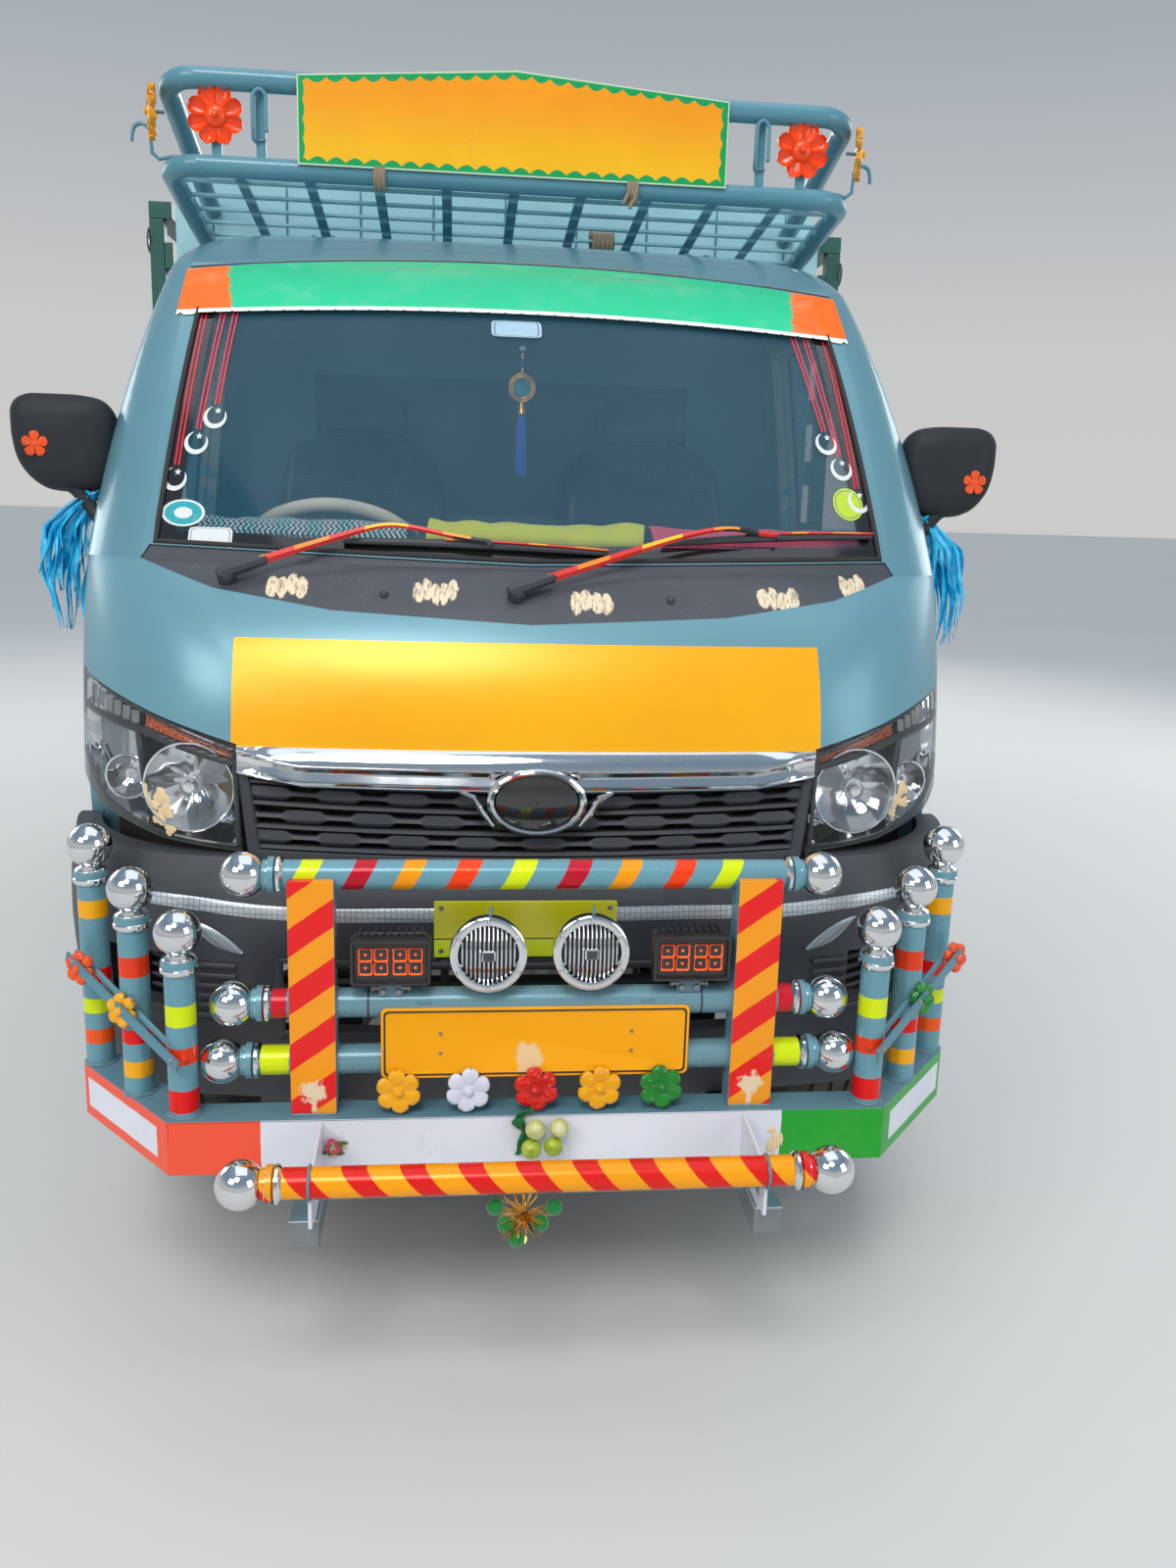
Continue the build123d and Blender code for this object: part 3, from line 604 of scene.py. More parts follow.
def metal_dark(name, col=(0.022, 0.022, 0.024), rough=0.45, rust=0.35, dust=0.6):
    """Chassis paint over steel, with rust coming through and mud."""
    s = Sh(name, coat=0.1, coat_rough=0.3)
    r = s.ramp(s.noise(14.0, 6, 0.65), [(0.55, (0, 0, 0)), (0.70, (1, 1, 1))])
    rc = s.ramp(s.noise(55.0, 4, 0.6), [(0.3, (0.09, 0.028, 0.010)), (0.7, (0.24, 0.085, 0.028))])
    base = s.mix(s.mul(r, rust), s.mix(s.noise(5.0, 4, 0.6), col, tuple(c * 1.9 for c in col)), rc)
    base = s.dusty(base, dust, low=1300.0)
    s.set(col=base, metal=0.2, rough=s.math("ADD", rough, s.add(s.mul(s._dust, 0.4), s.mul(r, 0.25)), clamp=True))
    s.bump(s.noise(60.0, 5, 0.6), 0.25, 0.0012)
    return s.m


def cast(name="cast_iron_bare", col=(0.20, 0.20, 0.205)):
    s = Sh(name)
    r = s.ramp(s.noise(20.0, 6, 0.65), [(0.48, (0, 0, 0)), (0.68, (1, 1, 1))])
    base = s.mix(s.mul(r, 0.55), col, (0.17, 0.075, 0.035))
    base = s.dusty(base, 0.5, low=1300.0)
    s.set(col=base, metal=0.75, rough=s.math("ADD", 0.42, s.mul(r, 0.3), clamp=True))
    s.bump(s.noise(240.0, 4, 0.7), 0.35, 0.001)
    return s.m


def rubber(name="tyre_black", col=(0.020, 0.020, 0.021), dust=0.7):
    s = Sh(name, spec=0.35)
    base = s.mix(s.noise(9.0, 5, 0.6), col, tuple(c * 1.8 for c in col))
    base = s.dusty(base, dust, tone=(0.25, 0.20, 0.15), low=900.0)
    s.set(col=base, rough=s.math("ADD", 0.62, s.mul(s.noise(30.0, 4, 0.6), 0.2), clamp=True))
    s.bump(s.noise(420.0, 3, 0.6), 0.2, 0.0006)
    return s.m


def clear(name, tint=(0.03, 0.06, 0.08), alpha=0.35, rough=0.02, spec=0.8, dirt=0.25):
    s = Sh(name, spec=spec, ior=1.5)
    d = s.ramp(s.noise(3.0, 6, 0.65), [(0.45, (0, 0, 0)), (0.8, (1, 1, 1))])
    spots = s.ramp(s.voro(95.0), [(0.02, (1, 1, 1)), (0.05, (0, 0, 0))])
    rare = s.ramp(s.noise(24.0, 2, 0.5), [(0.68, (0, 0, 0)), (0.72, (1, 1, 1))])
    f = s.math("MULTIPLY", s.add(s.mul(d, 0.35), s.mul(spots, rare)), dirt, clamp=True)
    s.set(col=s.mix(f, tint, (0.45, 0.47, 0.46)), rough=s.math("ADD", rough, s.mul(f, 0.3), clamp=True), alpha=s.math("ADD", alpha, s.mul(f, 0.4), clamp=True))
    s.bump(s.noise(1.2, 2, 0.4), 0.04, 0.004)
    return s.m


def cloth_mat(name, col, col2=None, scale=900.0, rough=0.9, sheen=0.4, fuzz=0.25):
    s = Sh(name, sheen=sheen, sheen_rough=0.4)
    wx = s.wave(scale / 6.28, dirn="X"); wz = s.wave(scale / 6.28, dirn="Z"); wy = s.wave(scale / 6.28, dirn="Y")
    w = s.mul(s.add(wx, wy), s.add(wz, 0.3))
    base = s.mix(s.noise(12.0, 4, 0.6), col, col2 or tuple(c * 0.6 for c in col[:3]))
    base = s.mix(0.35, base, s.ramp(w, [(0.2, (0.35,) * 3), (1.0, (1, 1, 1))]), "MULTIPLY")
    s.set(col=base, rough=rough)
    s.bump(w, 0.3, 0.0006)
    s.bump(s.noise(500.0, 3, 0.7), fuzz, 0.0005)
    return s.m
# ---------------------------------------------------------------- camera, light and floor
def make_stage():
    scene = bpy.context.scene
    yaw, pitch, roll = math.radians(6.26), math.radians(12.497), math.radians(1.724)
    f = Vector((math.sin(yaw), math.cos(yaw), 0))
    r = Vector((math.cos(yaw), -math.sin(yaw), 0))
    u = Vector((0, 0, 1))
    f2 = f * math.cos(pitch) - u * math.sin(pitch)
    u2 = u * math.cos(pitch) + f * math.sin(pitch)
    r3 = r * math.cos(roll) + u2 * math.sin(roll)
    u3 = u2 * math.cos(roll) - r * math.sin(roll)
    cam = bpy.data.cameras.new("camera")
    cam.lens, cam.sensor_width, cam.clip_start, cam.clip_end = 29.27, 36.0, 0.02, 200.0
    ob = bpy.data.objects.new("camera", cam)
    scene.collection.objects.link(ob)
    ob.matrix_world = Matrix(((r3.x, u3.x, -f2.x, -0.1401), (r3.y, u3.y, -f2.y, -4.2618), (r3.z, u3.z, -f2.z, 1.4785), (0, 0, 0, 1)))
    scene.camera = ob

    def area(name, at, to, size, power, col=(1, 1, 1)):
        l = bpy.data.lights.new(name, "AREA")
        l.shape, l.size, l.size_y, l.energy, l.color = "RECTANGLE", size[0], size[1], power, col
        o = bpy.data.objects.new(name, l)
        o.location = at
        o.rotation_euler = (Vector(to) - Vector(at)).to_track_quat("-Z", "Y").to_euler()
        scene.collection.objects.link(o)

    area("key", (-4.6, -7.4, 5.6), (0, -1.4, 0.9), (3.4, 2.6), 210, (1.0, 0.975, 0.94))
    area("fill", (5.6, -6.0, 3.2), (0.2, -1.0, 1.0), (3.0, 3.4), 85, (0.93, 0.965, 1.0))
    area("top", (0.2, -0.8, 6.6), (0, 0.2, 0), (5.0, 7.0), 90)
    area("side_left", (6.4, 2.6, 3.6), (0, 0.8, 1.0), (4.0, 3.0), 90)
    area("side_right", (-6.4, 3.0, 3.6), (0, 0.8, 1.0), (4.0, 3.0), 90)
    area("rear", (1.5, 8.0, 4.2), (0, 2.0, 1.0), (4.0, 3.0), 130)

    l = bpy.data.lights.new("soft_sun", "SUN")
    l.energy, l.angle, l.color = 1.2, 0.35, (1.0, 0.985, 0.96)
    o = bpy.data.objects.new("soft_sun", l)
    o.rotation_euler = (Vector((0.6, 3.2, -4.2))).to_track_quat("-Z", "Y").to_euler()
    scene.collection.objects.link(o)

    world = bpy.data.worlds.new("studio")
    scene.world = world
    world.use_nodes = True
    t = world.node_tree
    t.nodes.clear()
    out = t.nodes.new("ShaderNodeOutputWorld")
    bg = t.nodes.new("ShaderNodeBackground")
    geo = t.nodes.new("ShaderNodeTexCoord")
    sep = t.nodes.new("ShaderNodeSeparateXYZ")
    ramp = t.nodes.new("ShaderNodeValToRGB")
    mr = t.nodes.new("ShaderNodeMapRange")
    t.links.new(geo.outputs["Generated"], sep.inputs[0])
    t.links.new(sep.outputs[2], mr.inputs["Value"])
    mr.inputs["From Min"].default_value, mr.inputs["From Max"].default_value = -1.0, 1.0
    t.links.new(mr.outputs[0], ramp.inputs[0])
    cr = ramp.color_ramp
    cr.elements[0].position, cr.elements[0].color = 0.0, (0.30, 0.30, 0.30, 1)
    cr.elements[1].position, cr.elements[1].color = 1.0, (0.50, 0.64, 0.80, 1)
    for p, c in ((0.47, (0.50, 0.50, 0.50, 1)), (0.495, (0.98, 0.98, 0.97, 1)), (0.56, (0.92, 0.93, 0.94, 1)), (0.70, (0.46, 0.55, 0.64, 1)), (0.84, (0.32, 0.45, 0.60, 1))):
        e = cr.elements.new(p)
        e.color = c
    t.links.new(ramp.outputs[0], bg.inputs[0])
    bg.inputs[1].default_value = 0.62
    t.links.new(bg.outputs[0], out.inputs[0])

    s = Sh("floor_pale", spec=0.25)
    s.set(col=s.mix(s.noise(0.35, 4, 0.6), (0.70, 0.69, 0.665), (0.64, 0.63, 0.61)), rough=0.72)
    s.bump(s.noise(30.0, 4, 0.6), 0.05, 0.002)
    me = bpy.data.meshes.new("floor")
    me.from_pydata([(-90, -90, 0), (90, -90, 0), (90, 90, 0), (-90, 90, 0)], [], [(0, 1, 2, 3)])
    me.materials.append(s.m)
    fl = bpy.data.objects.new("floor", me)
    scene.collection.objects.link(fl)
    fl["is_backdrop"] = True
    scene.view_settings.view_transform = "Standard"
    scene.view_settings.look = "None"


make_stage()
# ---------------------------------------------------------------- free cords and sheets
HUB = dict(px=0.0, py=828.0, pz=1778.0, hx=250.0, hy=1700.0)


def curve(name, pts, dia, mat, body="truck", res=6, ring=5):
    cu = bpy.data.curves.new(name, "CURVE")
    cu.dimensions = "3D"
    cu.bevel_depth, cu.bevel_resolution, cu.resolution_u, cu.use_fill_caps = dia / 2000.0, ring, res, True
    sp = cu.splines.new("NURBS")
    sp.points.add(len(pts) - 1)
    for i, p in enumerate(pts):
        sp.points[i].co = (*W(*p), 1.0)
    sp.order_u = 3
    sp.use_endpoint_u = True
    cu.materials.append(mat)
    ob = bpy.data.objects.new(name, cu)
    bpy.context.scene.collection.objects.link(ob)
    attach(ob, body)
    return ob


def nurbs_len(ob):
    dg = bpy.context.evaluated_depsgraph_get()
    e = ob.evaluated_get(dg)
    d = ob.data.bevel_depth
    ob.data.bevel_depth = 0.0
    ob.data.use_fill_caps = False
    dg.update()
    me = ob.evaluated_get(dg).to_mesh()
    L = sum((me.vertices[e.vertices[0]].co - me.vertices[e.vertices[1]].co).length for e in me.edges)
    ob.evaluated_get(dg).to_mesh_clear()
    ob.data.bevel_depth = d
    ob.data.use_fill_caps = True
    dg.update()
    return L


def soft_mats():
    s = Sh("jute_rope", sheen=0.3, sheen_rough=0.5)
    x, y, z = s.xyz()
    tw = s.wave(1.0, vec=s.scaled((140, 330, 330)), dist=1.5, detail=2, dirn="DIAGONAL")
    col = s.ramp(tw, [(0.0, (0.26, 0.17, 0.09)), (0.5, (0.52, 0.39, 0.23)), (1.0, (0.68, 0.55, 0.36))])
    s.set(col=s.mix(s.mul(s.noise(60.0, 4, 0.7), 0.7), col, (0.36, 0.28, 0.18)), rough=0.95)
    s.bump(tw, 0.8, 0.0022)
    s.bump(s.noise(900.0, 3, 0.7), 0.4, 0.0006)
    MAT["jute"] = s.m
    s = Sh("thread_blue", sheen=0.3)
    tw = s.wave(1.0, vec=s.scaled((700, 700, 500)), dirn="DIAGONAL")
    s.set(col=s.mix(tw, srgb(20, 60, 190), srgb(60, 120, 235)), rough=0.75)
    s.bump(tw, 0.5, 0.0004)
    MAT["thread_blue"] = s.m
    s = Sh("film_cyan", trans=0.0, coat=0.7, coat_rough=0.12)
    f = s.noise(26.0, 5, 0.6)
    col = s.ramp(f, [(0.28, srgb(0, 120, 190)), (0.52, srgb(0, 190, 240)), (0.78, srgb(120, 232, 255))])
    s.set(col=col, rough=s.math("ADD", 0.22, s.mul(s.noise(80.0, 3, 0.6), 0.2)), sss=0.0)
    s.bump(s.noise(60.0, 5, 0.65), 0.5, 0.003)
    s.bump(s.noise(1.0, 3, 0.6, vec=s.scaled((380, 380, 26))), 0.5, 0.0012)
    MAT["film_cyan"] = s.m
    MAT["cloth_green"] = cloth_mat("cloth_green", srgb(14, 130, 52), srgb(6, 82, 34), 1100.0)
    s = Sh("lime_rind", coat=0.35, coat_rough=0.2, spec=0.5)
    f = s.noise(55.0, 4, 0.6)
    col = s.ramp(f, [(0.3, srgb(116, 150, 18)), (0.55, srgb(168, 186, 40)), (0.8, srgb(206, 206, 84))])
    s.set(col=s.mix(s.mul(s.ramp(s.noise(130.0, 3, 0.6), [(0.58, (0, 0, 0)), (0.66, (1, 1, 1))]), 0.5), col, srgb(92, 74, 26)), rough=0.38, sss=0.05)
    s.bump(s.voro(900.0, feature="SMOOTH_F1"), 0.5, 0.0006)
    MAT["lime"] = s.m
    s = Sh("lime_pale", spec=0.4)
    f = s.noise(70.0, 4, 0.6)
    s.set(col=s.ramp(f, [(0.3, srgb(170, 176, 96)), (0.55, srgb(208, 210, 150)), (0.8, srgb(228, 226, 190))]), rough=0.6, sss=0.05)
    s.bump(s.voro(400.0), 0.7, 0.001)
    MAT["lime_pale"] = s.m
    s = Sh("foil_gold", metal=1.0)
    s.set(col=s.ramp(s.noise(120.0, 3, 0.6), [(0.3, srgb(200, 146, 40)), (0.7, srgb(255, 222, 130))]), rough=s.math("ADD", 0.14, s.mul(s.noise(300.0, 2, 0.5), 0.14)))
    s.bump(s.noise(1.0, 2, 0.5, vec=s.scaled((500, 500, 80))), 0.3, 0.0006)
    MAT["foil_gold"] = s.m
    MAT["felt_green"] = cloth_mat("felt_green", srgb(20, 150, 60), srgb(8, 96, 40), 500.0, sheen=0.7, fuzz=0.6)
    s = Sh("brass_gilt", metal=1.0)
    s.set(col=s.mix(s.noise(30.0, 4, 0.6), srgb(236, 190, 92), srgb(190, 134, 50)), rough=s.math("ADD", 0.16, s.mul(s.noise(60.0, 3, 0.6), 0.16)))
    s.bump(s.noise(300.0, 2, 0.5), 0.08, 0.0004)
    MAT["brass"] = s.m
    s = Sh("medal_blue", coat=1.0, coat_rough=0.03)
    s.set(col=s.ramp(s.noise(60.0, 4, 0.6), [(0.3, srgb(10, 70, 120)), (0.6, srgb(22, 120, 140)), (0.8, srgb(60, 170, 160))]), rough=0.25)
    s.bump(s.noise(90.0, 2, 0.5), 0.05, 0.0005)
    MAT["medal_blue"] = s.m


def ribbon(side, seed):
    """A bundle of torn plastic film strips tied to a mirror arm."""
    rnd = random.Random(seed)
    g = Geo()
    area = 0.0
    tie = Vector((side * 852, 757, 1462))
    strips = 30
    for k in range(strips):
        u = (k + rnd.random()) / strips
        L = rnd.choice((0.62, 0.74, 0.86, 1.0, 1.0, 0.95)) if k % 5 else 0.5
        wid = rnd.uniform(7.0, 15.0)
        out = lerp(-0.86, 0.90, u)
        ph, ph2, cur = rnd.uniform(0, 6.28), rnd.uniform(0, 6.28), rnd.uniform(0.6, 1.5)
        yy = rnd.uniform(-0.85, 0.85)
        rows, n = [], 15
        last, path = None, []
        for i in range(n + 1):
            t = i / n * L
            z = 1464 - 268 * t ** 1.12 + 10 * math.sin(PI * min(1, t * 3.0)) * (1 - abs(out)) * 0.5
            # half widths of the bundle, as in the drawing
            zs, hx, hy, cx = (1462, 1400, 1300, 1200), (14, 50, 60, 38), (10, 20, 27, 19), (858, 905, 918, 915)
            q = np.interp(-z, [-a for a in zs], hx), np.interp(-z, [-a for a in zs], hy), np.interp(-z, [-a for a in zs], cx)
            x = q[2] + out * q[0] * 0.90 + 5.0 * math.sin(ph + 7.5 * t * cur)
            y = 758 + yy * q[1] * 0.82 + 5.5 * math.sin(ph2 + 9 * t * cur)
            path.append(Vector((side * x, y, z)))
        for i, p in enumerate(path):
            t = i / n
            d = (path[min(i + 1, n)] - path[max(i - 1, 0)]).normalized()
            a = frame_of(d, (0, 1, 0.01))[0]
            tw = ph + 2.6 * cur * t * (1 if k % 2 else -1)
            b = d.cross(a)
            w = wid * (0.35 + 0.65 * smoothstep(0.0, 0.25, t)) * (1.0 - 0.75 * smoothstep(0.62, 1.0, t)) * (1 + 0.12 * math.sin(13 * t + ph2))
            e = (a * math.cos(tw) + b * math.sin(tw)) * w / 2
            m = (b * math.cos(tw) - a * math.sin(tw)) * (0.16 * w)
            rows.append([p - e, p - e * 0.45 + m, p + e * 0.45 + m, p + e])
            if last is not None:
                area += (p - last[0]).length * (w + last[1]) / 2
            last = (p, w)
        nrm = lambda p, i, k: Vector((0, 0.35, 0))
        g.grid(rows)
    # knot of the same film at the arm
    for k in range(7):
        a = k / 7 * 2 * PI
        loop = [(side * (852 + 11 * math.cos(t + a) * (0.6 + 0.1 * k)), 757 + (8 + k) * math.sin(t + a), 1462 + 5 * math.sin(2 * t + k) + (k - 3) * 2.0) for t in [i / 14 * 2 * PI for i in range(14)]]
        g.tube(loop, 2.6, 6, closed=True, flat=0.35)
    nm = "ribbon_" + ("left" if side > 0 else "right")
    ob = g.make(nm + "_film", [MAT["film_cyan"]], body="door_" + nm[7:], smooth=80, replaces=(nm,), slot="ribbon_blue", fix=False)
    so = ob.modifiers.new("thick", "SOLIDIFY")
    so.thickness, so.offset = 0.0004, 0.0
    return ob, area / 1e6


def hair(g, path, w0, w1, flat=0.3, n=5):
    m = len(path)
    g.tube(path, [lerp(w0, w1, i / (m - 1)) for i in range(m)], n, flat=flat)


def make_soft():
    soft_mats()
    # cord of the pendant: from its holder behind the glass to the medallion
    px, py, pz = HUB["px"], HUB["py"], HUB["pz"]
    cordobj = curve("pendant_cord_line", [(px, py, pz - 2 - 201 * i / 12) for i in range(13)], 3.0, MAT["thread_blue"], res=4)
    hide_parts("pendant_cord")
    g = Geo()
    cz = 1704.0
    g.use(1).rev([(0, -3.0), (17.5, -3.0), (18.2, -2.0), (18.2, 2.0), (17.5, 3.0), (0, 3.4)], 40, (px, py, cz), (0, -1, 0))
    g.use(0)
    for r, t in ((20.5, 2.6), (26.0, 2.2)):
        g.tube([(px + r * math.cos(a), py, cz + r * math.sin(a) * 1.04) for a in [i / 48 * 2 * PI for i in range(48)]], t, 10, closed=True)
    for i in range(20):
        a = i / 20 * 2 * PI
        g.ball((px + 23.2 * math.cos(a), py, cz + 23.2 * math.sin(a) * 1.04), 1.7, 10, 6)
    for zz, r in ((1733.5, 3.6), (1739.0, 3.0), (1768.5, 3.6), (1763.0, 3.0)):
        g.rev([(1.7, -r), (r * 0.8, -r * 0.6), (r, 0), (r * 0.8, r * 0.6), (1.7, r)], 16, (px, py, zz))
    # bell under the medallion
    g.rev([(1.2, 12), (3.4, 11.4), (5.0, 8), (6.0, 2), (8.4, -6), (11.5, -11.6), (11.8, -13), (11.0, -13), (8.0, -7), (4.5, 1), (0, 5)], 28, (px, py, 1665))
    g.ball((px, py, 1655), 3.0, 12, 8)
    g.rod((px, py, 1677), (px, py, 1675), 1.4, 8)
    medal = g.make("pendant_medal", [MAT["brass"], MAT["medal_blue"]], smooth=40, replaces=("pendant_disc",), slot="pendant_blue")
    g = Geo()
    rnd = random.Random(5)
    for i in range(64):
        a, r = i * 2.399, 9.5 * math.sqrt((i + 0.5) / 64)
        x, y = r * math.cos(a), r * math.sin(a)
        L = rnd.uniform(112, 126)
        pts = [(px + x * (0.34 + 0.8 * smoothstep(0.0, 0.35, t)) + 0.9 * math.sin(9 * t + a), py + y * (0.34 + 0.8 * smoothstep(0.0, 0.35, t)) + 0.9 * math.cos(8 * t + a), 1651 - L * t) for t in [k / 7 for k in range(8)]]
        g.tube(pts, 0.85, 5)
    g.rev([(0, 2), (5.6, 1.5), (6.2, -2), (5.4, -6), (6.3, -9), (5.0, -14), (0, -15)], 20, (px, py, 1650))
    tas = g.make("pendant_tassel", [MAT["thread_blue"]], smooth=70, slot="pendant_blue")
    g = Geo()
    g.rev([(0, 9), (5.0, 9), (7.0, 6), (7.0, 2), (3.5, 1.2), (2.2, 0.4), (0, 0.2)], 20, (px, py, pz - 2))
    hold = g.make("pendant_holder", [MAT["clear_holder"]], smooth=40)

    # rope hank: five turns round a flat bar of the rack, and a short tail
    hx, hy = HUB["hx"], HUB["hy"]
    hz = 2196 - 0.115 * (hy - 1320) + 5
    d, turns, per = 12.5, 5, 16
    pts = []
    for i in range(turns * per + 1):
        a = PI / 2 - 2 * PI * i / per
        k = i / (turns * per)
        wob = 1.2 * math.sin(i * 1.7)
        pts.append((hx - 29 + 58 * k + wob * 0.25, hy + (18.6 + 0.5 * math.sin(i * 0.9)) * math.cos(a), hz - 4 + (23.4 + 0.5 * math.cos(i * 1.3)) * math.sin(a)))
    last = pts[-1]
    pts += [(last[0] + 2, hy + 8, hz + 18.5), (last[0] + 3, hy + 16, hz + 8), (last[0] + 3, hy + 18.6, hz - 6), (last[0] + 2, hy + 17, hz - 18), (last[0] + 1, hy + 14, hz - 30), (last[0] - 2, hy + 12, hz - 42), (last[0] - 5, hy + 11, hz - 54)]
    hank = curve("rope_hank_line", pts, d, MAT["jute"], res=5, ring=5)
    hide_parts("rope_hank")
    L = nurbs_len(hank)
    W(*pts[0])
    g = Geo()
    e = pts[-1]
    for i in range(26):
        a = i * 2.4
        r = 5.2 * math.sqrt((i + 0.5) / 26)
        path = [(e[0] + r * math.cos(a) * (1 + 0.9 * t) - 2 * t, e[1] + r * math.sin(a) * (1 + 0.7 * t), e[2] + 1 - 13 * t) for t in (0, 0.35, 0.7, 1.0)]
        hair(g, path, 0.8, 0.35, flat=1.0, n=4)
    fray = g.make("rope_hank_fray", [MAT["jute"]], smooth=70)

    for side, seed in ((1, 31), (-1, 47)):
        ob, area = ribbon(side, seed)

    # garland on the girder: strip of green cloth, four limes, tinsel with felt balls
    g = Geo()
    line = [(-13, 514), (-24, 505), (-30, 494), (-22, 482), (-16, 470), (-19, 458), (-23, 446), (-25, 434)]
    rows = []
    n = len(line) * 4
    for i in range(n + 1):
        t = i / n * (len(line) - 1)
        k = min(int(t), len(line) - 2)
        x, z = lerp(line[k][0], line[k + 1][0], t - k), lerp(line[k][1], line[k + 1][1], t - k)
        row = []
        for j in range(9):
            v = j / 8 - 0.5
            row.append((x + v * (17 + 3 * math.sin(i * 0.6)), -28.5 + 2.6 * math.sin(v * 9 + i * 0.35) - 1.3 * math.cos(i * 0.5), z + 2.2 * math.sin(v * 5 + i * 0.2)))
        rows.append(row)
    g.slab(rows, (0, 1.1, 0))
    # knot where it is tied
    g.rbox(-40, -18, -36, -25, 485, 499, 5)
    cl = g.make("garland_cloth", [MAT["cloth_green"]], smooth=75, replaces=("garland",), slot="garland_green")
    g = Geo()
    for i, (x, y, z, r, k, m) in enumerate([(-2, -44, 486, 15.5, 1.08, 1), (37, -43, 487, 15, 1.05, 1), (-8, -46, 453, 15.5, 1.12, 0), (28, -45, 456, 15, 1.1, 0)]):
        g.use(m)
        ax = Vector((0.5 * (-1) ** i, -0.35, 0.8)).normalized()
        prof = [(r * math.sin(PI * j / 16) * (1 - 0.06 * math.cos(2 * PI * j / 16)), -r * k * math.cos(PI * j / 16) * (1 + (0.07 if j in (0, 16) else 0))) for j in range(17)]
        g.rev(prof, 28, (x, y, z), ax)
    limes = g.make("garland_limes", [MAT["lime"], MAT["lime_pale"]], smooth=60, slot="garland_green")
    g = Geo()
    rnd = random.Random(9)
    for i in range(130):
        a, e = rnd.uniform(0, 2 * PI), rnd.uniform(-0.9, 0.75)
        R = rnd.uniform(30, 46)
        d0 = Vector((math.cos(a) * math.cos(e), math.sin(a) * math.cos(e), math.sin(e) * 0.95))
        sag = rnd.uniform(0, 12)
        base = Vector((-28, -170, 413))
        path = [base + d0 * R * t + Vector((0, 0, -sag * t * t)) + Vector((math.sin(9 * t + i), math.cos(8 * t + i), 0)) * 1.6 for t in (0.05, 0.3, 0.55, 0.8, 1.0)]
        hair(g, path, 1.6, 0.9, flat=0.16, n=5)
    g.rod((-27, -176, 447), (-27, -171, 415), 2.2, 10)
    tins = g.make("garland_tinsel", [MAT["foil_gold"]], smooth=70)
    g = Geo()
    for x, z in ((-78, 431), (-54, 402), (-1, 402), (19, 428), (-37, 376)):
        x2 = max(-70, x)
        g.rev([(13 * math.sin(PI * j / 12), -9.5 * math.cos(PI * j / 12)) for j in range(13)], 24, (x2, -180, z), (0.15, -1, 0.2))
    balls = g.make("garland_balls", [MAT["felt_green"]], smooth=70)
    me = cl.data
    for i in range(n):
        for j in range(8):
            a, b, c_, d_ = (Vector(rows[i][j]), Vector(rows[i][j + 1]), Vector(rows[i + 1][j + 1]), Vector(rows[i + 1][j]))


MAT["clear_holder"] = clear("clear_holder", (0.5, 0.52, 0.53), alpha=0.45, dirt=0.1)
make_soft()
# ---------------------------------------------------------------- looks of the CAD nodes
def sharp_edges(me, deg=32.0):
    """Marks edges where the surface really turns, also where the mesh is split along them."""
    nv = len(me.vertices)
    co = np.empty(nv * 3)
    me.vertices.foreach_get("co", co)
    key = np.round(co.reshape(-1, 3) * 2e4).astype(np.int64)
    _, inv = np.unique(key, axis=0, return_inverse=True)
    inv = inv.reshape(-1)
    ne = len(me.edges)
    ev = np.empty(ne * 2, np.int64)
    me.edges.foreach_get("vertices", ev)
    ek = np.sort(inv[ev.reshape(-1, 2)], axis=1)
    nf = len(me.polygons)
    nrm = np.empty(nf * 3)
    me.polygons.foreach_get("normal", nrm)
    nrm = nrm.reshape(-1, 3)
    seen = {}
    for p in me.polygons:
        vs = p.vertices
        m = len(vs)
        for i in range(m):
            a, b = inv[vs[i]], inv[vs[(i + 1) % m]]
            seen.setdefault((a, b) if a < b else (b, a), []).append(p.index)
    lim = math.cos(math.radians(deg))
    flags = np.zeros(ne, bool)
    cache = {}
    for i in range(ne):
        k = (int(ek[i, 0]), int(ek[i, 1]))
        if k not in cache:
            fs = seen.get(k, [])
            cache[k] = len(fs) != 2 or float(nrm[fs[0]].dot(nrm[fs[1]])) < lim
        flags[i] = cache[k]
    a = me.attributes.get("sharp_edge") or me.attributes.new("sharp_edge", "BOOLEAN", "EDGE")
    a.data.foreach_set("value", flags)


def give(names, mats, bevel=0.0, seg=2, deg=32.0, pick=None):
    """Material or materials for CAD nodes; bevel in mm rounds their real edges."""
    for name in ([names] if isinstance(names, str) else names):
        ob = NODES[name]
        me = ob.data
        me.materials.clear()
        for m in (mats if isinstance(mats, (list, tuple)) else [mats]):
            me.materials.append(m)
        idx = [0] * len(me.polygons)
        if pick:
            for p in me.polygons:
                c, n = p.center, p.normal
                idx[p.index] = pick((c.x * 1000, c.y * 1000 - YS, c.z * 1000), n)
        me.polygons.foreach_set("material_index", idx)
        if bevel:
            if me.attributes.get("custom_normal"):
                me.attributes.remove(me.attributes["custom_normal"])
            me.polygons.foreach_set("use_smooth", [True] * len(me.polygons))
            sharp_edges(me, deg)
            w = ob.modifiers.new("join", "WELD")
            w.merge_threshold = 2e-5
            b = ob.modifiers.new("edge", "BEVEL")
            b.width, b.segments, b.limit_method, b.angle_limit = bevel / 1000.0, seg, "ANGLE", math.radians(deg)
            b.harden_normals = True
            b.use_clamp_overlap = True
            b.miter_outer = "MITER_ARC"


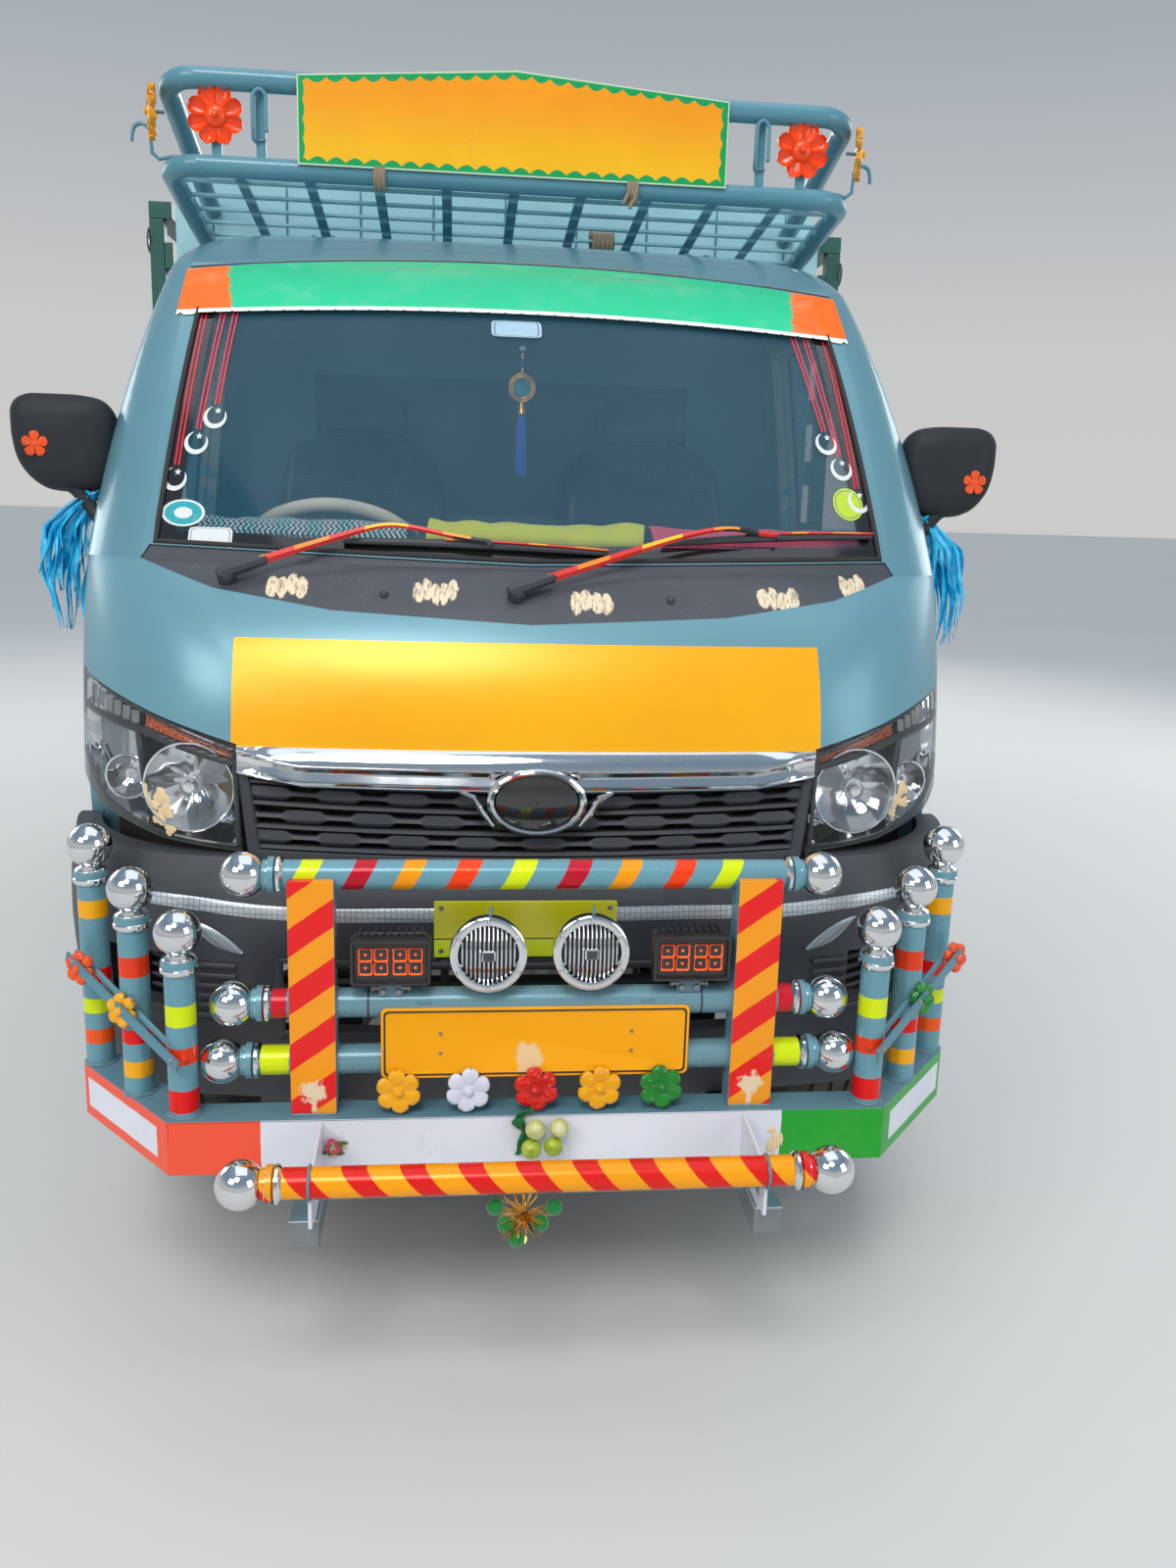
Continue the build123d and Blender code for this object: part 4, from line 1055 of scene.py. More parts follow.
def paint_bands(name, axis, lo, hi, table, base, slant=0.0, rough=0.26, by=None, chips=0.4):
    """Enamel in hand-painted bands along one axis; slant is mm of shift per mm across."""
    def pat(s):
        x, y, z = s.xyz()
        main = {"x": x, "y": y, "z": z}[axis]
        wob = s.mul(s.sub(s.noise(45.0, 3, 0.5), 0.5), 2.4)
        v = s.add(main, wob)
        if slant:
            v = s.add(v, s.mul(z if axis != "z" else x, slant))
        return s.stripes(v, lo, hi, table, base)
    return enamel(name, pat, rough=rough, wear=chips, metal=0.0)


def node_mats():
    M = MAT
    M["chrome"] = chrome()
    M["black_plastic"] = plastic("plastic_dark")
    M["grey_plastic"] = plastic("plastic_grey", (0.055, 0.058, 0.062), rough=0.48, grain=1100.0, dust=0.3)
    M["chassis"] = metal_dark("chassis_black")
    M["cast"] = cast()
    M["bare"] = cast("steel_worn", (0.30, 0.30, 0.31))
    M["rubber"] = rubber("rubber_black", dust=0.3)
    M["tyre"] = rubber()
    M["body"] = body_paint("body_teal")
    M["rack_teal"] = enamel("rack_teal", srgb(88, 142, 160), rough=0.28, wear=0.5, dust=0.15, metal=0.15)
    # the next material is a lit copy of the rack teal: painted sunlight
    M["rack_sunlit_copy"] = enamel("rack_sunlit_copy", srgb(150, 196, 204), rough=0.4, wear=0.5, dust=0.2)
    M["rack_dark"] = enamel("rack_dark", srgb(24, 62, 84), rough=0.4, wear=0.5, dust=0.2)
    M["board_teal"] = enamel("board_teal", srgb(168, 206, 210), rough=0.45, wear=0.6, dust=0.35)
    M["deck"] = metal_dark("deck_steel", (0.055, 0.075, 0.085), rough=0.5, rust=0.6, dust=0.55)
    M["body_green"] = enamel("load_green", srgb(20, 92, 82), rough=0.36, wear=0.6, dust=0.3)
    M["body_teal2"] = enamel("load_teal", srgb(82, 138, 154), rough=0.34, wear=0.6, dust=0.35)
    M["underside"] = metal_dark("underside_black", (0.018, 0.019, 0.02), rough=0.7, rust=0.15, dust=0.7)

    # front guard: girder in three colours, white panels on the angled ends
    def girder(s):
        x, y, z = s.xyz()
        wob = s.mul(s.sub(s.noise(30.0, 3, 0.5), 0.5), 3.0)
        xx = s.add(x, wob)
        zone = s.mix(s.step(xx, 409, 410.5), s.mix(s.step(xx, -440.5, -439), srgb(250, 82, 50), C["white"]), srgb(0, 160, 36))
        ends = s.mul(s.step(s.absv(xx), 606, 607.5), s.mul(s.inv(s.step(s.absv(xx), 762, 763.5)), s.band(s.add(z, wob), 427, 480, 0.8)))
        c = s.mix(ends, zone, C["white"])
        top = s.step(s.node("SeparateXYZ", {0: s.node("NewGeometry").outputs["Normal"]}).outputs[2], 0.6, 0.8)
        c = s.mix(top, c, srgb(96, 140, 156))
        mid = s.mul(s.band(s.absv(x), 380, 420, 1), 0.0)
        grey = s.maxv(s.inv(s.step(z, 404, 406)), s.step(y, 46, 60))
        c = s.mix(s.mul(grey, s.inv(s.step(s.absv(x), 575, 600))), c, srgb(70, 84, 92))
        gus = s.mul(s.band(s.absv(x), 340.5, 349.5, 0.3), s.inv(s.step(y, -24.0, -23.0)))
        c = s.mix(gus, c, C["white"])
        stub = s.mul(s.mul(s.band(s.absv(x), 330, 385, 1), s.inv(s.step(z, 404, 408))), s.inv(s.step(y, 600, 601)))
        c = s.mix(stub, c, srgb(120, 128, 132))
        spk = s.ramp(s.voro(210.0), [(0.03, (1, 1, 1)), (0.075, (0, 0, 0))])
        rare = s.ramp(s.noise(60.0, 2, 0.5), [(0.58, (0, 0, 0)), (0.62, (1, 1, 1))])
        return s.mix(s.mul(spk, rare), c, (0.05, 0.035, 0.03))
    M["girder"] = enamel("girder_paint", girder, rough=0.3, wear=0.35, dust=0.30)

    def upright(s):
        x, y, z = s.xyz()
        wob = s.mul(s.sub(s.noise(40.0, 3, 0.5), 0.5), 3.0)
        v = s.add(s.sub(z, s.mul(x, 0.72)), wob)
        m = s.math("FLOORED_MODULO", s.math("ADD", v, 6.0), 96.0)
        c = s.mix(s.mul(s.step(m, 0.0, 1.2), s.inv(s.step(m, 46.0, 47.2))), C["amber"], srgb(238, 10, 8))
        side = s.step(s.absv(s.node("SeparateXYZ", {0: s.node("NewGeometry").outputs["Normal"]}).outputs[0]), 0.6, 0.8)
        c = s.mix(side, c, TEAL)
        # dried cream paste, a palm print with drips near the foot
        ax = s.absv(x)
        dx, dz = s.mul(s.sub(ax, 357.0), 1 / 26.0), s.mul(s.sub(z, 541.0), 1 / 24.0)
        r = s.math("SQRT", s.add(s.mul(dx, dx), s.mul(dz, dz)))
        ragged = s.add(r, s.mul(s.sub(s.noise(95.0, 5, 0.65), 0.5), 1.9))
        palm = s.inv(s.step(ragged, 0.62, 0.86))
        drip = s.mul(s.mul(s.band(s.add(ax, s.mul(s.noise(60.0, 2, 0.5), 7.0)), 356, 364, 1.2), s.band(z, 506, 545, 3)), s.step(s.noise(70.0, 2, 0.5), 0.36, 0.44))
        front = s.inv(s.step(y, -4.0, -3.0))
        s._paste = s.mul(s.maxv(palm, drip), front)
        return s.mix(s._paste, c, srgb(240, 216, 178))
    M["upright"] = enamel("upright_chevron", upright, rough=0.26, wear=0.3, dust=0.08)

    # cross tubes: top one with slanted bands on teal, lowest one orange with red bands
    def tubes(s):
        x, y, z = s.xyz()
        wob = s.mul(s.sub(s.noise(50.0, 3, 0.5), 0.5), 2.0)
        top = s.step(z, 800, 801)
        v = s.add(s.add(x, wob), s.mul(s.sub(z, 892.0), -0.55))
        cols = [("lime", -372), ("crimson", -288), ("amber", -210), ("vermilion", -124), ("lime", -36), ("crimson", 52), ("amber", 136), ("vermilion", 222), ("lime", 300)]
        tab = [(a - 16, a + 18, C[k]) for k, a in cols]
        c1 = s.stripes(v, -470, 470, tab, TEAL)
        low = s.inv(s.step(z, 530, 531))
        v2 = s.add(s.add(x, wob), s.mul(s.sub(z, 482.0), 0.9))
        m = s.math("FLOORED_MODULO", s.math("ADD", v2, 20.0), 86.0)
        c2 = s.mix(s.mul(s.step(m, 0.0, 1.2), s.inv(s.step(m, 38.0, 39.2))), srgb(255, 164, 6), srgb(228, 22, 14))
        c2 = s.mix(s.inv(s.step(s.add(z, wob), 466, 468)), c2, srgb(96, 112, 120))
        ax = s.absv(s.add(x, wob))
        two = s.band(z, 640, 730, 1)
        c3 = s.mix(s.band(ax, 398, 436, 0.6), TEAL, srgb(214, 14, 40))
        c4 = s.mix(s.band(ax, 396, 452, 0.6), TEAL, C["lime"])
        c = s.mix(top, s.mix(low, s.mix(two, c4, c3), c2), c1)
        ring = s.mul(two, s.band(s.absv(x), 268, 272, 0.5))
        c = s.mix(ring, c, (0.03, 0.04, 0.05))
        return c
    M["tubes"] = enamel("tube_bands", tubes, rough=0.22, wear=0.35, dust=0.1, metal=0.12)

    # posts, top to bottom: outer, middle and inner pattern
    T, X = TEAL, C
    outer = [(500, 540, T), (540, 566, X["orange"]), (566, 596, T), (596, 622, X["lime"]), (622, 650, T), (650, 676, X["red"]), (676, 766, T), (766, 798, srgb(255, 176, 0)), (798, 900, T)]
    mid = [(500, 532, T), (532, 560, srgb(255, 178, 0)), (560, 590, T), (590, 616, X["red"]), (616, 706, T), (706, 740, srgb(240, 60, 20)), (740, 900, T)]
    inner = [(500, 508, T), (508, 546, X["red"]), (546, 590, T), (590, 618, srgb(240, 60, 20)), (618, 654, T), (654, 690, X["lime"]), (690, 900, T)]

    def posts(s):
        x, y, z = s.xyz()
        wob = s.mul(s.sub(s.noise(50.0, 3, 0.5), 0.5), 2.4)
        zz = s.add(z, wob)
        a = s.stripes(zz, 480, 900, outer, T)
        b = s.stripes(zz, 480, 900, mid, T)
        c = s.stripes(zz, 480, 900, inner, T)
        ax = s.absv(x)
        return s.mix(s.step(ax, 608, 609), c, s.mix(s.step(ax, 699, 700), b, a))
    M["posts"] = enamel("post_bands", posts, rough=0.22, wear=0.35, dust=0.1, metal=0.1)


node_mats()

def inner_face(c, n):
    """1 for the faces that look into the cab, 0 for the painted outside."""
    to = Vector((-c[0], 1250.0 - c[1], 1500.0 - c[2])).normalized()
    ins = abs(c[0]) < 790 and 540 < c[1] < 1812 and c[2] > 860
    return 1 if ins and to.dot(n) > 0.25 else 0


MAT["trim"] = plastic("trim_pale", srgb(134, 146, 140)[:3], rough=0.6, grain=260.0, dust=0.2)
give(["front_panel", "cab_shell", "door_left", "door_right"], [MAT["body"], MAT["trim"]], pick=inner_face)
give("roof_panel", [MAT["body"], MAT["trim"]], pick=lambda c, n: 1 if n.z < -0.3 and abs(c[0]) < 740 and c[1] > 1080 else 0)
give("cowl_panel", MAT["grey_plastic"])
give("bumper", MAT["black_plastic"])
give(["mirror_left", "mirror_right"], MAT["grey_plastic"])
give("cab_floor", MAT["underside"])
give("dashboard", MAT["black_plastic"])
give("steering_column", MAT["black_plastic"])
give(["chassis_frame", "front_axle", "rear_axle"], MAT["chassis"], 2.0, 2)
give(["engine_block", "exhaust"], MAT["cast"])
give(["knuckle_left", "knuckle_right"], MAT["cast"], 1.0, 1)
give("side_tanks", MAT["chassis"])
give("load_floor", MAT["deck"], 1.5, 2)
give("side_walls", MAT["body_green"], 3.0, 2)
give("tailgate", MAT["body_teal2"], 2.0, 2)


def headboard_sunlit_front(s):
    x, y, z = s.xyz()
    ny = s.node("SeparateXYZ", {0: s.node("NewGeometry").outputs["Normal"]}).outputs[1]
    # faces that look forward above z 2060 get a pale lit copy of the headboard teal: painted sunlight on the front; the
    # other faces keep the darker teal
    front = s.mul(s.step(ny, -0.4, -0.6), s.step(z, 2060.0, 2062.0))
    c = s.mix(s.noise(3.0, 4, 0.6), srgb(82, 138, 154), srgb(70, 124, 142))
    c = s.mix(front, c, s.mix(s.noise(5.0, 5, 0.6), srgb(176, 220, 226), srgb(146, 196, 206)))
    seam = s.mul(front, s.inv(s.step(s.absv(s.sub(s.math("FLOORED_MODULO", s.add(x, 300.0), 600.0), 300.0)), 1.2, 2.2)))
    return s.mix(seam, c, srgb(70, 110, 120))


give("headboard", enamel("headboard_paint", headboard_sunlit_front, rough=0.36, wear=0.6, dust=0.2), 2.0, 2)
give("mudguards", MAT["rubber"])
give("crown_rack", MAT["rack_teal"])
give("sign_board", MAT["rack_teal"], 1.0, 1)
give("guard_girder", MAT["girder"], 2.2, 2)
give("guard_uprights", MAT["upright"], 2.2, 3)
give("guard_tubes", [MAT["tubes"], MAT["chrome"]], pick=lambda c, n: 0)
give("guard_posts", [MAT["posts"], MAT["chrome"]], pick=lambda c, n: 0)
give("number_plates", MAT["rack_teal"], 1.0, 1)
MAT["glass"] = clear("glass_dark", (0.018, 0.028, 0.034), alpha=0.42, rough=0.015, dirt=0.18)
give(["cab_glass", "door_glass_left", "door_glass_right"], MAT["glass"])
# ---------------------------------------------------------------- guard: collars, balls, welds, flowers
def finial(g, o, d, r_tube=24.0):
    """Chrome end piece over a ball of radius 36: two stepped rings, neck and ball. o is the ball's centre, d points to it."""
    d = Vector(d).normalized()
    o = Vector(o)
    prof = [(r_tube + 0.2, -62), (r_tube + 3.0, -60), (r_tube + 5.6, -57), (r_tube + 5.6, -52), (r_tube + 3.0, -49.5), (r_tube + 0.5, -48.5), (r_tube - 1.5, -46),
            (r_tube - 1.0, -43.5), (r_tube + 2.2, -41.5), (r_tube + 3.0, -39), (r_tube + 1.0, -36.4), (18.5, -34.6), (15.8, -33.0), (17.0, -31.9)]
    g.rev(prof, 36, o, d)
    n = 18
    a0 = math.asin(16.5 / 36.8)
    ball = [(36.8 * math.sin(a0 + (PI - a0) * i / n), -36.8 * math.cos(a0 + (PI - a0) * i / n)) for i in range(n + 1)]
    g.rev(ball, 40, o, d)
    # small vent plug on the far side
    g.rev([(0, 37.6), (2.0, 37.4), (2.6, 36.6), (2.6, 35.5)], 12, o, d)


def guard_bits():
    g = Geo()
    for bx, y, z in ((463, 34, 892), (484, 24, 681), (503, 24, 584), (446, -185, 482)):
        for sx in (1, -1):
            finial(g, (sx * bx, y, z), (sx, 0, 0))
    for x, y, zt in ((563, 12, 747), (652, 96, 792), (745, 216, 832)):
        for sx in (1, -1):
            o = Vector((sx * x, y, zt + 58))
            g.rev([(24.3, -66), (27.5, -64.5), (29.6, -61), (29.6, -56), (27.2, -53), (24.0, -51.5), (22.0, -49), (22.6, -46.5), (25.6, -44), (26.0, -41.0), (23.5, -38.6), (18, -36.2), (15.6, -33.6), (17.0, -31.9)], 36, o, (0, 0, 1))
            n, a0 = 18, math.asin(16.5 / 36.8)
            g.rev([(36.8 * math.sin(a0 + (PI - a0) * i / n), -36.8 * math.cos(a0 + (PI - a0) * i / n)) for i in range(n + 1)], 40, o, (0, 0, 1))
    g.make("guard_finials", [MAT["chrome"]], smooth=30, slot="chrome")

    # weld beads where tubes and posts meet the plates
    rnd = random.Random(3)
    g = Geo()

    def bead(o, d, r, w=3.2, n=34):
        d = Vector(d).normalized()
        a, b = frame_of(d)
        pts, rad = [], []
        for i in range(n):
            t = 2 * PI * i / n
            pts.append(tuple(Vector(o) + (a * math.cos(t) + b * math.sin(t)) * (r + rnd.uniform(-0.4, 0.8)) + d * rnd.uniform(-0.8, 0.8)))
            rad.append(w * rnd.uniform(0.75, 1.25))
        g.tube(pts, rad, 7, closed=True)

    for x, y, zt in ((563, 12, 747), (652, 96, 792), (745, 216, 832)):
        for sx in (1, -1):
            bead((sx * x, y, 501.0), (0, 0, 1), 24.8)
    for bx, y, z in ((484, 24, 681), (503, 24, 584)):
        for sx in (1, -1):
            bead((sx * 393.6, y, z), (1, 0, 0), 24.6, 2.6)
            bead((sx * 320.4, y, z), (1, 0, 0), 24.6, 2.6)
    for sx in (1, -1):
        bead((sx * 345, -185, 482), (1, 0, 0), 25.0, 2.4)
        pts = [(sx * x, -7.0 + rnd.uniform(-.5, .5), 501.5 + rnd.uniform(-.6, .6)) for x in np.linspace(322, 392, 18)]
        g.tube(pts, [rnd.uniform(2.0, 3.4) for _ in pts], 7)
        pts = [(sx * 349.5, y, lerp(470, 413, t) + rnd.uniform(-.6, .6)) for t, y in ((i / 16, lerp(-160, -24, i / 16)) for i in range(17))]
    weld = enamel("weld_teal", srgb(98, 142, 156), rough=0.35, wear=0.6)
    g.make("guard_welds", [weld], smooth=60)

    # diagonal flat straps over the posts, with rivets
    g = Geo()
    for sx in (1, -1):
        P, Q = Vector((sx * 767, 186 - 13, 712)), Vector((sx * 552, -14 - 12, 600))
        d = (Q - P).normalized()
        out = Vector((sx * 0.66, -0.75, 0)).normalized()
        out = (out - d * out.dot(d)).normalized()
        w = d.cross(out).normalized() * 9.5
        off = out * 3.0
        a, b = P + out * 16, Q + out * 14
        n = 14
        rows = [[lerp(a, b, i / n) - w, lerp(a, b, i / n) - w * 0.5 + out * 0.4, lerp(a, b, i / n) + w * 0.5 + out * 0.4, lerp(a, b, i / n) + w] for i in range(n + 1)]
        g.use(0).slab(rows, tuple(-off))
        g.use(1)
        for t in (0.06, 0.52, 0.94):
            c = lerp(a, b, t)
            g.rev([(0, 3.0), (3.0, 2.4), (4.6, 0.8), (4.8, 0)], 14, c, out)
    g.make("guard_straps", [MAT["rack_teal"], MAT["bare"]], smooth=40)


def flower_mat(name, col, dark, light=None):
    s = Sh(name, coat=0.4, coat_rough=0.1, spec=0.3)
    n = s.noise(22.0, 4, 0.6)
    c = s.mix(n, col, dark)
    c = s.mix(s.mul(s.ramp(s.noise(160.0, 3, 0.6), [(0.60, (0, 0, 0)), (0.68, (1, 1, 1))]), 0.25), c, light or (0.8, 0.8, 0.75))
    c = s.dusty(c, 0.12)
    s.set(col=c, rough=0.28)
    s.bump(s.noise(120.0, 3, 0.5), 0.15, 0.0012)
    return s.m


def petals(g, o, n_dir, R, count, r0, lift, cup, thick, width, up=(0, 0, 1), notch=0.0, groove=0.6, tilt0=0.0, droop=0.0):
    """Ring of solid petals round o facing n_dir."""
    N = Vector(n_dir).normalized()
    U = Vector(up)
    U = (U - N * U.dot(N)).normalized()
    V = N.cross(U)
    o = Vector(o)
    for k in range(count):
        a = 2 * PI * k / count + tilt0
        d = U * math.cos(a) + V * math.sin(a)
        e = N.cross(d)
        rows, nr, nc = [], 12, 9
        for i in range(nr + 1):
            t = i / nr
            r = r0 + (R - r0) * t
            w = width * (0.42 + 0.58 * smoothstep(0.0, 0.62, t)) * max(0.10, math.sqrt(max(0.0, 1.0 - (max(0.0, t - 0.66) / 0.345) ** 2)))
            row = []
            for j in range(nc):
                u = j / (nc - 1) * 2 - 1
                rr = r - notch * (1 - abs(u)) ** 2 * (1 if i == nr else t ** 6) * R * 0.12
                h = lift * math.sin(PI * t * 0.9) + cup * (u * u - 0.4) * (0.3 + t) - groove * math.exp(-(u * 5.0) ** 2) * math.sin(PI * min(1, t * 1.1)) - groove * 0.6 * (math.exp(-((u - 0.5) * 7) ** 2) + math.exp(-((u + 0.5) * 7) ** 2)) * math.sin(PI * t) - droop * t * t
                row.append(o + d * rr + e * (w * u) + N * h)
            rows.append(row)
        g.slab(rows, tuple(N * -thick))


def guard_flowers():
    F = {k: flower_mat("flower_" + k, *v) for k, v in {
        "yellow": (srgb(255, 190, 0), srgb(222, 140, 0)), "white": (srgb(236, 238, 248), srgb(190, 194, 212)), "red": (srgb(240, 34, 14), srgb(170, 10, 6)),
        "green": (srgb(20, 150, 44), srgb(6, 98, 30)), "orange": (srgb(255, 96, 20), srgb(206, 52, 6))}.items()}
    MAT.update({"flower_" + k: v for k, v in F.items()})

    def guard_flower(name, o, n_dir, key, R=31.0, up=(0, 0, 1), t0=0.0, six=6):
        g = Geo()
        petals(g, o, n_dir, R, six, 6.0, 4.2, -3.6, 3.2, R * 0.36, up=up, groove=1.5, tilt0=t0, notch=0.6)
        N = Vector(n_dir).normalized()
        g.rev([(0, 10.6), (3.4, 10.0), (6.0, 8.0), (7.4, 5.0), (7.6, 2.0), (9.4, 1.2), (9.8, -2.5), (0, -3.0)], 24, o, N)
        for i in range(8):
            a = 2 * PI * i / 8
            p, q = frame_of(N)
            c = Vector(o) + (p * math.cos(a) + q * math.sin(a)) * 5.4 + N * 8.2
            g.ball(c, 1.5, 8, 6)
        # stem plate behind
        g.rev([(5.0, -3.0), (5.0, -9.0), (0, -9.0)], 14, o, N)
        g.make(name, [F[key]], smooth=50)

    for i, (x, z, k) in enumerate(((-222, 541, "yellow"), (-110, 541, "white"), (0, 541, "red"), (104, 541, "yellow"), (206, 541, "green"))):
        guard_flower("guard_flower_%d" % (i + 1), (x, -12, z), (0, -1, 0.06), k, R=37.0, t0=0.12 * (-1) ** i)
    # small rods that carry them above the girder
    g = Geo()
    for x in (-222, -110, 0, 104, 206):
        g.rod((x, -3, 498), (x, -3, 541), 4.0, 12)
    g.make("guard_flower_stems", [MAT["rack_teal"]], smooth=40)
    for sx, items in ((-1, (((745, 216), "orange", 0.13), ((652, 96), "yellow", 0.52))), (1, (((745, 216), "orange", 0.10), ((652, 96), "green", 0.50)))):
        P, Q = Vector((sx * 767, 186, 712)), Vector((sx * 552, -14, 600))
        for j, (_, k, t) in enumerate(items):
            c = lerp(P, Q, t) + Vector((sx * 0.66, -0.75, 0.0)) * 20
            guard_flower("post_flower_%s_%d" % ("l" if sx > 0 else "r", j + 1), tuple(c), (sx * 0.45, -0.88, 0.1), k, R=29.0, t0=0.2)


guard_bits()
guard_flowers()
# ---------------------------------------------------------------- face: panel, bar, grille, lamps, bumper
NOSE = Skin("front_panel", "headlamps", "grille", "cowl_panel", "cab_shell", "door_left", "door_right")
BUMP = Skin("bumper")


def sk_arc(row, x):
    """y of the drawing's front outline at x (mm) for one plan section."""
    yf, xc, yc, ys, w, b = row
    x = abs(x)
    if x <= xc:
        s = yc - yf
        R = (xc * xc + s * s) / (2 * s)
        return yf + R - math.sqrt(max(0.0, R * R - x * x))
    mx, my = xc + 0.68 * (w - xc), yc + 0.32 * (ys - yc)
    (x1, y1), (x2, y2), (x3, y3) = (xc, yc), (mx, my), (w, ys)
    A = np.array([[x2 - x1, y2 - y1], [x3 - x1, y3 - y1]])
    B = np.array([(x2 * x2 - x1 * x1 + y2 * y2 - y1 * y1) / 2, (x3 * x3 - x1 * x1 + y3 * y3 - y1 * y1) / 2])
    c = np.linalg.solve(A, B)
    R = math.hypot(x1 - c[0], y1 - c[1])
    d = R * R - (x - c[0]) ** 2
    return c[1] - math.sqrt(max(0.0, d))


def section_at(rows, z):
    zs = [r[0] for r in rows]
    return [float(np.interp(z, zs, [r[i] for r in rows])) for i in range(1, 7)]


def face_y(x, z):
    """y of the cab's outer skin in front view, from the drawing."""
    return sk_arc(section_at(LOWER if z < 1355 else GREEN, z), x)


def on_nose(x, z, off=0.0, skin=None, d=2.0):
    p, n = (skin or NOSE).front(x, z)
    if p is None:
        y = face_y(x, z)
        return Vector((x, y - off, z)), Vector((0, -1, 0))
    return p + n * off, n


def decal(name, outline_rows, mat, off=0.7, skin=None, thick=0.0, body="truck", smooth_passes=0, slot=None):
    """Thin film over a skin: rows of (x, z) points in front view."""
    g = Geo()
    rows = [[on_nose(x, z, off, skin)[0] for x, z in r] for r in outline_rows]
    g.grid(rows)
    ob = g.make(name, [mat], body=body, smooth=60, fix=True, slot=slot)
    return ob


def panel_pattern(s, base):
    x, y, z = s.xyz()
    wob = s.mul(s.sub(s.noise(14.0, 3, 0.5), 0.5), 2.0)
    inside = s.mul(s.inv(s.step(s.absv(s.add(x, wob)), 511.4, 512.4)), s.inv(s.step(s.add(z, s.mul(wob, 0.6)), 1233.5, 1234.6)))
    grime = s.ramp(s.noise(3.0, 4, 0.6), [(0.35, (0, 0, 0)), (0.75, (1, 1, 1))])
    yel = s.mix(s.mul(grime, 0.35), srgb(255, 182, 0), srgb(238, 150, 0))
    s._panel = inside
    return s.mix(inside, base, yel)


def speck_pattern(s, base):
    """Cream splashes on the corners of the nose."""
    x, y, z = s.xyz()
    v = s.ramp(s.voro(230.0), [(0.02, (1, 1, 1)), (0.10, (0, 0, 0))])
    zone = s.mul(s.step(s.absv(x), 500, 640), s.mul(s.step(z, 1240, 1300), s.ramp(s.noise(16.0, 3, 0.6), [(0.48, (0, 0, 0)), (0.60, (1, 1, 1))])))
    return s.mix(s.mul(v, zone), panel_pattern(s, base), srgb(236, 224, 196))


MAT["nose"] = body_paint("body_nose", pattern=speck_pattern, metal=0.15, coat=0.12, coat_rough=0.2)
give("front_panel", MAT["nose"])


def cowl_splat(s, base):
    """Cream paste dabbed on with the fingers, a few strokes side by side, and small splashes round it."""
    x, y, z = s.xyz()
    wx = s.mul(s.sub(s.noise(70.0, 3, 0.5), 0.5), 9.0)
    wz = s.mul(s.sub(s.noise(55.0, 3, 0.5, dist=0.5), 0.5), 16.0)
    f = None
    for cx, cz, half, n in ((-430, 1318, 34, 4), (-170, 1314, 38, 5), (106, 1303, 36, 4), (453, 1312, 38, 4), (606, 1336, 24, 3)):
        for k in range(n):
            ox = cx + half * (2 * (k + 0.5) / n - 1)
            oz = cz + 4.0 * math.sin(2.1 * k + cx)
            dx, dz = s.mul(s.sub(s.add(x, wx), ox), n / (half * 1.40)), s.mul(s.sub(s.add(z, wz), oz), 1 / 19.0)
            r = s.math("SQRT", s.add(s.mul(dx, dx), s.mul(dz, dz)))
            m = s.inv(s.step(r, 0.80, 0.98))
            f = m if f is None else s.maxv(f, m)
    thin = s.ramp(s.noise(1.0, 4, 0.6, vec=s.scaled((260, 60, 30))), [(0.34, (0.25, 0.25, 0.25)), (0.5, (1, 1, 1))])
    f = s.mul(f, thin)
    spots = s.mul(s.ramp(s.voro(230.0), [(0.05, (1, 1, 1)), (0.16, (0, 0, 0))]), s.ramp(s.noise(13.0, 3, 0.6), [(0.53, (0, 0, 0)), (0.62, (1, 1, 1))]))
    return s.mix(s.maxv(f, s.mul(spots, 0.8)), base, srgb(238, 218, 184))


MAT["cowl"] = plastic("plastic_cowl", (0.038, 0.043, 0.054), rough=0.42, grain=700.0, dust=0.22, splat=cowl_splat, gloss=0.25)
give("cowl_panel", MAT["cowl"])


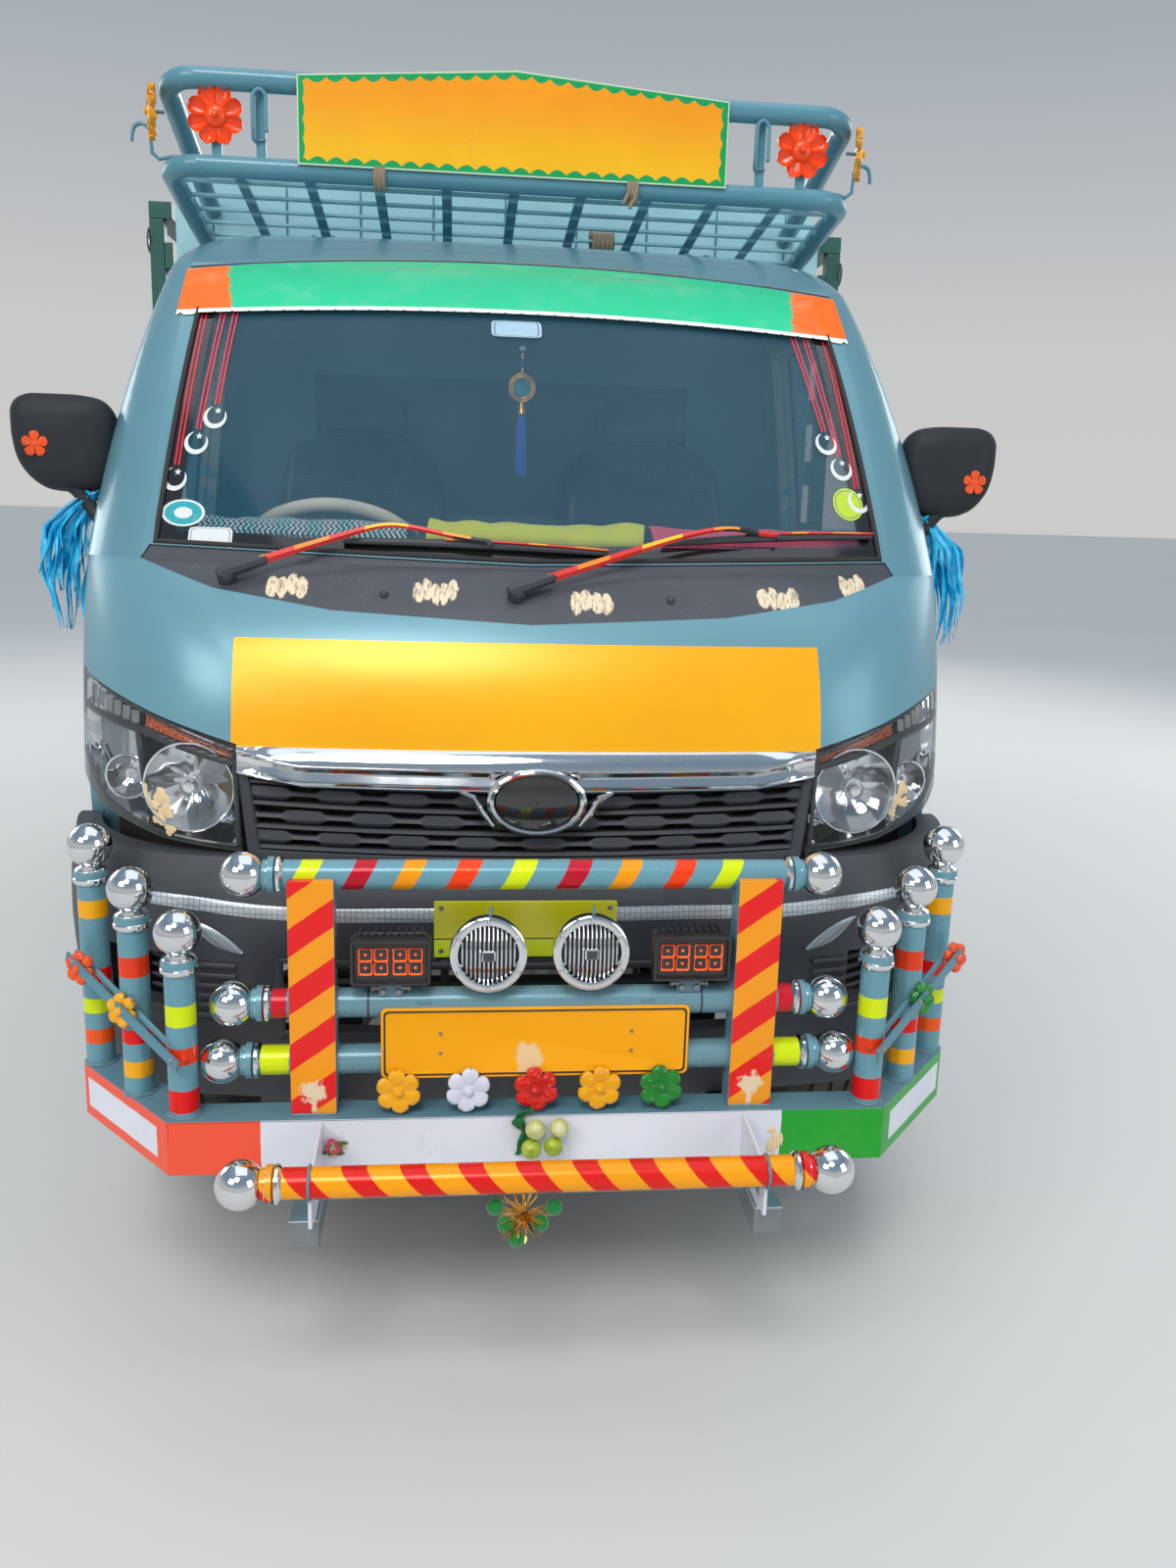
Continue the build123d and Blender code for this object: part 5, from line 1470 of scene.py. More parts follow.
def chrome_bar():
    g = Geo()
    rows = []
    n = 72
    for i in range(n + 1):
        x = lerp(-503, 503, i / n)
        a = abs(x)
        top = 1057.5
        edge = float(np.interp(a, [0, 400, 503], [1026.5, 1029.5, 1050.0]))
        low = float(np.interp(a, [0, 90, 390, 503], [989.5, 989.5, 993.5, 1013.0]))
        k = 1.0 - smoothstep(440, 503, a) * 0.75
        y = lambda z: face_y(x, z)
        pr = [(y(top) + 6, top), (y(top) - 3.0, top - 0.5), (y(top) - 6 * k, top - 4), (y(edge) - 13 * k, (top + edge) / 2), (y(edge) - 19 * k, edge + 2), (y(edge) - 19.5 * k, edge),
              (y(edge) - 17 * k, edge - 2.4), (y(edge) - 6 * k, lerp(edge, low, 0.22)), (y(edge) - 1.5, lerp(edge, low, 0.5)), (y(low) - 5 * k, lerp(edge, low, 0.8)),
              (y(low) - 13 * k, low + 2.0), (y(low) - 14 * k, low), (y(low) - 12 * k, low - 2.4), (y(low) + 14, low - 3.0)]
        rows.append([(x, a_, b_) for a_, b_ in pr])
    g.grid(rows)
    # oval boss in the middle: thick ring with a plain dark dome
    cx, cz, rx, rz = 6.0, 972.0, 83.0, 55.0
    y0 = face_y(0, cz) - 16
    rows = []
    prof = [(1.06, 10), (1.06, -2), (1.03, -7), (0.97, -9.5), (0.90, -8), (0.865, -3), (0.85, 3)]
    for r, h in prof:
        rows.append([(cx + rx * r * math.cos(t), y0 + h + 0.00022 * (rx * math.cos(t)) ** 2 * 4, cz + rz * r * math.sin(t)) for t in [k / 72 * 2 * PI for k in range(72)]])
    g.grid(rows, wrap=True)
    # two legs that carry the bar's lower edge round the boss
    for sx in (-1, 1):
        pts = [(cx + sx * 132, face_y(120, 990) - 12, 988), (cx + sx * 108, face_y(108, 980) - 14, 978), (cx + sx * 92, face_y(92, 960) - 14, 952), (cx + sx * 74, face_y(74, 930) - 13, 930)]
        g.tube(pts, [3.0, 6.5, 6.0, 3.0], 8)
    g.make("nose_chrome_bar", [MAT["chrome"]], smooth=28, slot="chrome")
    g = Geo()
    rows = []
    for r, h in ((0.86, 3), (0.85, -1.5), (0.7, -3.0), (0.45, -4.4), (0.2, -5.2), (0.02, -5.4)):
        rows.append([(cx + rx * r * math.cos(t), y0 + h + 0.00088 * (rx * r * math.cos(t)) ** 2, cz + rz * r * math.sin(t)) for t in [k / 60 * 2 * PI for k in range(60)]])
    g.grid(rows, wrap=True)
    s = Sh("boss_black", coat=1.0, coat_rough=0.02)
    s.set(col=s.mix(s.noise(40.0, 3, 0.5), (0.010, 0.010, 0.011), (0.02, 0.02, 0.022)), rough=0.12)
    s.bump(s.noise(120.0, 2, 0.5), 0.03, 0.0005)
    g.make("nose_boss", [s.m], smooth=60)


def grille():
    g = Geo()
    X0 = 488.0

    def bar_row(zc, h_fun, y_in, depth, lip=0.0, n=96):
        rows = []
        for i in range(n + 1):
            x = lerp(-X0, X0, i / n)
            lim = float(np.interp(zc, [865, 1000], [474, 492]))
            xx = max(-lim, min(lim, x))
            z = zc + 0.000052 * xx * xx * (1.0 if zc > 930 else 0.7)
            h = h_fun(xx)
            y = face_y(xx, z) + y_in
            rows.append([(xx, y + depth, z - h * 0.30), (xx, y + depth, z + h * 0.45), (xx, y + 2.0, z + h * 0.5), (xx, y, z + h * 0.5 - 1.6), (xx, y - lip, z - h * 0.2),
                         (xx, y + 1.0, z - h * 0.5 + 1.4), (xx, y + 3.0, z - h * 0.5), (xx, y + depth, z - h * 0.42)])
        g.grid(rows, wrap=True)

    def bump_h(ph):
        def f(x):
            t = ((x + ph) / 118.0) % 1.0
            k = smoothstep(0.0, 0.13, t) * (1 - smoothstep(0.56, 0.70, t))
            return 8.5 + 15.0 * k
        return f

    for i, z in enumerate((983, 946, 909, 873)):
        bar_row(z, lambda x: 8.0, 9.0, 26.0, 1.5, 40)
    for i, z in enumerate((964.5, 927.5, 891)):
        bar_row(z, bump_h(20 + 59 * (i % 2)), 11.0, 22.0, 2.5, 190)
    bar_row(858, lambda x: 20.0, 4.0, 40.0, 1.0, 40)
    # frame ends and the dark plate behind the slats
    for sx in (-1, 1):
        rows = []
        for i in range(15):
            z = lerp(850, 1012, i / 14)
            xo = float(np.interp(z, [850, 1012], [485, 503]))
            xi = float(np.interp(z, [850, 1012], [463, 484]))
            y = face_y(xo, z)
            rows.append([(sx * xo, y + 60, z), (sx * xo, y + 2.5, z), (sx * (xo - 3), y + 0.5, z), (sx * (xi + 3), y + 3, z), (sx * xi, y + 7, z), (sx * (xi - 2), y + 60, z)])
        g.grid(rows)
    g.use(1)
    rows = []
    for i in range(31):
        x = lerp(-495, 495, i / 30)
        rows.append([(x, face_y(x, z) + 62, z) for z in (834, 880, 930, 980, 1050)])
    g.grid(rows)
    for k in range(24):
        x = lerp(-460, 460, k / 23)
        y = face_y(x, 930) + 48
        g.rbox(x - 1.6, x + 1.6, y, y + 12, 850, 1010, 0.8)
    g.make("nose_grille", [MAT["black_plastic"], MAT["underside"]], smooth=30, replaces=("grille",), slot="dark_plastic")


chrome_bar()
grille()


# ---- headlamps: clear CAD lens over bowls, ribs and an amber corner
def lamps():
    s = Sh("lens_clear", spec=0.9, ior=1.49)
    fr = s.node("Fresnel", {"IOR": 1.5}).outputs[0]
    d = s.ramp(s.noise(9.0, 5, 0.6), [(0.5, (0, 0, 0)), (0.85, (1, 1, 1))])
    s.set(col=s.mix(d, (0.30, 0.34, 0.37), (0.50, 0.46, 0.38)), rough=0.03, alpha=s.math("ADD", 0.05, s.add(s.mul(fr, 0.7), s.mul(d, 0.07)), clamp=True))
    s.bump(s.noise(1.5, 2, 0.5), 0.03, 0.003)
    MAT["lens"] = s.m
    give("headlamps", s.m)
    refl = Sh("reflector_silver", metal=1.0)
    refl.set(col=refl.mix(refl.noise(18.0, 3, 0.6), (0.96, 0.97, 0.98), (0.76, 0.78, 0.80)), rough=refl.math("ADD", 0.05, refl.mul(refl.noise(40.0, 3, 0.6), 0.08)))
    MAT["reflector"] = refl.m
    amb = Sh("amber_lens", coat=0.6, coat_rough=0.05)
    v = amb.voro(190.0, rnd=0.6)
    amb.set(col=amb.ramp(v, [(0.0, srgb(255, 150, 30)), (0.4, srgb(222, 92, 8)), (0.8, srgb(120, 42, 6))]), rough=0.12)
    amb.bump(v, 0.9, 0.003)
    MAT["amber"] = amb.m
    bulb = Sh("bulb_frosted", coat=0.7, coat_rough=0.05)
    bulb.set(col=bulb.mix(bulb.noise(60.0, 3, 0.5), (0.74, 0.76, 0.78), (0.46, 0.48, 0.50)), rough=0.3)
    smoke = Sh("lamp_smoke", coat=0.8, coat_rough=0.05)
    smoke.set(col=smoke.mix(smoke.noise(20.0, 3, 0.5), (0.05, 0.055, 0.06), (0.10, 0.105, 0.11)), rough=0.22, metal=0.5)
    smoke.bump(smoke.wave(1.0, vec=smoke.scaled((0, 0, 60)), dirn="Z"), 0.25, 0.002)
    MAT["smoke"] = smoke.m
    for sx in (-1, 1):
        nm = "right" if sx < 0 else "left"
        g = Geo()
        fy = lambda x, z: face_y(x, z)

        def shell_y(x, z, depth):
            return min(fy(x, z) + depth, 560)

        # silvered back, deeper in the middle, faceted like folded steps
        g.use(0)
        # rows of z for each x between the lower and upper edge of the lamp
        lo = lambda x: float(np.interp(x, [500, 640, 760, 818], [880, 897, 934, 1000]))
        hi = lambda x: float(np.interp(x, [500, 640, 818], [1054, 1094, 1150]))
        rows = []
        for i in range(46):
            x = lerp(502, 816, i / 45)
            a, b = lo(x), hi(x)
            col = []
            for j in range(30):
                z = lerp(a, b, j / 29)
                edge = min(1.0, min(j, 29 - j) / 4.0) * min(1.0, min(i + 1, 46 - i) / 4.0)
                ribs = 2.6 * (((z / 13.0) % 1.0) - 0.5) * edge
                col.append((sx * x, shell_y(x, z, 6 + 52 * edge + ribs), z))
            rows.append(col)
        g.grid(rows)
        # main bowl: faceted chrome round the bulb
        for bx, bz, R, dep in ((588, 980, 72, 44), (704, 985, 34, 22)):
            o = Vector((sx * bx, fy(bx, bz) + 8, bz))
            ax = Vector((0, -1, 0.0))
            prof_n = 12
            m = 40
            rings = []
            for q in range(prof_n + 1):
                r = R * (1 - q / prof_n) ** 0.9 + 5
                h = -dep * (1 - (r / R) ** 2) - 2
                ring = []
                for k in range(m):
                    t = 2 * PI * k / m
                    fac = 1.9 * abs(math.sin(6 * t)) * (r / R)
                    zz = bz + r * math.sin(t)
                    xx = bx + r * math.cos(t)
                    ring.append((sx * xx, fy(bx, bz) + 10 - h + fac + 0.30 * (fy(xx, zz) - fy(bx, bz)), zz))
                rings.append(ring)
            g.use(0).grid(rings, wrap=True)
            g.tube([rings[0][k] for k in range(m)], 2.2, 7, closed=True)
            yb = fy(bx, bz) + 12 + dep
            if R > 50:
                g.use(1).rev([(0, 46), (5, 45), (8, 41), (9, 34), (9, 6), (14, 4), (16, 0)], 20, (sx * bx, yb, bz), (0, -1, 0))
                g.use(0).rev([(0, 50), (9.5, 49), (11, 44), (11, 38), (10, 38)], 20, (sx * bx, yb, bz), (0, -1, 0))
                g.rev([(17, 44), (18, 40), (18, 34), (17, 30)], 24, (sx * bx, yb, bz), (0, -1, 0))
        # dark rib between the indicator and the main lamp, and the upright divider
        rib = [(500, 1021.7), (589, 1046), (661, 1067.4), (738, 1081), (800, 1090)]
        rows = []
        for i in range(40):
            x = lerp(500, 806, i / 39)
            z = float(np.interp(x, [p[0] for p in rib], [p[1] for p in rib]))
            h = lerp(6, 8, i / 39)
            y = fy(x, z)
            rows.append([(sx * x, y + 60, z - h), (sx * x, y + 7, z - h), (sx * x, y + 4.5, z - h * 0.4), (sx * x, y + 4.5, z + h * 0.4), (sx * x, y + 8, z + h), (sx * x, y + 60, z + h)])
        g.use(2).grid(rows)
        rows = []
        for i in range(20):
            z = lerp(925, 1072, i / 19)
            x = lerp(664, 682, i / 19)
            y = fy(x, z)
            rows.append([(sx * (x - 5), y + 55, z), (sx * (x - 5), y + 9, z), (sx * x, y + 6, z), (sx * (x + 5), y + 9, z), (sx * (x + 5), y + 55, z)])
        g.grid(rows)
        # indicator: amber inner part, clear steps outside
        rows = []
        for i in range(30):
            x = lerp(508, 668, i / 29)
            zl = float(np.interp(x, [p[0] for p in rib], [p[1] for p in rib])) + 8
            zh = hi(x) - 6
            rows.append([(sx * x, fy(x, z) + 13 + 4 * math.sin(PI * j / 6), z) for j, z in ((j, lerp(zl, zh, j / 6)) for j in range(7))])
        g.use(3).grid(rows)
        for k in range(6):
            x0 = 680 + k * 19
            zl = float(np.interp(x0, [p[0] for p in rib], [p[1] for p in rib])) + 9
            zh = hi(x0) - 6
            g.use(0).grid([[(sx * (x0 + d), fy(x0 + d, z) + e, z) for z in np.linspace(zl, zh, 5)] for d, e in ((0, 12), (16, 12), (17, 30))])
        # bezel along the whole edge
        g.use(2)
        for line in (((504, 884), (506, 960), (509, 1046)), ((509, 1048), (575, 1070), (640, 1092), (720, 1120), (800, 1148)), ((506, 882), (570, 888), (640, 898), (700, 916), (750, 936), (790, 972), (812, 1010))):
            P = []
            for a, b in zip(line[:-1], line[1:]):
                for k in range(8):
                    x, z = lerp(a[0], b[0], k / 8), lerp(a[1], b[1], k / 8)
                    P.append((sx * x, fy(x, z) + 7, z))
            x, z = line[-1]
            P.append((sx * x, fy(x, z) + 7, z))
            g.tube(P, 4.0, 8)
        g.make("headlamp_inside_" + nm, [MAT["reflector"], bulb.m, MAT["smoke"], MAT["amber"]], smooth=38, slot="lamp_lens")

    # pale dried paste on the lenses
    g = Geo()
    rnd = random.Random(12)
    for sx, blobs in ((-1, ((636, 962, 14), (628, 938, 13), (640, 922, 12), (622, 905, 10), (650, 945, 10))), (1, ((690, 975, 14), (676, 955, 12), (668, 935, 9), (696, 950, 10)))):
        for bx, bz, R in blobs:
            n = 22
            ph = rnd.uniform(0, 6)
            rings = []
            for q in range(5):
                k = (4 - q) / 4
                rings.append([on_nose(sx * bx + R * k * (1 + 0.22 * math.sin(3 * t + ph) + 0.10 * math.sin(7 * t)) * math.cos(t), bz + R * k * (1 + 0.22 * math.sin(3 * t + ph) + 0.10 * math.sin(7 * t)) * math.sin(t), 0.5 + 1.1 * (1 - k * k))[0] for t in [i / n * 2 * PI for i in range(n)]])
            g.grid(rings, wrap=True)
    s = Sh("paste_cream", spec=0.3)
    s.set(col=s.mix(s.noise(60.0, 4, 0.6), srgb(244, 220, 178), srgb(222, 190, 140)), rough=0.85)
    s.bump(s.noise(220.0, 4, 0.65), 0.6, 0.0012)
    MAT["paste"] = s.m
    g.make("headlamp_paste", [s.m], smooth=60)


lamps()


# ---- horns and auxiliary lamps on the second tube
def horns():
    for i, (cx, cz) in enumerate(((-80, 772), (84, 774))):
        g = Geo()
        o = Vector((cx, -10, cz))
        d = Vector((0, -1, 0.06)).normalized()
        g.use(0)
        g.rev([(38, -34), (44, -30), (56, -26), (60.5, -22), (62, -16), (62, -2), (61, 3), (58, 5.2), (52, 5.6), (48.5, 4.0), (47.2, 1.0), (46.5, -3)], 64, o, d)
        for k in range(6):
            a = PI / 6 + k * PI / 3
            p, q = frame_of(d)
            c = o + (p * math.cos(a) + q * math.sin(a)) * 54.5 + d * 5.6
            g.rev([(0, 2.4), (2.6, 2.0), (3.9, 0.6), (4.1, -0.4)], 12, c, d)
        # domed grille of upright slats in the round opening
        p, q = frame_of(d)
        if abs(p.x) < 0.5:
            p, q = q, p
        up = Vector((0, 0, 1)) - d * d.z
        up.normalize()
        side = Vector((1, 0, 0))
        for k in range(-6, 7):
            sx_ = k * 6.9
            half = math.sqrt(max(0.0, 46.0 ** 2 - sx_ ** 2))
            if half < 8:
                continue
            pts = []
            for j in range(13):
                u_ = lerp(-half, half, j / 12)
                bulge = 11.0 * (1 - (sx_ ** 2 + u_ ** 2) / 46.5 ** 2)
                pts.append(o + side * sx_ + up * u_ + d * (-3 + bulge))
            g.tube(pts, 2.3, 8, flat=0.75)
        g.use(1).rev([(0, -6), (30, -7), (46.5, -9)], 40, o, d)
        g.use(0)
        c = o + d * 9.5
        g.at(Matrix.Translation(c)).rbox(-11, 11, -3.0, 3.0, -9.5, 9.5, 2.0)
        g.use(1).rbox(-8.6, 8.6, -3.3, -2.9, -7.2, 7.2, 0.4)
        g.at(None)
        # back shell, bracket down to the tube, hook on top
        g.use(1).rev([(0, -74), (22, -73), (34, -66), (40, -52), (40, -36), (44, -30)], 40, o, d)
        g.use(2).rbox(cx - 16, cx + 16, 12, 17, 696, 742, 1.5)
        g.rbox(cx - 16, cx + 16, 8, 40, 703, 708, 1.5)
        g.use(2).tube([(cx + 2, -8, cz + 60), (cx + 2, -12, cz + 68), (cx + 3, -6, cz + 76), (cx + 4, 3, cz + 74), (cx + 4, 8, cz + 66)], 2.6, 8)
        g.make("horn_%s" % ("right" if i == 0 else "left"), [MAT["chrome"], MAT["black_plastic"], MAT["rack_teal"]], smooth=35, replaces=("horns",), slot="chrome")


def led_lamps():
    s = Sh("led_black", coat=0.3, coat_rough=0.2)
    s.set(col=s.mix(s.noise(30.0, 3, 0.6), (0.012, 0.012, 0.013), (0.03, 0.03, 0.032)), rough=0.38)
    s.bump(s.noise(600.0, 2, 0.6), 0.15, 0.0005)
    MAT["led_black"] = s.m
    s = Sh("led_orange", coat=1.0, coat_rough=0.03)
    v = s.voro(260.0, rnd=0.7)
    s.set(col=s.ramp(v, [(0.0, srgb(255, 210, 130)), (0.25, srgb(255, 124, 30)), (0.6, srgb(250, 84, 10)), (0.95, srgb(200, 44, 0))]), rough=0.1, emit=srgb(255, 70, 0), emit_s=0.35)
    s.bump(v, 0.6, 0.003)
    MAT["led_orange"] = s.m
    for i, (cx, cz) in enumerate(((-234, 760), (248, 763))):
        g = Geo()
        Y0 = -2.0
        # body with rounded corners, thick bezel
        def rr(w, h, r, n=7):
            pts = []
            for k, (sx, sz) in enumerate(((1, 1), (-1, 1), (-1, -1), (1, -1))):
                for j in range(n):
                    a = k * PI / 2 + j / (n - 1) * PI / 2
                    pts.append((sx * (w - r) + r * math.cos(a), sz * (h - r) + r * math.sin(a)))
            return pts
        rings = []
        for w, h, r, y in ((58, 34, 8, 40), (61, 37, 8, 26), (63.5, 38.5, 8, 12), (63.5, 38.5, 8, -9), (62, 37, 7, -12), (58.5, 33.5, 5, -12.6), (57, 32, 4, -9), (56.5, 31.5, 4, -4)):
            rings.append([(cx + px_, Y0 + y, cz + pz_) for px_, pz_ in rr(w, h, r)])
        g.use(0).grid(rings, wrap=True)
        g.add([(p[0], p[1], p[2]) for p in rings[-1]], [tuple(range(len(rings[-1])))])
        g.add([(p[0], p[1], p[2]) for p in rings[0]], [tuple(range(len(rings[0])))])
        # eight square cups in two groups
        for gx in (-28.5, 25.5):
            for ax in (-12.2, 12.2):
                for az in (-11.0, 11.0):
                    x, z = cx + gx + ax + 1.5, cz + az + 1.0
                    g.use(1)
                    rings = []
                    for w, y in ((11.4, -7.2), (11.0, -7.6), (8.6, -3.0), (5.2, -0.6), (3.6, -1.0)):
                        rings.append([(x + a, Y0 + y, z + b) for a, b in rr(w, w, w * 0.32, 5)])
                    g.grid(rings, wrap=True)
                    g.rev([(0, 4.4), (2.2, 3.6), (3.6, 1.2), (3.9, 0)], 14, (x, Y0 - 1.0, z), (0, -1, 0))
            g.use(0).rev([(0, 2.6), (2.2, 2.0), (3.0, 0)], 12, (cx + gx + 1.5, Y0 - 7.6, cz + 1.0), (0, -1, 0))
            g.rbox(cx + gx - 24, cx + gx + 27, Y0 + 0.4, Y0 + 1.6, cz - 23.5, cz + 25.5, 0.6)
        for k in range(9):
            x = cx - 48 + k * 12
            g.rbox(x - 1.6, x + 1.6, Y0 + 8, Y0 + 44, cz + 35, cz + 43.5, 1.0)
        # bracket with two bolts
        g.use(2).rbox(cx - 20, cx + 20, 4, 10, cz - 64, cz - 38, 2.0)
        g.use(3)
        for q in (-1, 1):
            g.rev([(0, 12), (5.2, 11), (5.6, 7), (4.0, 6), (4.0, -2)], 12, (cx + q * 20, 7, cz - 48), (q, 0, 0))
            g.rev([(0, 4), (4.8, 3.4), (5.6, 0)], 6, (cx + q * 12, 3.6, cz - 54), (0, -1, 0))
        g.make("aux_lamp_%s" % ("right" if i == 0 else "left"), [MAT["led_black"], MAT["led_orange"], MAT["rack_teal"], MAT["bare"]], smooth=35, replaces=("auxiliary_lamps",), slot="lamp_black")


horns()
led_lamps()


# ---- front plate: blank, pressed rim, rounded corners, four square washers
def plate(name, x0, x1, z0, z1, yf, sgn, mat, body="truck", replaces=()):
    g = Geo()
    cx, cz, w, h = (x0 + x1) / 2, (z0 + z1) / 2, (x1 - x0) / 2, (z1 - z0) / 2

    def rr(k, r, n=7):
        pts = []
        for i, (sx, sz) in enumerate(((1, 1), (-1, 1), (-1, -1), (1, -1))):
            for j in range(n):
                a = i * PI / 2 + j / (n - 1) * PI / 2
                pts.append((cx + sx * (w - k - r) + r * math.cos(a), cz + sz * (h - k - r) + r * math.sin(a)))
        return pts
    rings = [[(x, yf + sgn * d, z) for x, z in rr(k, r)] for k, r, d in ((0, 9, 3.0), (0, 9, 0.4), (0.6, 9, -0.6), (4.2, 8, -0.8), (5.0, 7.5, -2.0), (6.8, 7, -2.0), (7.6, 6.5, -0.7), (9.0, 6, -0.2))]
    g.use(0).grid(rings[:4], wrap=True)
    g.use(1).grid(rings[3:7], wrap=True)
    g.use(0).grid(rings[6:], wrap=True)
    g.add(rings[-1], [tuple(range(len(rings[-1])))])
    g.add(rings[0], [tuple(range(len(rings[0])))])
    g.use(2)
    for sx in (-1, 1):
        for sz in ((-1, 1) if w > 200 else (0,)):
            x, z = cx + sx * w * 0.62, cz + sz * h * 0.28
            g.rbox(x - 2.6, x + 2.6, yf + min(0, sgn * -1.2), yf + max(0, sgn * -1.2), z - 2.6, z + 2.6, 0.6)
            g.rev([(0, 2.2), (1.8, 1.8), (2.6, 0.2), (2.8, -1)], 12, (x, yf - sgn * 2.2, z), (0, -sgn, 0))
    return g.make(name, [mat, MAT["frit"], MAT["bare"]], body=body, smooth=35, replaces=replaces, slot="plate_yellow")


s = Sh("frit_black", coat=0.5, coat_rough=0.1)
s.set(col=s.mix(s.noise(30.0, 3, 0.5), (0.010, 0.010, 0.010), (0.022, 0.022, 0.023)), rough=0.3)
s.bump(s.noise(200.0, 2, 0.5), 0.05, 0.0004)
MAT["frit"] = s.m


def plate_pat(s):
    x, y, z = s.xyz()
    dx, dz = s.mul(s.sub(x, -12.0), 1 / 26.0), s.mul(s.sub(z, 592.0), 1 / 30.0)
    r = s.add(s.math("SQRT", s.add(s.mul(dx, dx), s.mul(dz, dz))), s.mul(s.sub(s.noise(70.0, 4, 0.6), 0.5), 1.4))
    return s.mix(s.inv(s.step(r, 0.7, 1.0)), srgb(255, 172, 0), srgb(240, 204, 150))


MAT["plate"] = enamel("plate_amber", plate_pat, rough=0.3, wear=0.4, dust=0.12, base_under=(0.5, 0.5, 0.5))
plate("number_plate_front", -250, 250, 560, 680, -3.0, 1, MAT["plate"], replaces=("number_plates",))
plate("number_plate_rear", -560, -220, 430, 550, 4778.0, -1, MAT["plate"], replaces=("number_plates",))
g = Geo()
for x in (-180, 180):
    g.rbox(x - 12, x + 12, 0.2, 4, 566, 690, 1.0)
g.rbox(-500, -280, 4773, 4776, 440, 540, 1.0)
g.make("number_plate_straps", [MAT["rack_teal"]], smooth=40)
# ---------------------------------------------------------------- windscreen: strip, frit, stickers, seals, wipers
SCR = Skin("cab_glass", "cab_shell", "roof_panel")
GLS = Skin("cab_glass")


def on_screen(x, z, off=0.8):
    """Point flush with the outside of the cab over the windscreen."""
    p, n = GLS.front(x, z)
    if p is not None and p.y < 1500:
        return p + n * (4.6 + off), n
    p, n = SCR.front(x, z)
    return p + n * off, n


def on_glass(x, z, off=0.6):
    p, n = GLS.front(x, z)
    if p is None or p.y > 1500:
        p, n = SCR.front(x, z)
    return p + n * off


STRIP_LOW = lambda x: 1851 - 27.0 * (x / 702.0) ** 2
STRIP_TOP = lambda x: 1978 - 43.0 * (x / 706.0) ** 2


def sun_strip():
    n, m = 88, 12
    P = []
    for j in range(m + 1):
        row = []
        for i in range(n + 1):
            x = lerp(-706, 706, i / n)
            z = lerp(STRIP_LOW(x), STRIP_TOP(x), j / m)
            row.append(on_screen(x, z, 2.4)[0])
        P.append(row)
    A = np.array([[tuple(p) for p in r] for r in P])
    Y = A[:, :, 1]
    for _ in range(6):
        Q = Y.copy()
        Q[:, 1:-1] = (Y[:, :-2] + Y[:, 2:] + 2 * Y[:, 1:-1]) / 4
        Y = np.minimum(Q, Y + 1.5)
        Q = Y.copy()
        Q[1:-1, :] = (Y[:-2, :] + Y[2:, :] + 2 * Y[1:-1, :]) / 4
        Y = np.minimum(Q, Y + 1.5)
    A[:, :, 1] = Y - 0.8
    g = Geo()
    g.grid([[tuple(p) for p in r] for r in A])
    s = Sh("sun_strip_film", coat=0.06, coat_rough=0.2, spec=0.2)
    x, y, z = s.xyz()
    ax = s.absv(s.add(x, 6.0))
    tear = s.add(s.mul(s.sub(s.noise(1.0, 4, 0.7, vec=s.scaled((4, 4, 230))), 0.5), 40.0), s.mul(s.sub(z, 1880.0), 0.24))
    e = s.step(s.sub(ax, tear), 596.0, 598.5)
    grad = s.step(z, 1835, 1965)
    green = s.mix(grad, srgb(0, 204, 148), srgb(0, 186, 134))
    orange = s.mix(s.noise(30.0, 3, 0.6), srgb(255, 118, 6), srgb(240, 96, 0))
    c = s.mix(e, green, orange)
    xx = s.mul(x, 1 / 702.0)
    v = s.sub(z, s.sub(1845.0, s.mul(s.mul(xx, xx), 27.0)))
    scal = s.sub(13.5, s.mul(s.absv(s.math("SINE", s.mul(x, 0.090))), 8.5))
    c = s.mix(s.inv(s.step(s.sub(v, 20.0), -0.4, 0.4)), c, srgb(240, 243, 238))
    cut = s.step(s.sub(v, scal), -0.3, 0.3)
    c = s.mix(s.mul(s.ramp(s.noise(11.0, 4, 0.6), [(0.5, (0, 0, 0)), (0.8, (1, 1, 1))]), 0.25), c, tuple(min(1, k + 0.15) for k in srgb(120, 190, 160)[:3]))
    s.set(col=s.dusty(c, 0.15, low=3000), rough=0.35, alpha=cut)
    s.bump(s.noise(14.0, 3, 0.5), 0.12, 0.003)
    s.bump(s.noise(600.0, 2, 0.5), 0.1, 0.0003)
    g.make("sun_strip", [s.m], smooth=60)


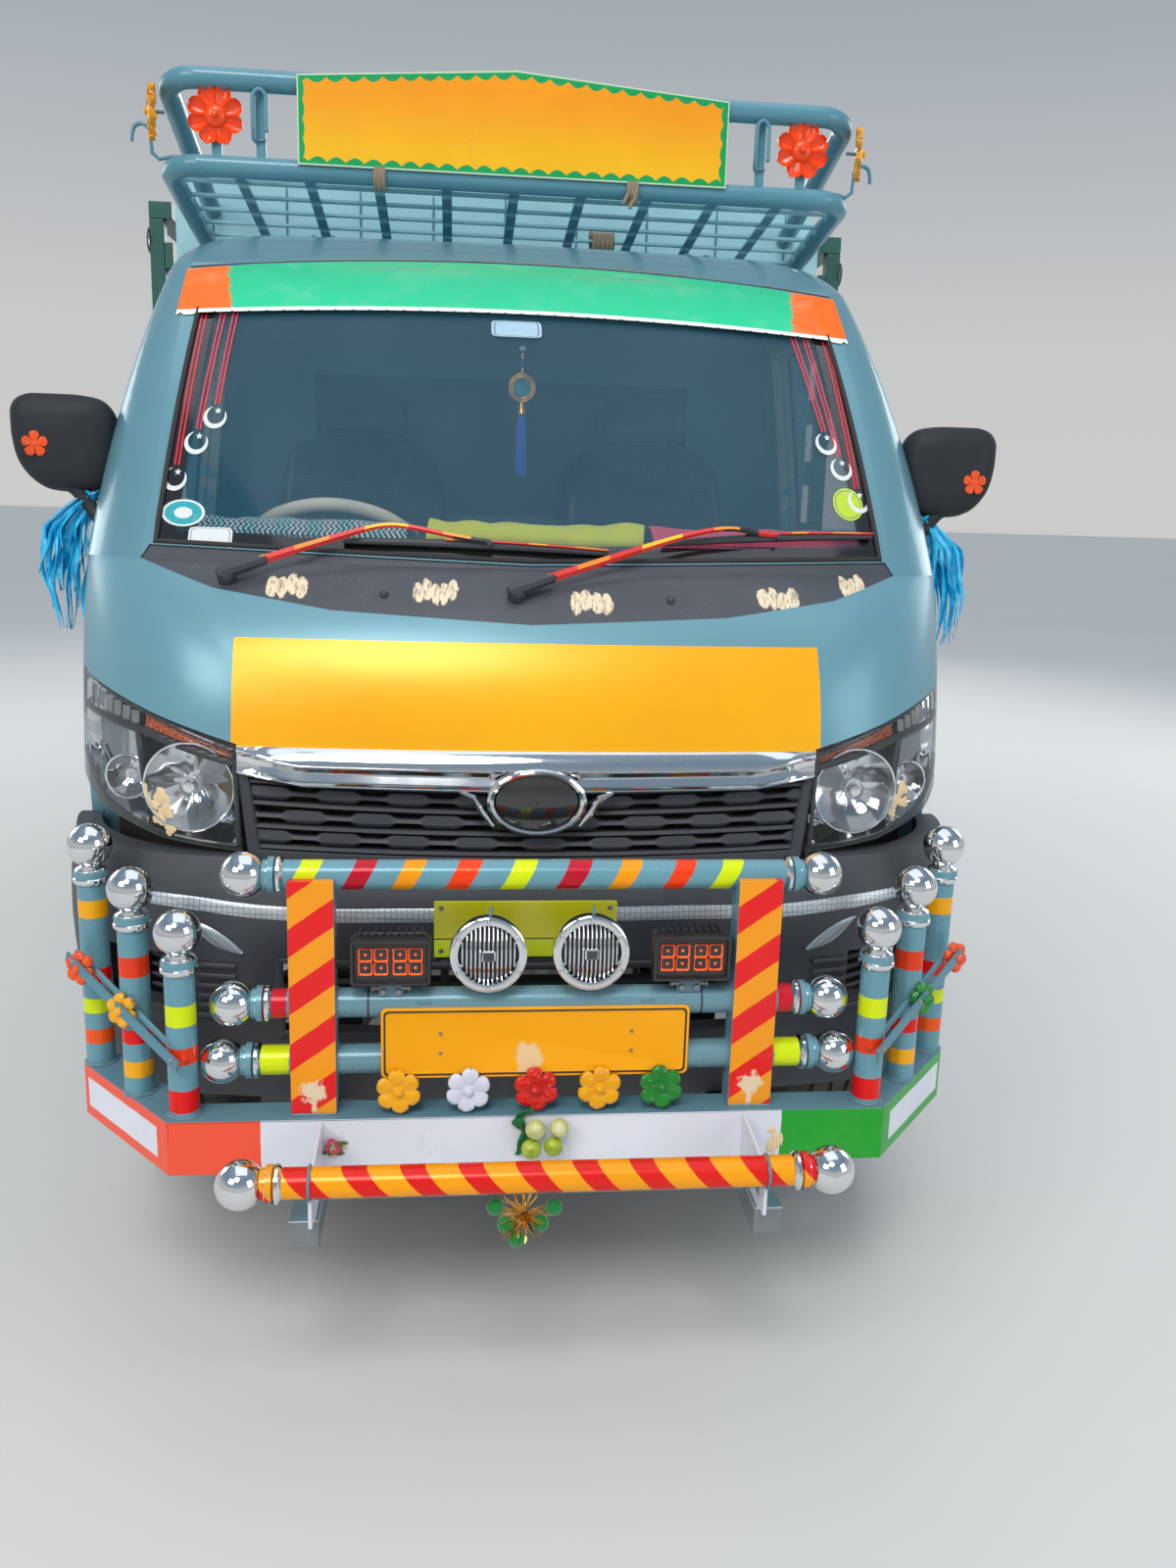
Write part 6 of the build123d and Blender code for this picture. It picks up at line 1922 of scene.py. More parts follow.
def glass_pattern():
    s = Sh("windscreen_glass", spec=0.8, ior=1.5)
    x, y, z = s.xyz()
    ax = s.absv(x)
    # distance in from the outline of the opening
    side = s.sub(s.sub(680.0, s.mul(s.sub(z, 1382.0), 16.0 / 550.0)), ax)
    xx = s.mul(x, 1 / 680.0)
    bottom = s.sub(z, s.add(1364.0, s.mul(s.mul(ax, 1 / 680.0), 18.0)))
    top = s.sub(s.sub(1948.0, s.mul(s.mul(ax, 1 / 664.0), 16.0)), z)
    d = s.minv(s.minv(s.sub(side, 36.0), s.sub(bottom, 24.0)), s.sub(top, 26.0))
    # frit with dots fading inwards
    cell = s.voro(150.0, vec=s.scaled((1, 0.0, 1.25)), rnd=0.0)
    dots = s.inv(s.step(s.add(s.mul(cell, 0.9), s.mul(d, 0.045)), 0.40, 0.44))
    frit = s.maxv(s.inv(s.step(d, -0.5, 0.5)), s.mul(dots, s.inv(s.step(d, 8, 12))))
    frit = s.mul(frit, s.inv(s.step(y, 1500, 1501)))
    dirt = s.ramp(s.noise(2.6, 6, 0.65), [(0.45, (0, 0, 0)), (0.8, (1, 1, 1))])
    f = s.math("MULTIPLY", dirt, 0.06, clamp=True)
    # the blue base colour is partly the glass's tint and partly a painted reflection of the sky
    col = s.mix(frit, s.mix(f, (0.030, 0.150, 0.235), (0.36, 0.48, 0.54)), (0.010, 0.010, 0.011))
    s.set(col=col, rough=0.08, alpha=s.maxv(s.math("ADD", 0.20, s.mul(f, 0.5), clamp=True), frit))
    MAT["screen_glass"] = s.m
    give("cab_glass", s.m)


def screen_seal():
    """Rubber seal in the gap round the glass, and the silver line above it."""
    g = Geo()
    line = []
    pts = [(lerp(-667, -680, i / 13), lerp(1842, 1382, i / 13)) for i in range(13)]
    pts += [(lerp(-680, 0, i / 16), lerp(1382, 1364, i / 16)) for i in range(17)] + [(lerp(0, 680, i / 16), lerp(1364, 1382, i / 16)) for i in range(1, 17)]
    pts += [(lerp(680, 667, i / 13), lerp(1382, 1842, i / 13)) for i in range(1, 14)]
    P = []
    for x, z in pts:
        k = 0.994
        p, n = GLS.front(x * k, 1657 + (z - 1657) * 0.992)
        if p is None or p.y > 1500:
            p, n = SCR.front(x * k, z)
        P.append(p + n * 2.6)
    g.tube(P, 5.2, 8)
    g.make("screen_rubber", [MAT["rubber"]], smooth=60)
    # silver drip line above the strip
    g = Geo()
    P = []
    for i in range(61):
        x = lerp(-700, 700, i / 60)
        z = STRIP_TOP(x) + 7.0
        p, n = SCR.front(x, z)
        P.append(p + n * 0.8)
    g.tube(P, 3.4, 8, flat=0.5)
    g.make("roof_seal_line", [MAT["bare"]], smooth=60)


def sticker(name, shape, mats, bands, off=0.7, on=on_glass):
    """Concentric film: shape(t, k) gives (x, z) for angle t and scale k; bands are (k_out, k_in, material)."""
    g = Geo()
    n = 48
    for q, (a, b, mi) in enumerate(bands):
        rings = []
        for k in np.linspace(a, b, 4):
            rings.append([tuple(on(*shape(t, k), off + 0.04 * q)) for t in [i / n * 2 * PI for i in range(n)]])
        g.use(mi).grid(rings, wrap=True)
    return g.make(name, mats, smooth=60)


def film(name, col, col2=None, rough=0.35, fade=0.2):
    s = Sh(name, coat=0.3, coat_rough=0.15)
    c = s.mix(s.noise(50.0, 4, 0.6), col, col2 or tuple(k * 0.8 for k in col[:3]))
    c = s.mix(s.mul(s.ramp(s.noise(140.0, 3, 0.6), [(0.55, (0, 0, 0)), (0.7, (1, 1, 1))]), fade), c, (0.6, 0.6, 0.56))
    s.set(col=c, rough=rough)
    s.bump(s.noise(90.0, 2, 0.5), 0.1, 0.0005)
    return s.m


def squircle(cx, cz, rx, rz, p=4.0):
    def f(t, k):
        c, s_ = math.cos(t), math.sin(t)
        r = (abs(c) ** p + abs(s_) ** p) ** (-1 / p)
        return cx + rx * k * r * c, cz + rz * k * r * s_
    return f


def stickers():
    white, teal_, lime_, pale, red_ = film("film_white", srgb(232, 236, 236)), film("film_teal", srgb(30, 170, 180)), film("film_lime", srgb(196, 226, 30)), film("film_pale_blue", srgb(170, 204, 226)), film("film_red", srgb(230, 20, 50), fade=0.05)
    grey = film("film_grey", srgb(120, 134, 140))
    MAT.update(film_white=white, film_red=red_)
    sticker("sticker_oval", squircle(-632, 1436, 40, 24, 2.0), [white, teal_], [(1.0, 0.86, 0), (0.86, 0.42, 1), (0.42, 0.02, 0)])
    sticker("sticker_white", squircle(-578, 1392, 40, 20, 8.0), [white, grey], [(1.0, 0.90, 0), (0.90, 0.86, 1), (0.86, 0.02, 0)])
    sticker("sticker_disc", squircle(629, 1487, 31, 31, 2.0), [lime_, grey, white], [(1.0, 0.88, 0), (0.88, 0.82, 1), (0.82, 0.02, 0)])
    sticker("sticker_top", squircle(-12, 1822, 52, 18, 9.0), [pale, grey, white], [(1.0, 0.90, 0), (0.90, 0.84, 1), (0.84, 0.02, 0)])
    g = Geo()

    def line(p, q, w):
        rows = []
        n = 26
        d = Vector((q[0] - p[0], 0, q[1] - p[1])).normalized()
        e = Vector((-d.z, 0, d.x)) * w / 2
        for i in range(n + 1):
            x, z = lerp(p[0], q[0], i / n), lerp(p[1], q[1], i / n)
            rows.append([tuple(on_glass(x - e.x, z - e.z, 0.8)), tuple(on_glass(x + e.x, z + e.z, 0.8))])
        g.grid(rows)

    left = [((-587, 1838), (-595, 1640)), ((-612, 1838), (-624, 1590)), ((-650, 1836), (-655, 1522))]
    right = [((584, 1836), (606, 1630)), ((611, 1834), (628, 1580)), ((655, 1832), (653, 1518))]
    for a, b in left + right:
        s_ = 1 if a[0] > 0 else -1
        for o in (-3.6, 3.6):
            g.use(0)
            line((a[0] + o * 1.2, a[1]), (b[0] + o, b[1]), 3.2)
        # crescent with a star in it
        g.use(1)
        cx, cz, R = b[0], b[1] - 24, 20.0
        rows = []
        n = 26
        a0 = 0.70
        for i in range(n + 1):
            t = lerp(a0, 2 * PI - a0, i / n)
            wdt = 8.2 * max(0.0, math.sin(PI * i / n)) ** 0.8 + 0.6
            ca, sa = math.cos(t + 1.25), math.sin(t + 1.25)
            rows.append([tuple(on_glass(cx + (R + wdt * 0.4) * ca, cz + (R + wdt * 0.4) * sa, 1.0)), tuple(on_glass(cx + (R - wdt * 0.6) * ca, cz + (R - wdt * 0.6) * sa, 1.0))])
        g.grid(rows)
        star = []
        for k in range(10):
            r = 7.2 if k % 2 == 0 else 2.9
            t = PI / 2 + k * PI / 5
            star.append(tuple(on_glass(cx + 4 + r * math.cos(t), cz + 11 + r * math.sin(t), 1.2)))
        g.add(star, [tuple(range(10))])
    g.make("screen_crescents", [red_, white], smooth=60)


def wipers():
    s = Sh("wiper_tape", coat=0.25, coat_rough=0.25)
    x, y, z = s.xyz()
    wob = s.mul(s.sub(s.noise(60.0, 3, 0.5), 0.5), 4.0)
    # lengthwise split by the way the faces look: yellow and orange on faces that look up, red on faces that look down,
    # bare black at both ends and along the blade's foot; the yellow and orange on top are partly the tape's colours and
    # partly painted highlight
    r = s.math("FLOORED_MODULO", s.add(s.add(x, wob), 470.0), 500.0)
    n = s.node("MapRange", {"Value": r, "From Min": 0.0, "From Max": 500.0})
    up = s.ramp(n.outputs[0], [(0.0, srgb(232, 40, 14)), (0.10, srgb(250, 140, 10)), (0.22, srgb(230, 30, 16)), (0.34, srgb(252, 196, 14)), (0.50, srgb(230, 26, 16)), (0.62, srgb(250, 150, 10)), (0.72, srgb(22, 22, 24)), (0.80, srgb(226, 30, 18)), (0.93, srgb(250, 176, 14))], "CONSTANT")
    dn = s.ramp(n.outputs[0], [(0.0, srgb(214, 16, 20)), (0.34, srgb(236, 60, 14)), (0.50, srgb(214, 10, 24)), (0.66, srgb(24, 24, 26)), (0.80, srgb(226, 20, 30))], "CONSTANT")
    nz = s.node("SeparateXYZ", {0: s.node("NewGeometry").outputs["Normal"]}).outputs[2]
    c = s.mix(s.step(nz, -0.05, 0.12), dn, up)
    s.set(col=s.dusty(c, 0.2, low=3000), rough=0.4)
    s.bump(s.wave(1.0, vec=s.scaled((220, 0, 0)), dirn="X"), 0.3, 0.0008)
    MAT["wiper_tape"] = s.m
    g = Geo()
    for piv, bend, join, b0, b1 in (((-536, 390, 1337), (-268, 440, 1424), (-75, 424, 1400), (-337, 441, 1396), (143, 421, 1386)),
                                    ((-28, 338, 1321), (339, 452, 1434), (470, 476, 1424), (247, 442, 1406), (664, 514, 1428))):
        piv, bend, join, b0, b1 = (Vector(v) for v in (piv, bend, join, b0, b1))
        up = Vector((0, -0.62, 0.78))
        # spindle with its nut, and the black foot of the arm
        g.use(1).rev([(0, 13), (5, 13), (6, 11), (9, 10.5), (14, 6), (16, 0), (16, -12), (13, -22)], 24, piv, up)
        d = (bend - piv).normalized()
        side = d.cross(up).normalized()
        rows = []
        for t, w, h in ((-18, 2, 2), (-16, 9, 6), (-8, 12.5, 9), (10, 12.5, 10), (40, 10.5, 9), (72, 8.5, 7.5), (76, 5, 4)):
            c = piv + d * t + up * 5
            rows.append([c + side * w * 0.8 - up * h, c + side * w + up * h * 0.2, c + side * w * 0.6 + up * h, c - side * w * 0.6 + up * h, c - side * w + up * h * 0.2, c - side * w * 0.8 - up * h])
        g.grid(rows, wrap=True)
        # painted arm: a channel that rises, bends and comes down on the middle of the blade
        K = [piv + d * 60 + up * 5, lerp(piv, bend, 0.5) + up * 6, lerp(piv, bend, 0.85) + up * 5, bend + Vector((30, -3, 2)), lerp(bend, join, 0.6) + Vector((0, -5, 3)), join + Vector((0, -4, 2))]
        P = [Vector([spline(range(6), [k[a] for k in K], i / 8) for a in range(3)]) for i in range(41)]
        rows, n = [], len(P) - 1
        for i, p in enumerate(P):
            t = i / n
            h, w = lerp(8.4, 4.6, smoothstep(0, 0.6, t)), lerp(6.5, 4.0, t)
            rows.append([p + Vector((0, w * 0.5, -h)), p + Vector((0, -w * 0.5, -h)), p + Vector((0, -w, 0)), p + Vector((0, -w * 0.5, h)), p + Vector((0, w * 0.5, h)), p + Vector((0, w * 0.8, 0))])
        g.use(0).grid(rows, wrap=True)
        g.use(1).rod(join + Vector((0, -10, 0)), join + Vector((0, 12, -4)), 5.0, 12)
        # blade: curved bridge and rubber lip resting on the glass
        rows, lip, top_ = [], [], []
        m_ = 34
        for i in range(m_ + 1):
            t = i / m_
            x_ = lerp(b0.x, b1.x, t)
            zz = lerp(b0.z, b1.z, t) + 4 * math.sin(PI * t)
            gp = on_glass(x_, max(1390, zz), 0.0)
            p = Vector((x_, min(gp.y - 13, lerp(b0.y, b1.y, t) + 8), zz))
            h = 5.5 + 2.4 * math.sin(PI * t)
            rows.append([p + Vector((0, 3, -h)), p + Vector((0, -3.4, -h * 0.6)), p + Vector((0, -4.6, 0.5)), p + Vector((0, -2.6, h * 0.7)), p + Vector((0, 3, h))])
            top_.append(p + Vector((0, -2.4, h * 0.8 + 1.2)))
            lip.append([p + Vector((0, 3, -2.2)), p + Vector((0, 3, 2.2)), p + Vector((0, 7, 1.0)), Vector((x_, gp.y - 1.2, zz + 0.4)), Vector((x_, gp.y - 1.2, zz - 0.4)), p + Vector((0, 7, -1.0))])
        g.use(1).grid(rows, wrap=True)
        g.use(0).tube(top_[m_ // 2 - 4:], 4.0, 10, flat=0.6)
        g.use(2).grid(lip, wrap=True)
    g.make("wiper_pair", [MAT["wiper_tape"], MAT["black_plastic"], MAT["rubber"]], smooth=35, replaces=("wipers",), slot="dark_plastic")
    # washer jets
    g = Geo()
    for x in (-260, 250):
        p, n_ = Skin("cowl_panel").front(x, 1308)
        if p is not None:
            g.rev([(0, 8), (4, 7.5), (7, 4), (8, 0)], 16, p, (0, -0.5, 0.8))
    g.make("washer_jets", [MAT["black_plastic"]], smooth=45)


glass_pattern()
sun_strip()
screen_seal()
stickers()
wipers()


# ---- body sides: flame line by the pillar on the shell
def flame(s, base):
    x, y, z = s.xyz()
    d = s.add(s.mul(s.sub(y, 674.0), -0.738), s.mul(s.sub(z, 1352.0), 0.6747))
    along = s.add(s.mul(s.sub(y, 674.0), 0.6747), s.mul(s.sub(z, 1352.0), 0.738))
    ragged = s.mul(s.sub(s.noise(1.0, 3, 0.6, vec=s.scaled((10, 16, 16))), 0.5), 26.0)
    v = s.add(d, ragged)
    nx = s.absv(s.node("SeparateXYZ", {0: s.node("NewGeometry").outputs["Normal"]}).outputs[0])
    on = s.mul(s.mul(s.band(v, 6, 40, 1.0), s.band(along, -20, 800, 14)), s.step(nx, 0.45, 0.6))
    c = s.mix(s.step(v, 16, 20), srgb(230, 20, 10), s.mix(s.step(v, 27, 31), srgb(255, 110, 0), srgb(255, 206, 10)))
    base = s.mix(on, base, c)
    return base


MAT["shell"] = body_paint("body_shell", pattern=flame)
give(["cab_shell"], MAT["shell"])


def roof_bits():
    R = Skin("roof_panel")
    g = Geo()
    for sx in (-1, 1):
        for x0 in (430, 476):
            P = []
            for i in range(22):
                y = lerp(1330, 1740, i / 21)
                p, n = R.top(sx * x0, y)
                if p is None:
                    continue
                k = max(0.0, math.sin(PI * i / 21)) ** 0.3
                P.append(p + n * (0.5 + 2.2 * k))
            g.tube(P, [max(1.0, 6.0 * max(0.0, math.sin(PI * i / (len(P) - 1))) ** 0.35) for i in range(len(P))], 10, flat=0.7)
    for x0 in (-250, -85, 85, 250):
        P = []
        for i in range(22):
            y = lerp(1420, 1760, i / 21)
            p, n = R.top(x0, y)
            if p is not None:
                P.append(p + n * 0.8)
        g.tube(P, [max(1.0, 7.0 * max(0.0, math.sin(PI * i / (len(P) - 1))) ** 0.35) for i in range(len(P))], 10, flat=0.5)
    g.make("roof_ribs", [MAT["body"]], smooth=50)


roof_bits()


def doors_and_mirrors():
    s = Sh("mirror_silver", metal=1.0)
    s.set(col=s.mix(s.noise(9.0, 4, 0.6), (0.80, 0.82, 0.84), (0.62, 0.64, 0.66)), rough=s.math("ADD", 0.03, s.mul(s.noise(20.0, 4, 0.6), 0.07)))
    MAT["mirror_glass"] = s.m

    def speckle(s, base):
        x, y, z = s.xyz()
        v = s.maxv(s.ramp(s.voro(66.0), [(0.22, (1, 1, 1)), (0.30, (0, 0, 0))]), s.ramp(s.voro(118.0), [(0.24, (1, 1, 1)), (0.32, (0, 0, 0))]))
        along = s.add(s.mul(s.sub(s.absv(x), 905.0), 0.76), s.mul(s.sub(z, 1560.0), -0.65))
        band = s.inv(s.step(s.absv(s.add(along, s.mul(s.sub(s.noise(9.0, 2, 0.5), 0.5), 60.0))), 16, 44))
        zone = s.mul(band, s.ramp(s.noise(22.0, 4, 0.65), [(0.36, (0, 0, 0)), (0.50, (1, 1, 1))]))
        return s.mix(s.mul(v, zone), base, srgb(238, 224, 196))
    m = plastic("plastic_mirror", (0.045, 0.047, 0.052), rough=0.46, grain=700.0, dust=0.25, splat=speckle)
    for side in (1, -1):
        nm = "left" if side > 0 else "right"
        D = Skin("door_" + nm)
        cx, cz = 905.0, 1562.0
        ctrl = [(1001, 1628), (1003, 1580), (990, 1520), (952, 1478), (900, 1468), (848, 1471), (814, 1490), (801, 1545), (805, 1606), (826, 1640), (866, 1651), (920, 1653), (975, 1651)]
        n = 64
        loop = []
        for i in range(n):
            f = i / n * len(ctrl)
            k, t = int(f), f - int(f)
            P4 = [ctrl[(k + j - 1) % len(ctrl)] for j in range(4)]
            loop.append(tuple(0.5 * (2 * P4[1][a] + (P4[2][a] - P4[0][a]) * t + (2 * P4[0][a] - 5 * P4[1][a] + 4 * P4[2][a] - P4[3][a]) * t * t + (3 * P4[1][a] - P4[0][a] - 3 * P4[2][a] + P4[3][a]) * t ** 3) for a in (0, 1)))
        loop = [(min(1003.0, max(800.0, x)), min(1653.0, max(1467.0, z))) for x, z in loop]

        def ring(k, y):
            return [(side * (cx + (x - cx) * k), y, cz + (z - cz) * k) for x, z in loop]
        g = Geo()
        g.use(0).grid([ring(k, y) for k, y in ((0.01, 725.0), (0.3, 725.4), (0.55, 727.0), (0.74, 730.5), (0.87, 737), (0.94, 745), (0.98, 756), (1.0, 770), (1.0, 786), (0.988, 797), (0.97, 800), (0.95, 799), (0.935, 794), (0.93, 788))], wrap=True, flip=side < 0)
        g.use(1).grid([ring(k, y) for k, y in ((0.935, 793.0), (0.7, 793.6), (0.4, 794.0), (0.01, 794.2))], wrap=True, flip=side < 0)
        g.use(2)
        g.tube([(side * 884, 762, 1478), (side * 868, 757, 1455), (side * 846, 750, 1425), (side * 824, 742, 1396)], [19, 14, 13.5, 18], 18)
        g.rbox(side * 790, side * 832, 712, 770, 1368, 1402, 11)
        g.rev([(19, 0), (22, -4), (20, -12), (14, -16)], 24, (side * 886, 763, 1484), (side * 0.4, 0.1, 0.9))
        g.make("mirror_head_" + nm, [m, MAT["mirror_glass"], MAT["black_plastic"]], body="door_" + nm, smooth=42, replaces=("mirror_" + nm,), slot="dark_plastic")
        # moulded line round the housing, and the rounded plates used on the door
        def rr(w, h, r, n=8):
            pts = []
            for k, (sx, sz) in enumerate(((1, 1), (-1, 1), (-1, -1), (1, -1))):
                for j in range(n):
                    a = k * PI / 2 + j / (n - 1) * PI / 2
                    pts.append((sx * (w - r) + r * math.cos(a), sz * (h - r) + r * math.sin(a)))
            return pts
        g.tube(ring(1.002, 778.0), 1.5, 6, closed=True)
        g.make("mirror_line_" + nm, [MAT["black_plastic"]], body="door_" + nm, smooth=60)
        g = Geo()
        petals(g, (side * 948, 723.6, 1556 if side < 0 else 1540), (0, -1, 0), 25, 5, 4.0, 0.6, -0.5, 0.7, 9.5, groove=0.2)
        g.rev([(0, 1.8), (3.5, 1.4), (5.5, 0)], 16, (side * 948, 723.6, 1556 if side < 0 else 1540), (0, -1, 0))
        g.make("mirror_flower_" + nm, [MAT["flower_orange"]], body="door_" + nm, smooth=60)

        # door: handle, lock, window rubbers, lower moulding
        g = Geo()
        p, n = D.side(1560, 1215, side)
        if p is not None:
            xo = abs(p.x)
            g.use(1)
            rings = [[(side * (xo + dx), 1560 + a, 1215 + b) for a, b in rr(w, h, r)] for w, h, r, dx in ((76, 30, 14, 1.0), (74, 28, 13, 3.0), (70, 24, 11, 2.4), (66, 20, 9, -3.0))]
            g.grid(rings, wrap=True)
            g.add(rings[-1], [tuple(range(len(rings[-1])))])
            P = [(side * (xo + h_), 1560 + a, 1217) for a, h_ in ((-58, 2), (-54, 12), (-42, 19), (0, 21), (42, 19), (54, 12), (58, 2))]
            g.use(0).tube(P, [8, 8.5, 9, 9.5, 9, 8.5, 8], 14, flat=0.75, up=(0, 0, 1))
            g.use(2).rev([(0, 2.0), (6, 1.6), (8.6, 0)], 20, (side * (xo + 2.4), 1560 + 96, 1215), (side, 0, 0))
        # rubbers round the pane
        win = [(802, 1395), (1650, 1395), (1650, 1880), (1246, 1880)]
        P = []
        for i in range(4):
            a, b = win[i], win[(i + 1) % 4]
            L = math.hypot(b[0] - a[0], b[1] - a[1])
            k = max(2, int(L / 45))
            for j in range(k):
                y_, z_ = lerp(a[0], b[0], j / k), lerp(a[1], b[1], j / k)
                cy, cz = 1370, 1600
                p, n = D.side(y_ + (y_ - cy) * 0.022, z_ + (z_ - cz) * 0.022, side)
                q = Vector((side * (abs(p.x) if p is not None else 810), y_, z_))
                P.append(q + Vector((side * 0.6, 0, 0)))
        g.use(1).tube(P, 6.5, 8, closed=True, flat=0.8)
        # rub strip low on the door
        rows = []
        for i in range(26):
            y_ = lerp(1330, 1690, i / 25) if i else 1330
            row = []
            for dz, h_ in ((-26, 0.2), (-22, 4.0), (-8, 6.0), (8, 6.0), (22, 4.0), (26, 0.2)):
                p, n = D.side(y_, 760 + dz, side)
                xo = abs(p.x) if p is not None else 826
                row.append((side * (xo + h_), y_, 760 + dz))
            rows.append(row)
        g.use(1).grid(rows)
        g.make("door_fittings_" + nm, [MAT["black_plastic"], MAT["rubber"], MAT["bare"]], body="door_" + nm, smooth=45)


doors_and_mirrors()
# ---------------------------------------------------------------- bumper: tape, fins, blades, panel; pastes on the girder
def tape_mat(name="tape_silver"):
    s = Sh(name, coat=0.5, coat_rough=0.1)
    x, y, z = s.xyz()
    hexes = s.voro(105.0, vec=s.scaled((1, 0.0, 1)), feature="DISTANCE_TO_EDGE", rnd=0.25)
    e = s.inv(s.step(hexes, 0.05, 0.11))
    c = s.mix(e, srgb(198, 206, 212), srgb(128, 140, 150))
    c = s.mix(s.ramp(s.noise(8.0, 4, 0.6), [(0.45, (0, 0, 0)), (0.8, (0.5, 0.5, 0.5))]), c, srgb(160, 158, 150))
    s.set(col=s.dusty(c, 0.25, low=3000), rough=0.30, metal=0.25)
    s.bump(hexes, 0.2, 0.0004)
    return s.m


def bumper_bits():
    MAT["tape"] = tape_mat()
    path = [(-800, 801), (-737, 795), (-606, 793), (-472, 781), (-340, 779), (-206, 784), (0, 786), (268, 786), (442, 780), (552, 787), (673, 797), (804, 799)]
    xs = [p[0] for p in path]
    zs = [p[1] for p in path]
    lo, hi = [], []
    n = 150
    for i in range(n + 1):
        x = lerp(-806, 806, i / n)
        z = float(np.interp(x, xs, zs))
        w = 11.5 - 4.5 * smoothstep(560, 806, abs(x))
        lo.append((x, z - w))
        hi.append((x, z + w))
    zz = np.array([(a[1] + b[1]) / 2 for a, b in zip(lo, hi)])
    for _ in range(14):
        zz[1:-1] = (zz[:-2] + zz[2:] + 2 * zz[1:-1]) / 4
    for side in ("left", "right"):
        g = Geo()
        rr = []
        for i in range(n + 1):
            x = lo[i][0]
            if (side == "left" and x < 130) or (side == "right" and x > -130):
                continue
            w = (hi[i][1] - lo[i][1]) / 2
            rr.append([tuple(on_nose(x, zz[i] + k * w, 1.3 if abs(k) < 1 else 0.5, BUMP)[0]) for k in (-1, -0.9, 0, 0.9, 1)])
        A = np.array(rr)
        for _ in range(4):
            Q = A.copy()
            Q[1:-1, :, 1] = (A[:-2, :, 1] + A[2:, :, 1] + 2 * A[1:-1, :, 1]) / 4
            Q[:, :, 1] = np.minimum(Q[:, :, 1], A[:, :, 1] + 0.6)
            A = Q
        g.grid([[tuple(p) for p in r] for r in A])
        g.make("bumper_tape_" + side, [MAT["tape"]], smooth=60)

    # fins in the fog-lamp recesses, louvre bars and the pale blades beside them
    g = Geo()
    for sx in (-1, 1):
        for z in (590, 609, 628, 647, 666, 685):
            P = []
            for i in range(16):
                x = sx * lerp(505, 668, i / 15)
                p, n_ = on_nose(x, z + 10 * smoothstep(560, 668, abs(x)), 0, BUMP)
                P.append(Vector((x, p.y - 5.0, p.z)))
            g.use(0).tube(P, [4.6] * 15 + [2.0], 8, flat=0.5, up=(0, 1, 0))
        rows = []
        for i in range(14):
            t = i / 13
            x, z = sx * lerp(492, 585, t), lerp(708, 762, t ** 1.15)
            w = 1.2 + 11.0 * math.sin(PI * min(1.0, t * 0.98 + 0.02)) ** 0.8
            row = []
            for k, o in ((-1, 0.4), (-0.6, 3.0), (0, 4.4), (0.6, 3.0), (1, 0.4)):
                row.append(tuple(on_nose(x - sx * k * w * 0.5, z + k * w * 0.86, o, BUMP)[0]))
            rows.append(row)
        g.use(1).grid(rows)
    s = Sh("trim_pale_grey", coat=0.3, coat_rough=0.1)
    s.set(col=s.dusty(s.mix(s.noise(12.0, 3, 0.5), srgb(166, 176, 182), srgb(140, 150, 158)), 0.3), rough=0.3, metal=0.5)
    g.make("bumper_fins", [MAT["black_plastic"], s.m], smooth=45)

    # centre louvres behind the guard
    g = Geo()
    for z in (560, 588, 616, 644, 672, 700):
        P = []
        for i in range(31):
            x = lerp(-430, 430, i / 30)
            p, n_ = on_nose(x, z, 0, BUMP)
            P.append(Vector((x, p.y - 4.0, z)))
        g.tube(P, 5.0, 8, flat=0.5, up=(0, 1, 0))
    for x in (-430, -150, 150, 430):
        P = []
        for i in range(9):
            z = lerp(552, 708, i / 8)
            p, n_ = on_nose(x, z, 0, BUMP)
            P.append(Vector((x, p.y - 3.0, z)))
        g.tube(P, 7.0, 8, flat=0.5, up=(0, 1, 0))
    g.make("bumper_louvres", [MAT["black_plastic"]], smooth=45)

    # blank two-tone panel behind the horns
    s = Sh("panel_lime", coat=0.4, coat_rough=0.1)
    x, y, z = s.xyz()
    c = s.mix(s.step(z, 748.0, 750.0), srgb(236, 252, 16), srgb(240, 232, 14))
    c = s.mix(s.band(z, 747.6, 750.4, 0.3), c, srgb(70, 80, 20))
    c = s.mix(s.mul(s.ramp(s.noise(6.0, 4, 0.6), [(0.4, (0, 0, 0)), (0.8, (1, 1, 1))]), 0.3), c, srgb(210, 206, 60))
    s.set(col=s.dusty(c, 0.1, low=3000), rough=0.35)
    s.bump(s.noise(60.0, 3, 0.5), 0.1, 0.0006)
    g = Geo()
    x0, x1, z0, z1 = -168.0, 142.0, 716.0, 816.0
    fy = lambda x_, z_: on_nose(x_, z_, 0, BUMP)[0].y
    base = min(fy(x_, z_) for x_ in (x0, -60, 40, x1) for z_ in (722, 766, 800)) - 3.0
    g.rbox(x0, x1, base - 2.4, base, z0, z1, 6.0)
    for bx, bz in ((x0 + 12, z1 - 12), (x1 - 12, z1 - 12), (x0 + 12, z0 + 12), (x1 - 12, z0 + 12)):
        g.use(1).rev([(0, 2.6), (3.0, 2.2), (4.6, 0)], 14, (bx, base - 2.3, bz), (0, -1, 0))
        g.rod((bx, base - 1, bz), (bx, fy(bx, bz) + 3, bz), 2.4, 8)
    g.make("panel_behind_horns", [s.m, MAT["bare"]], smooth=40)


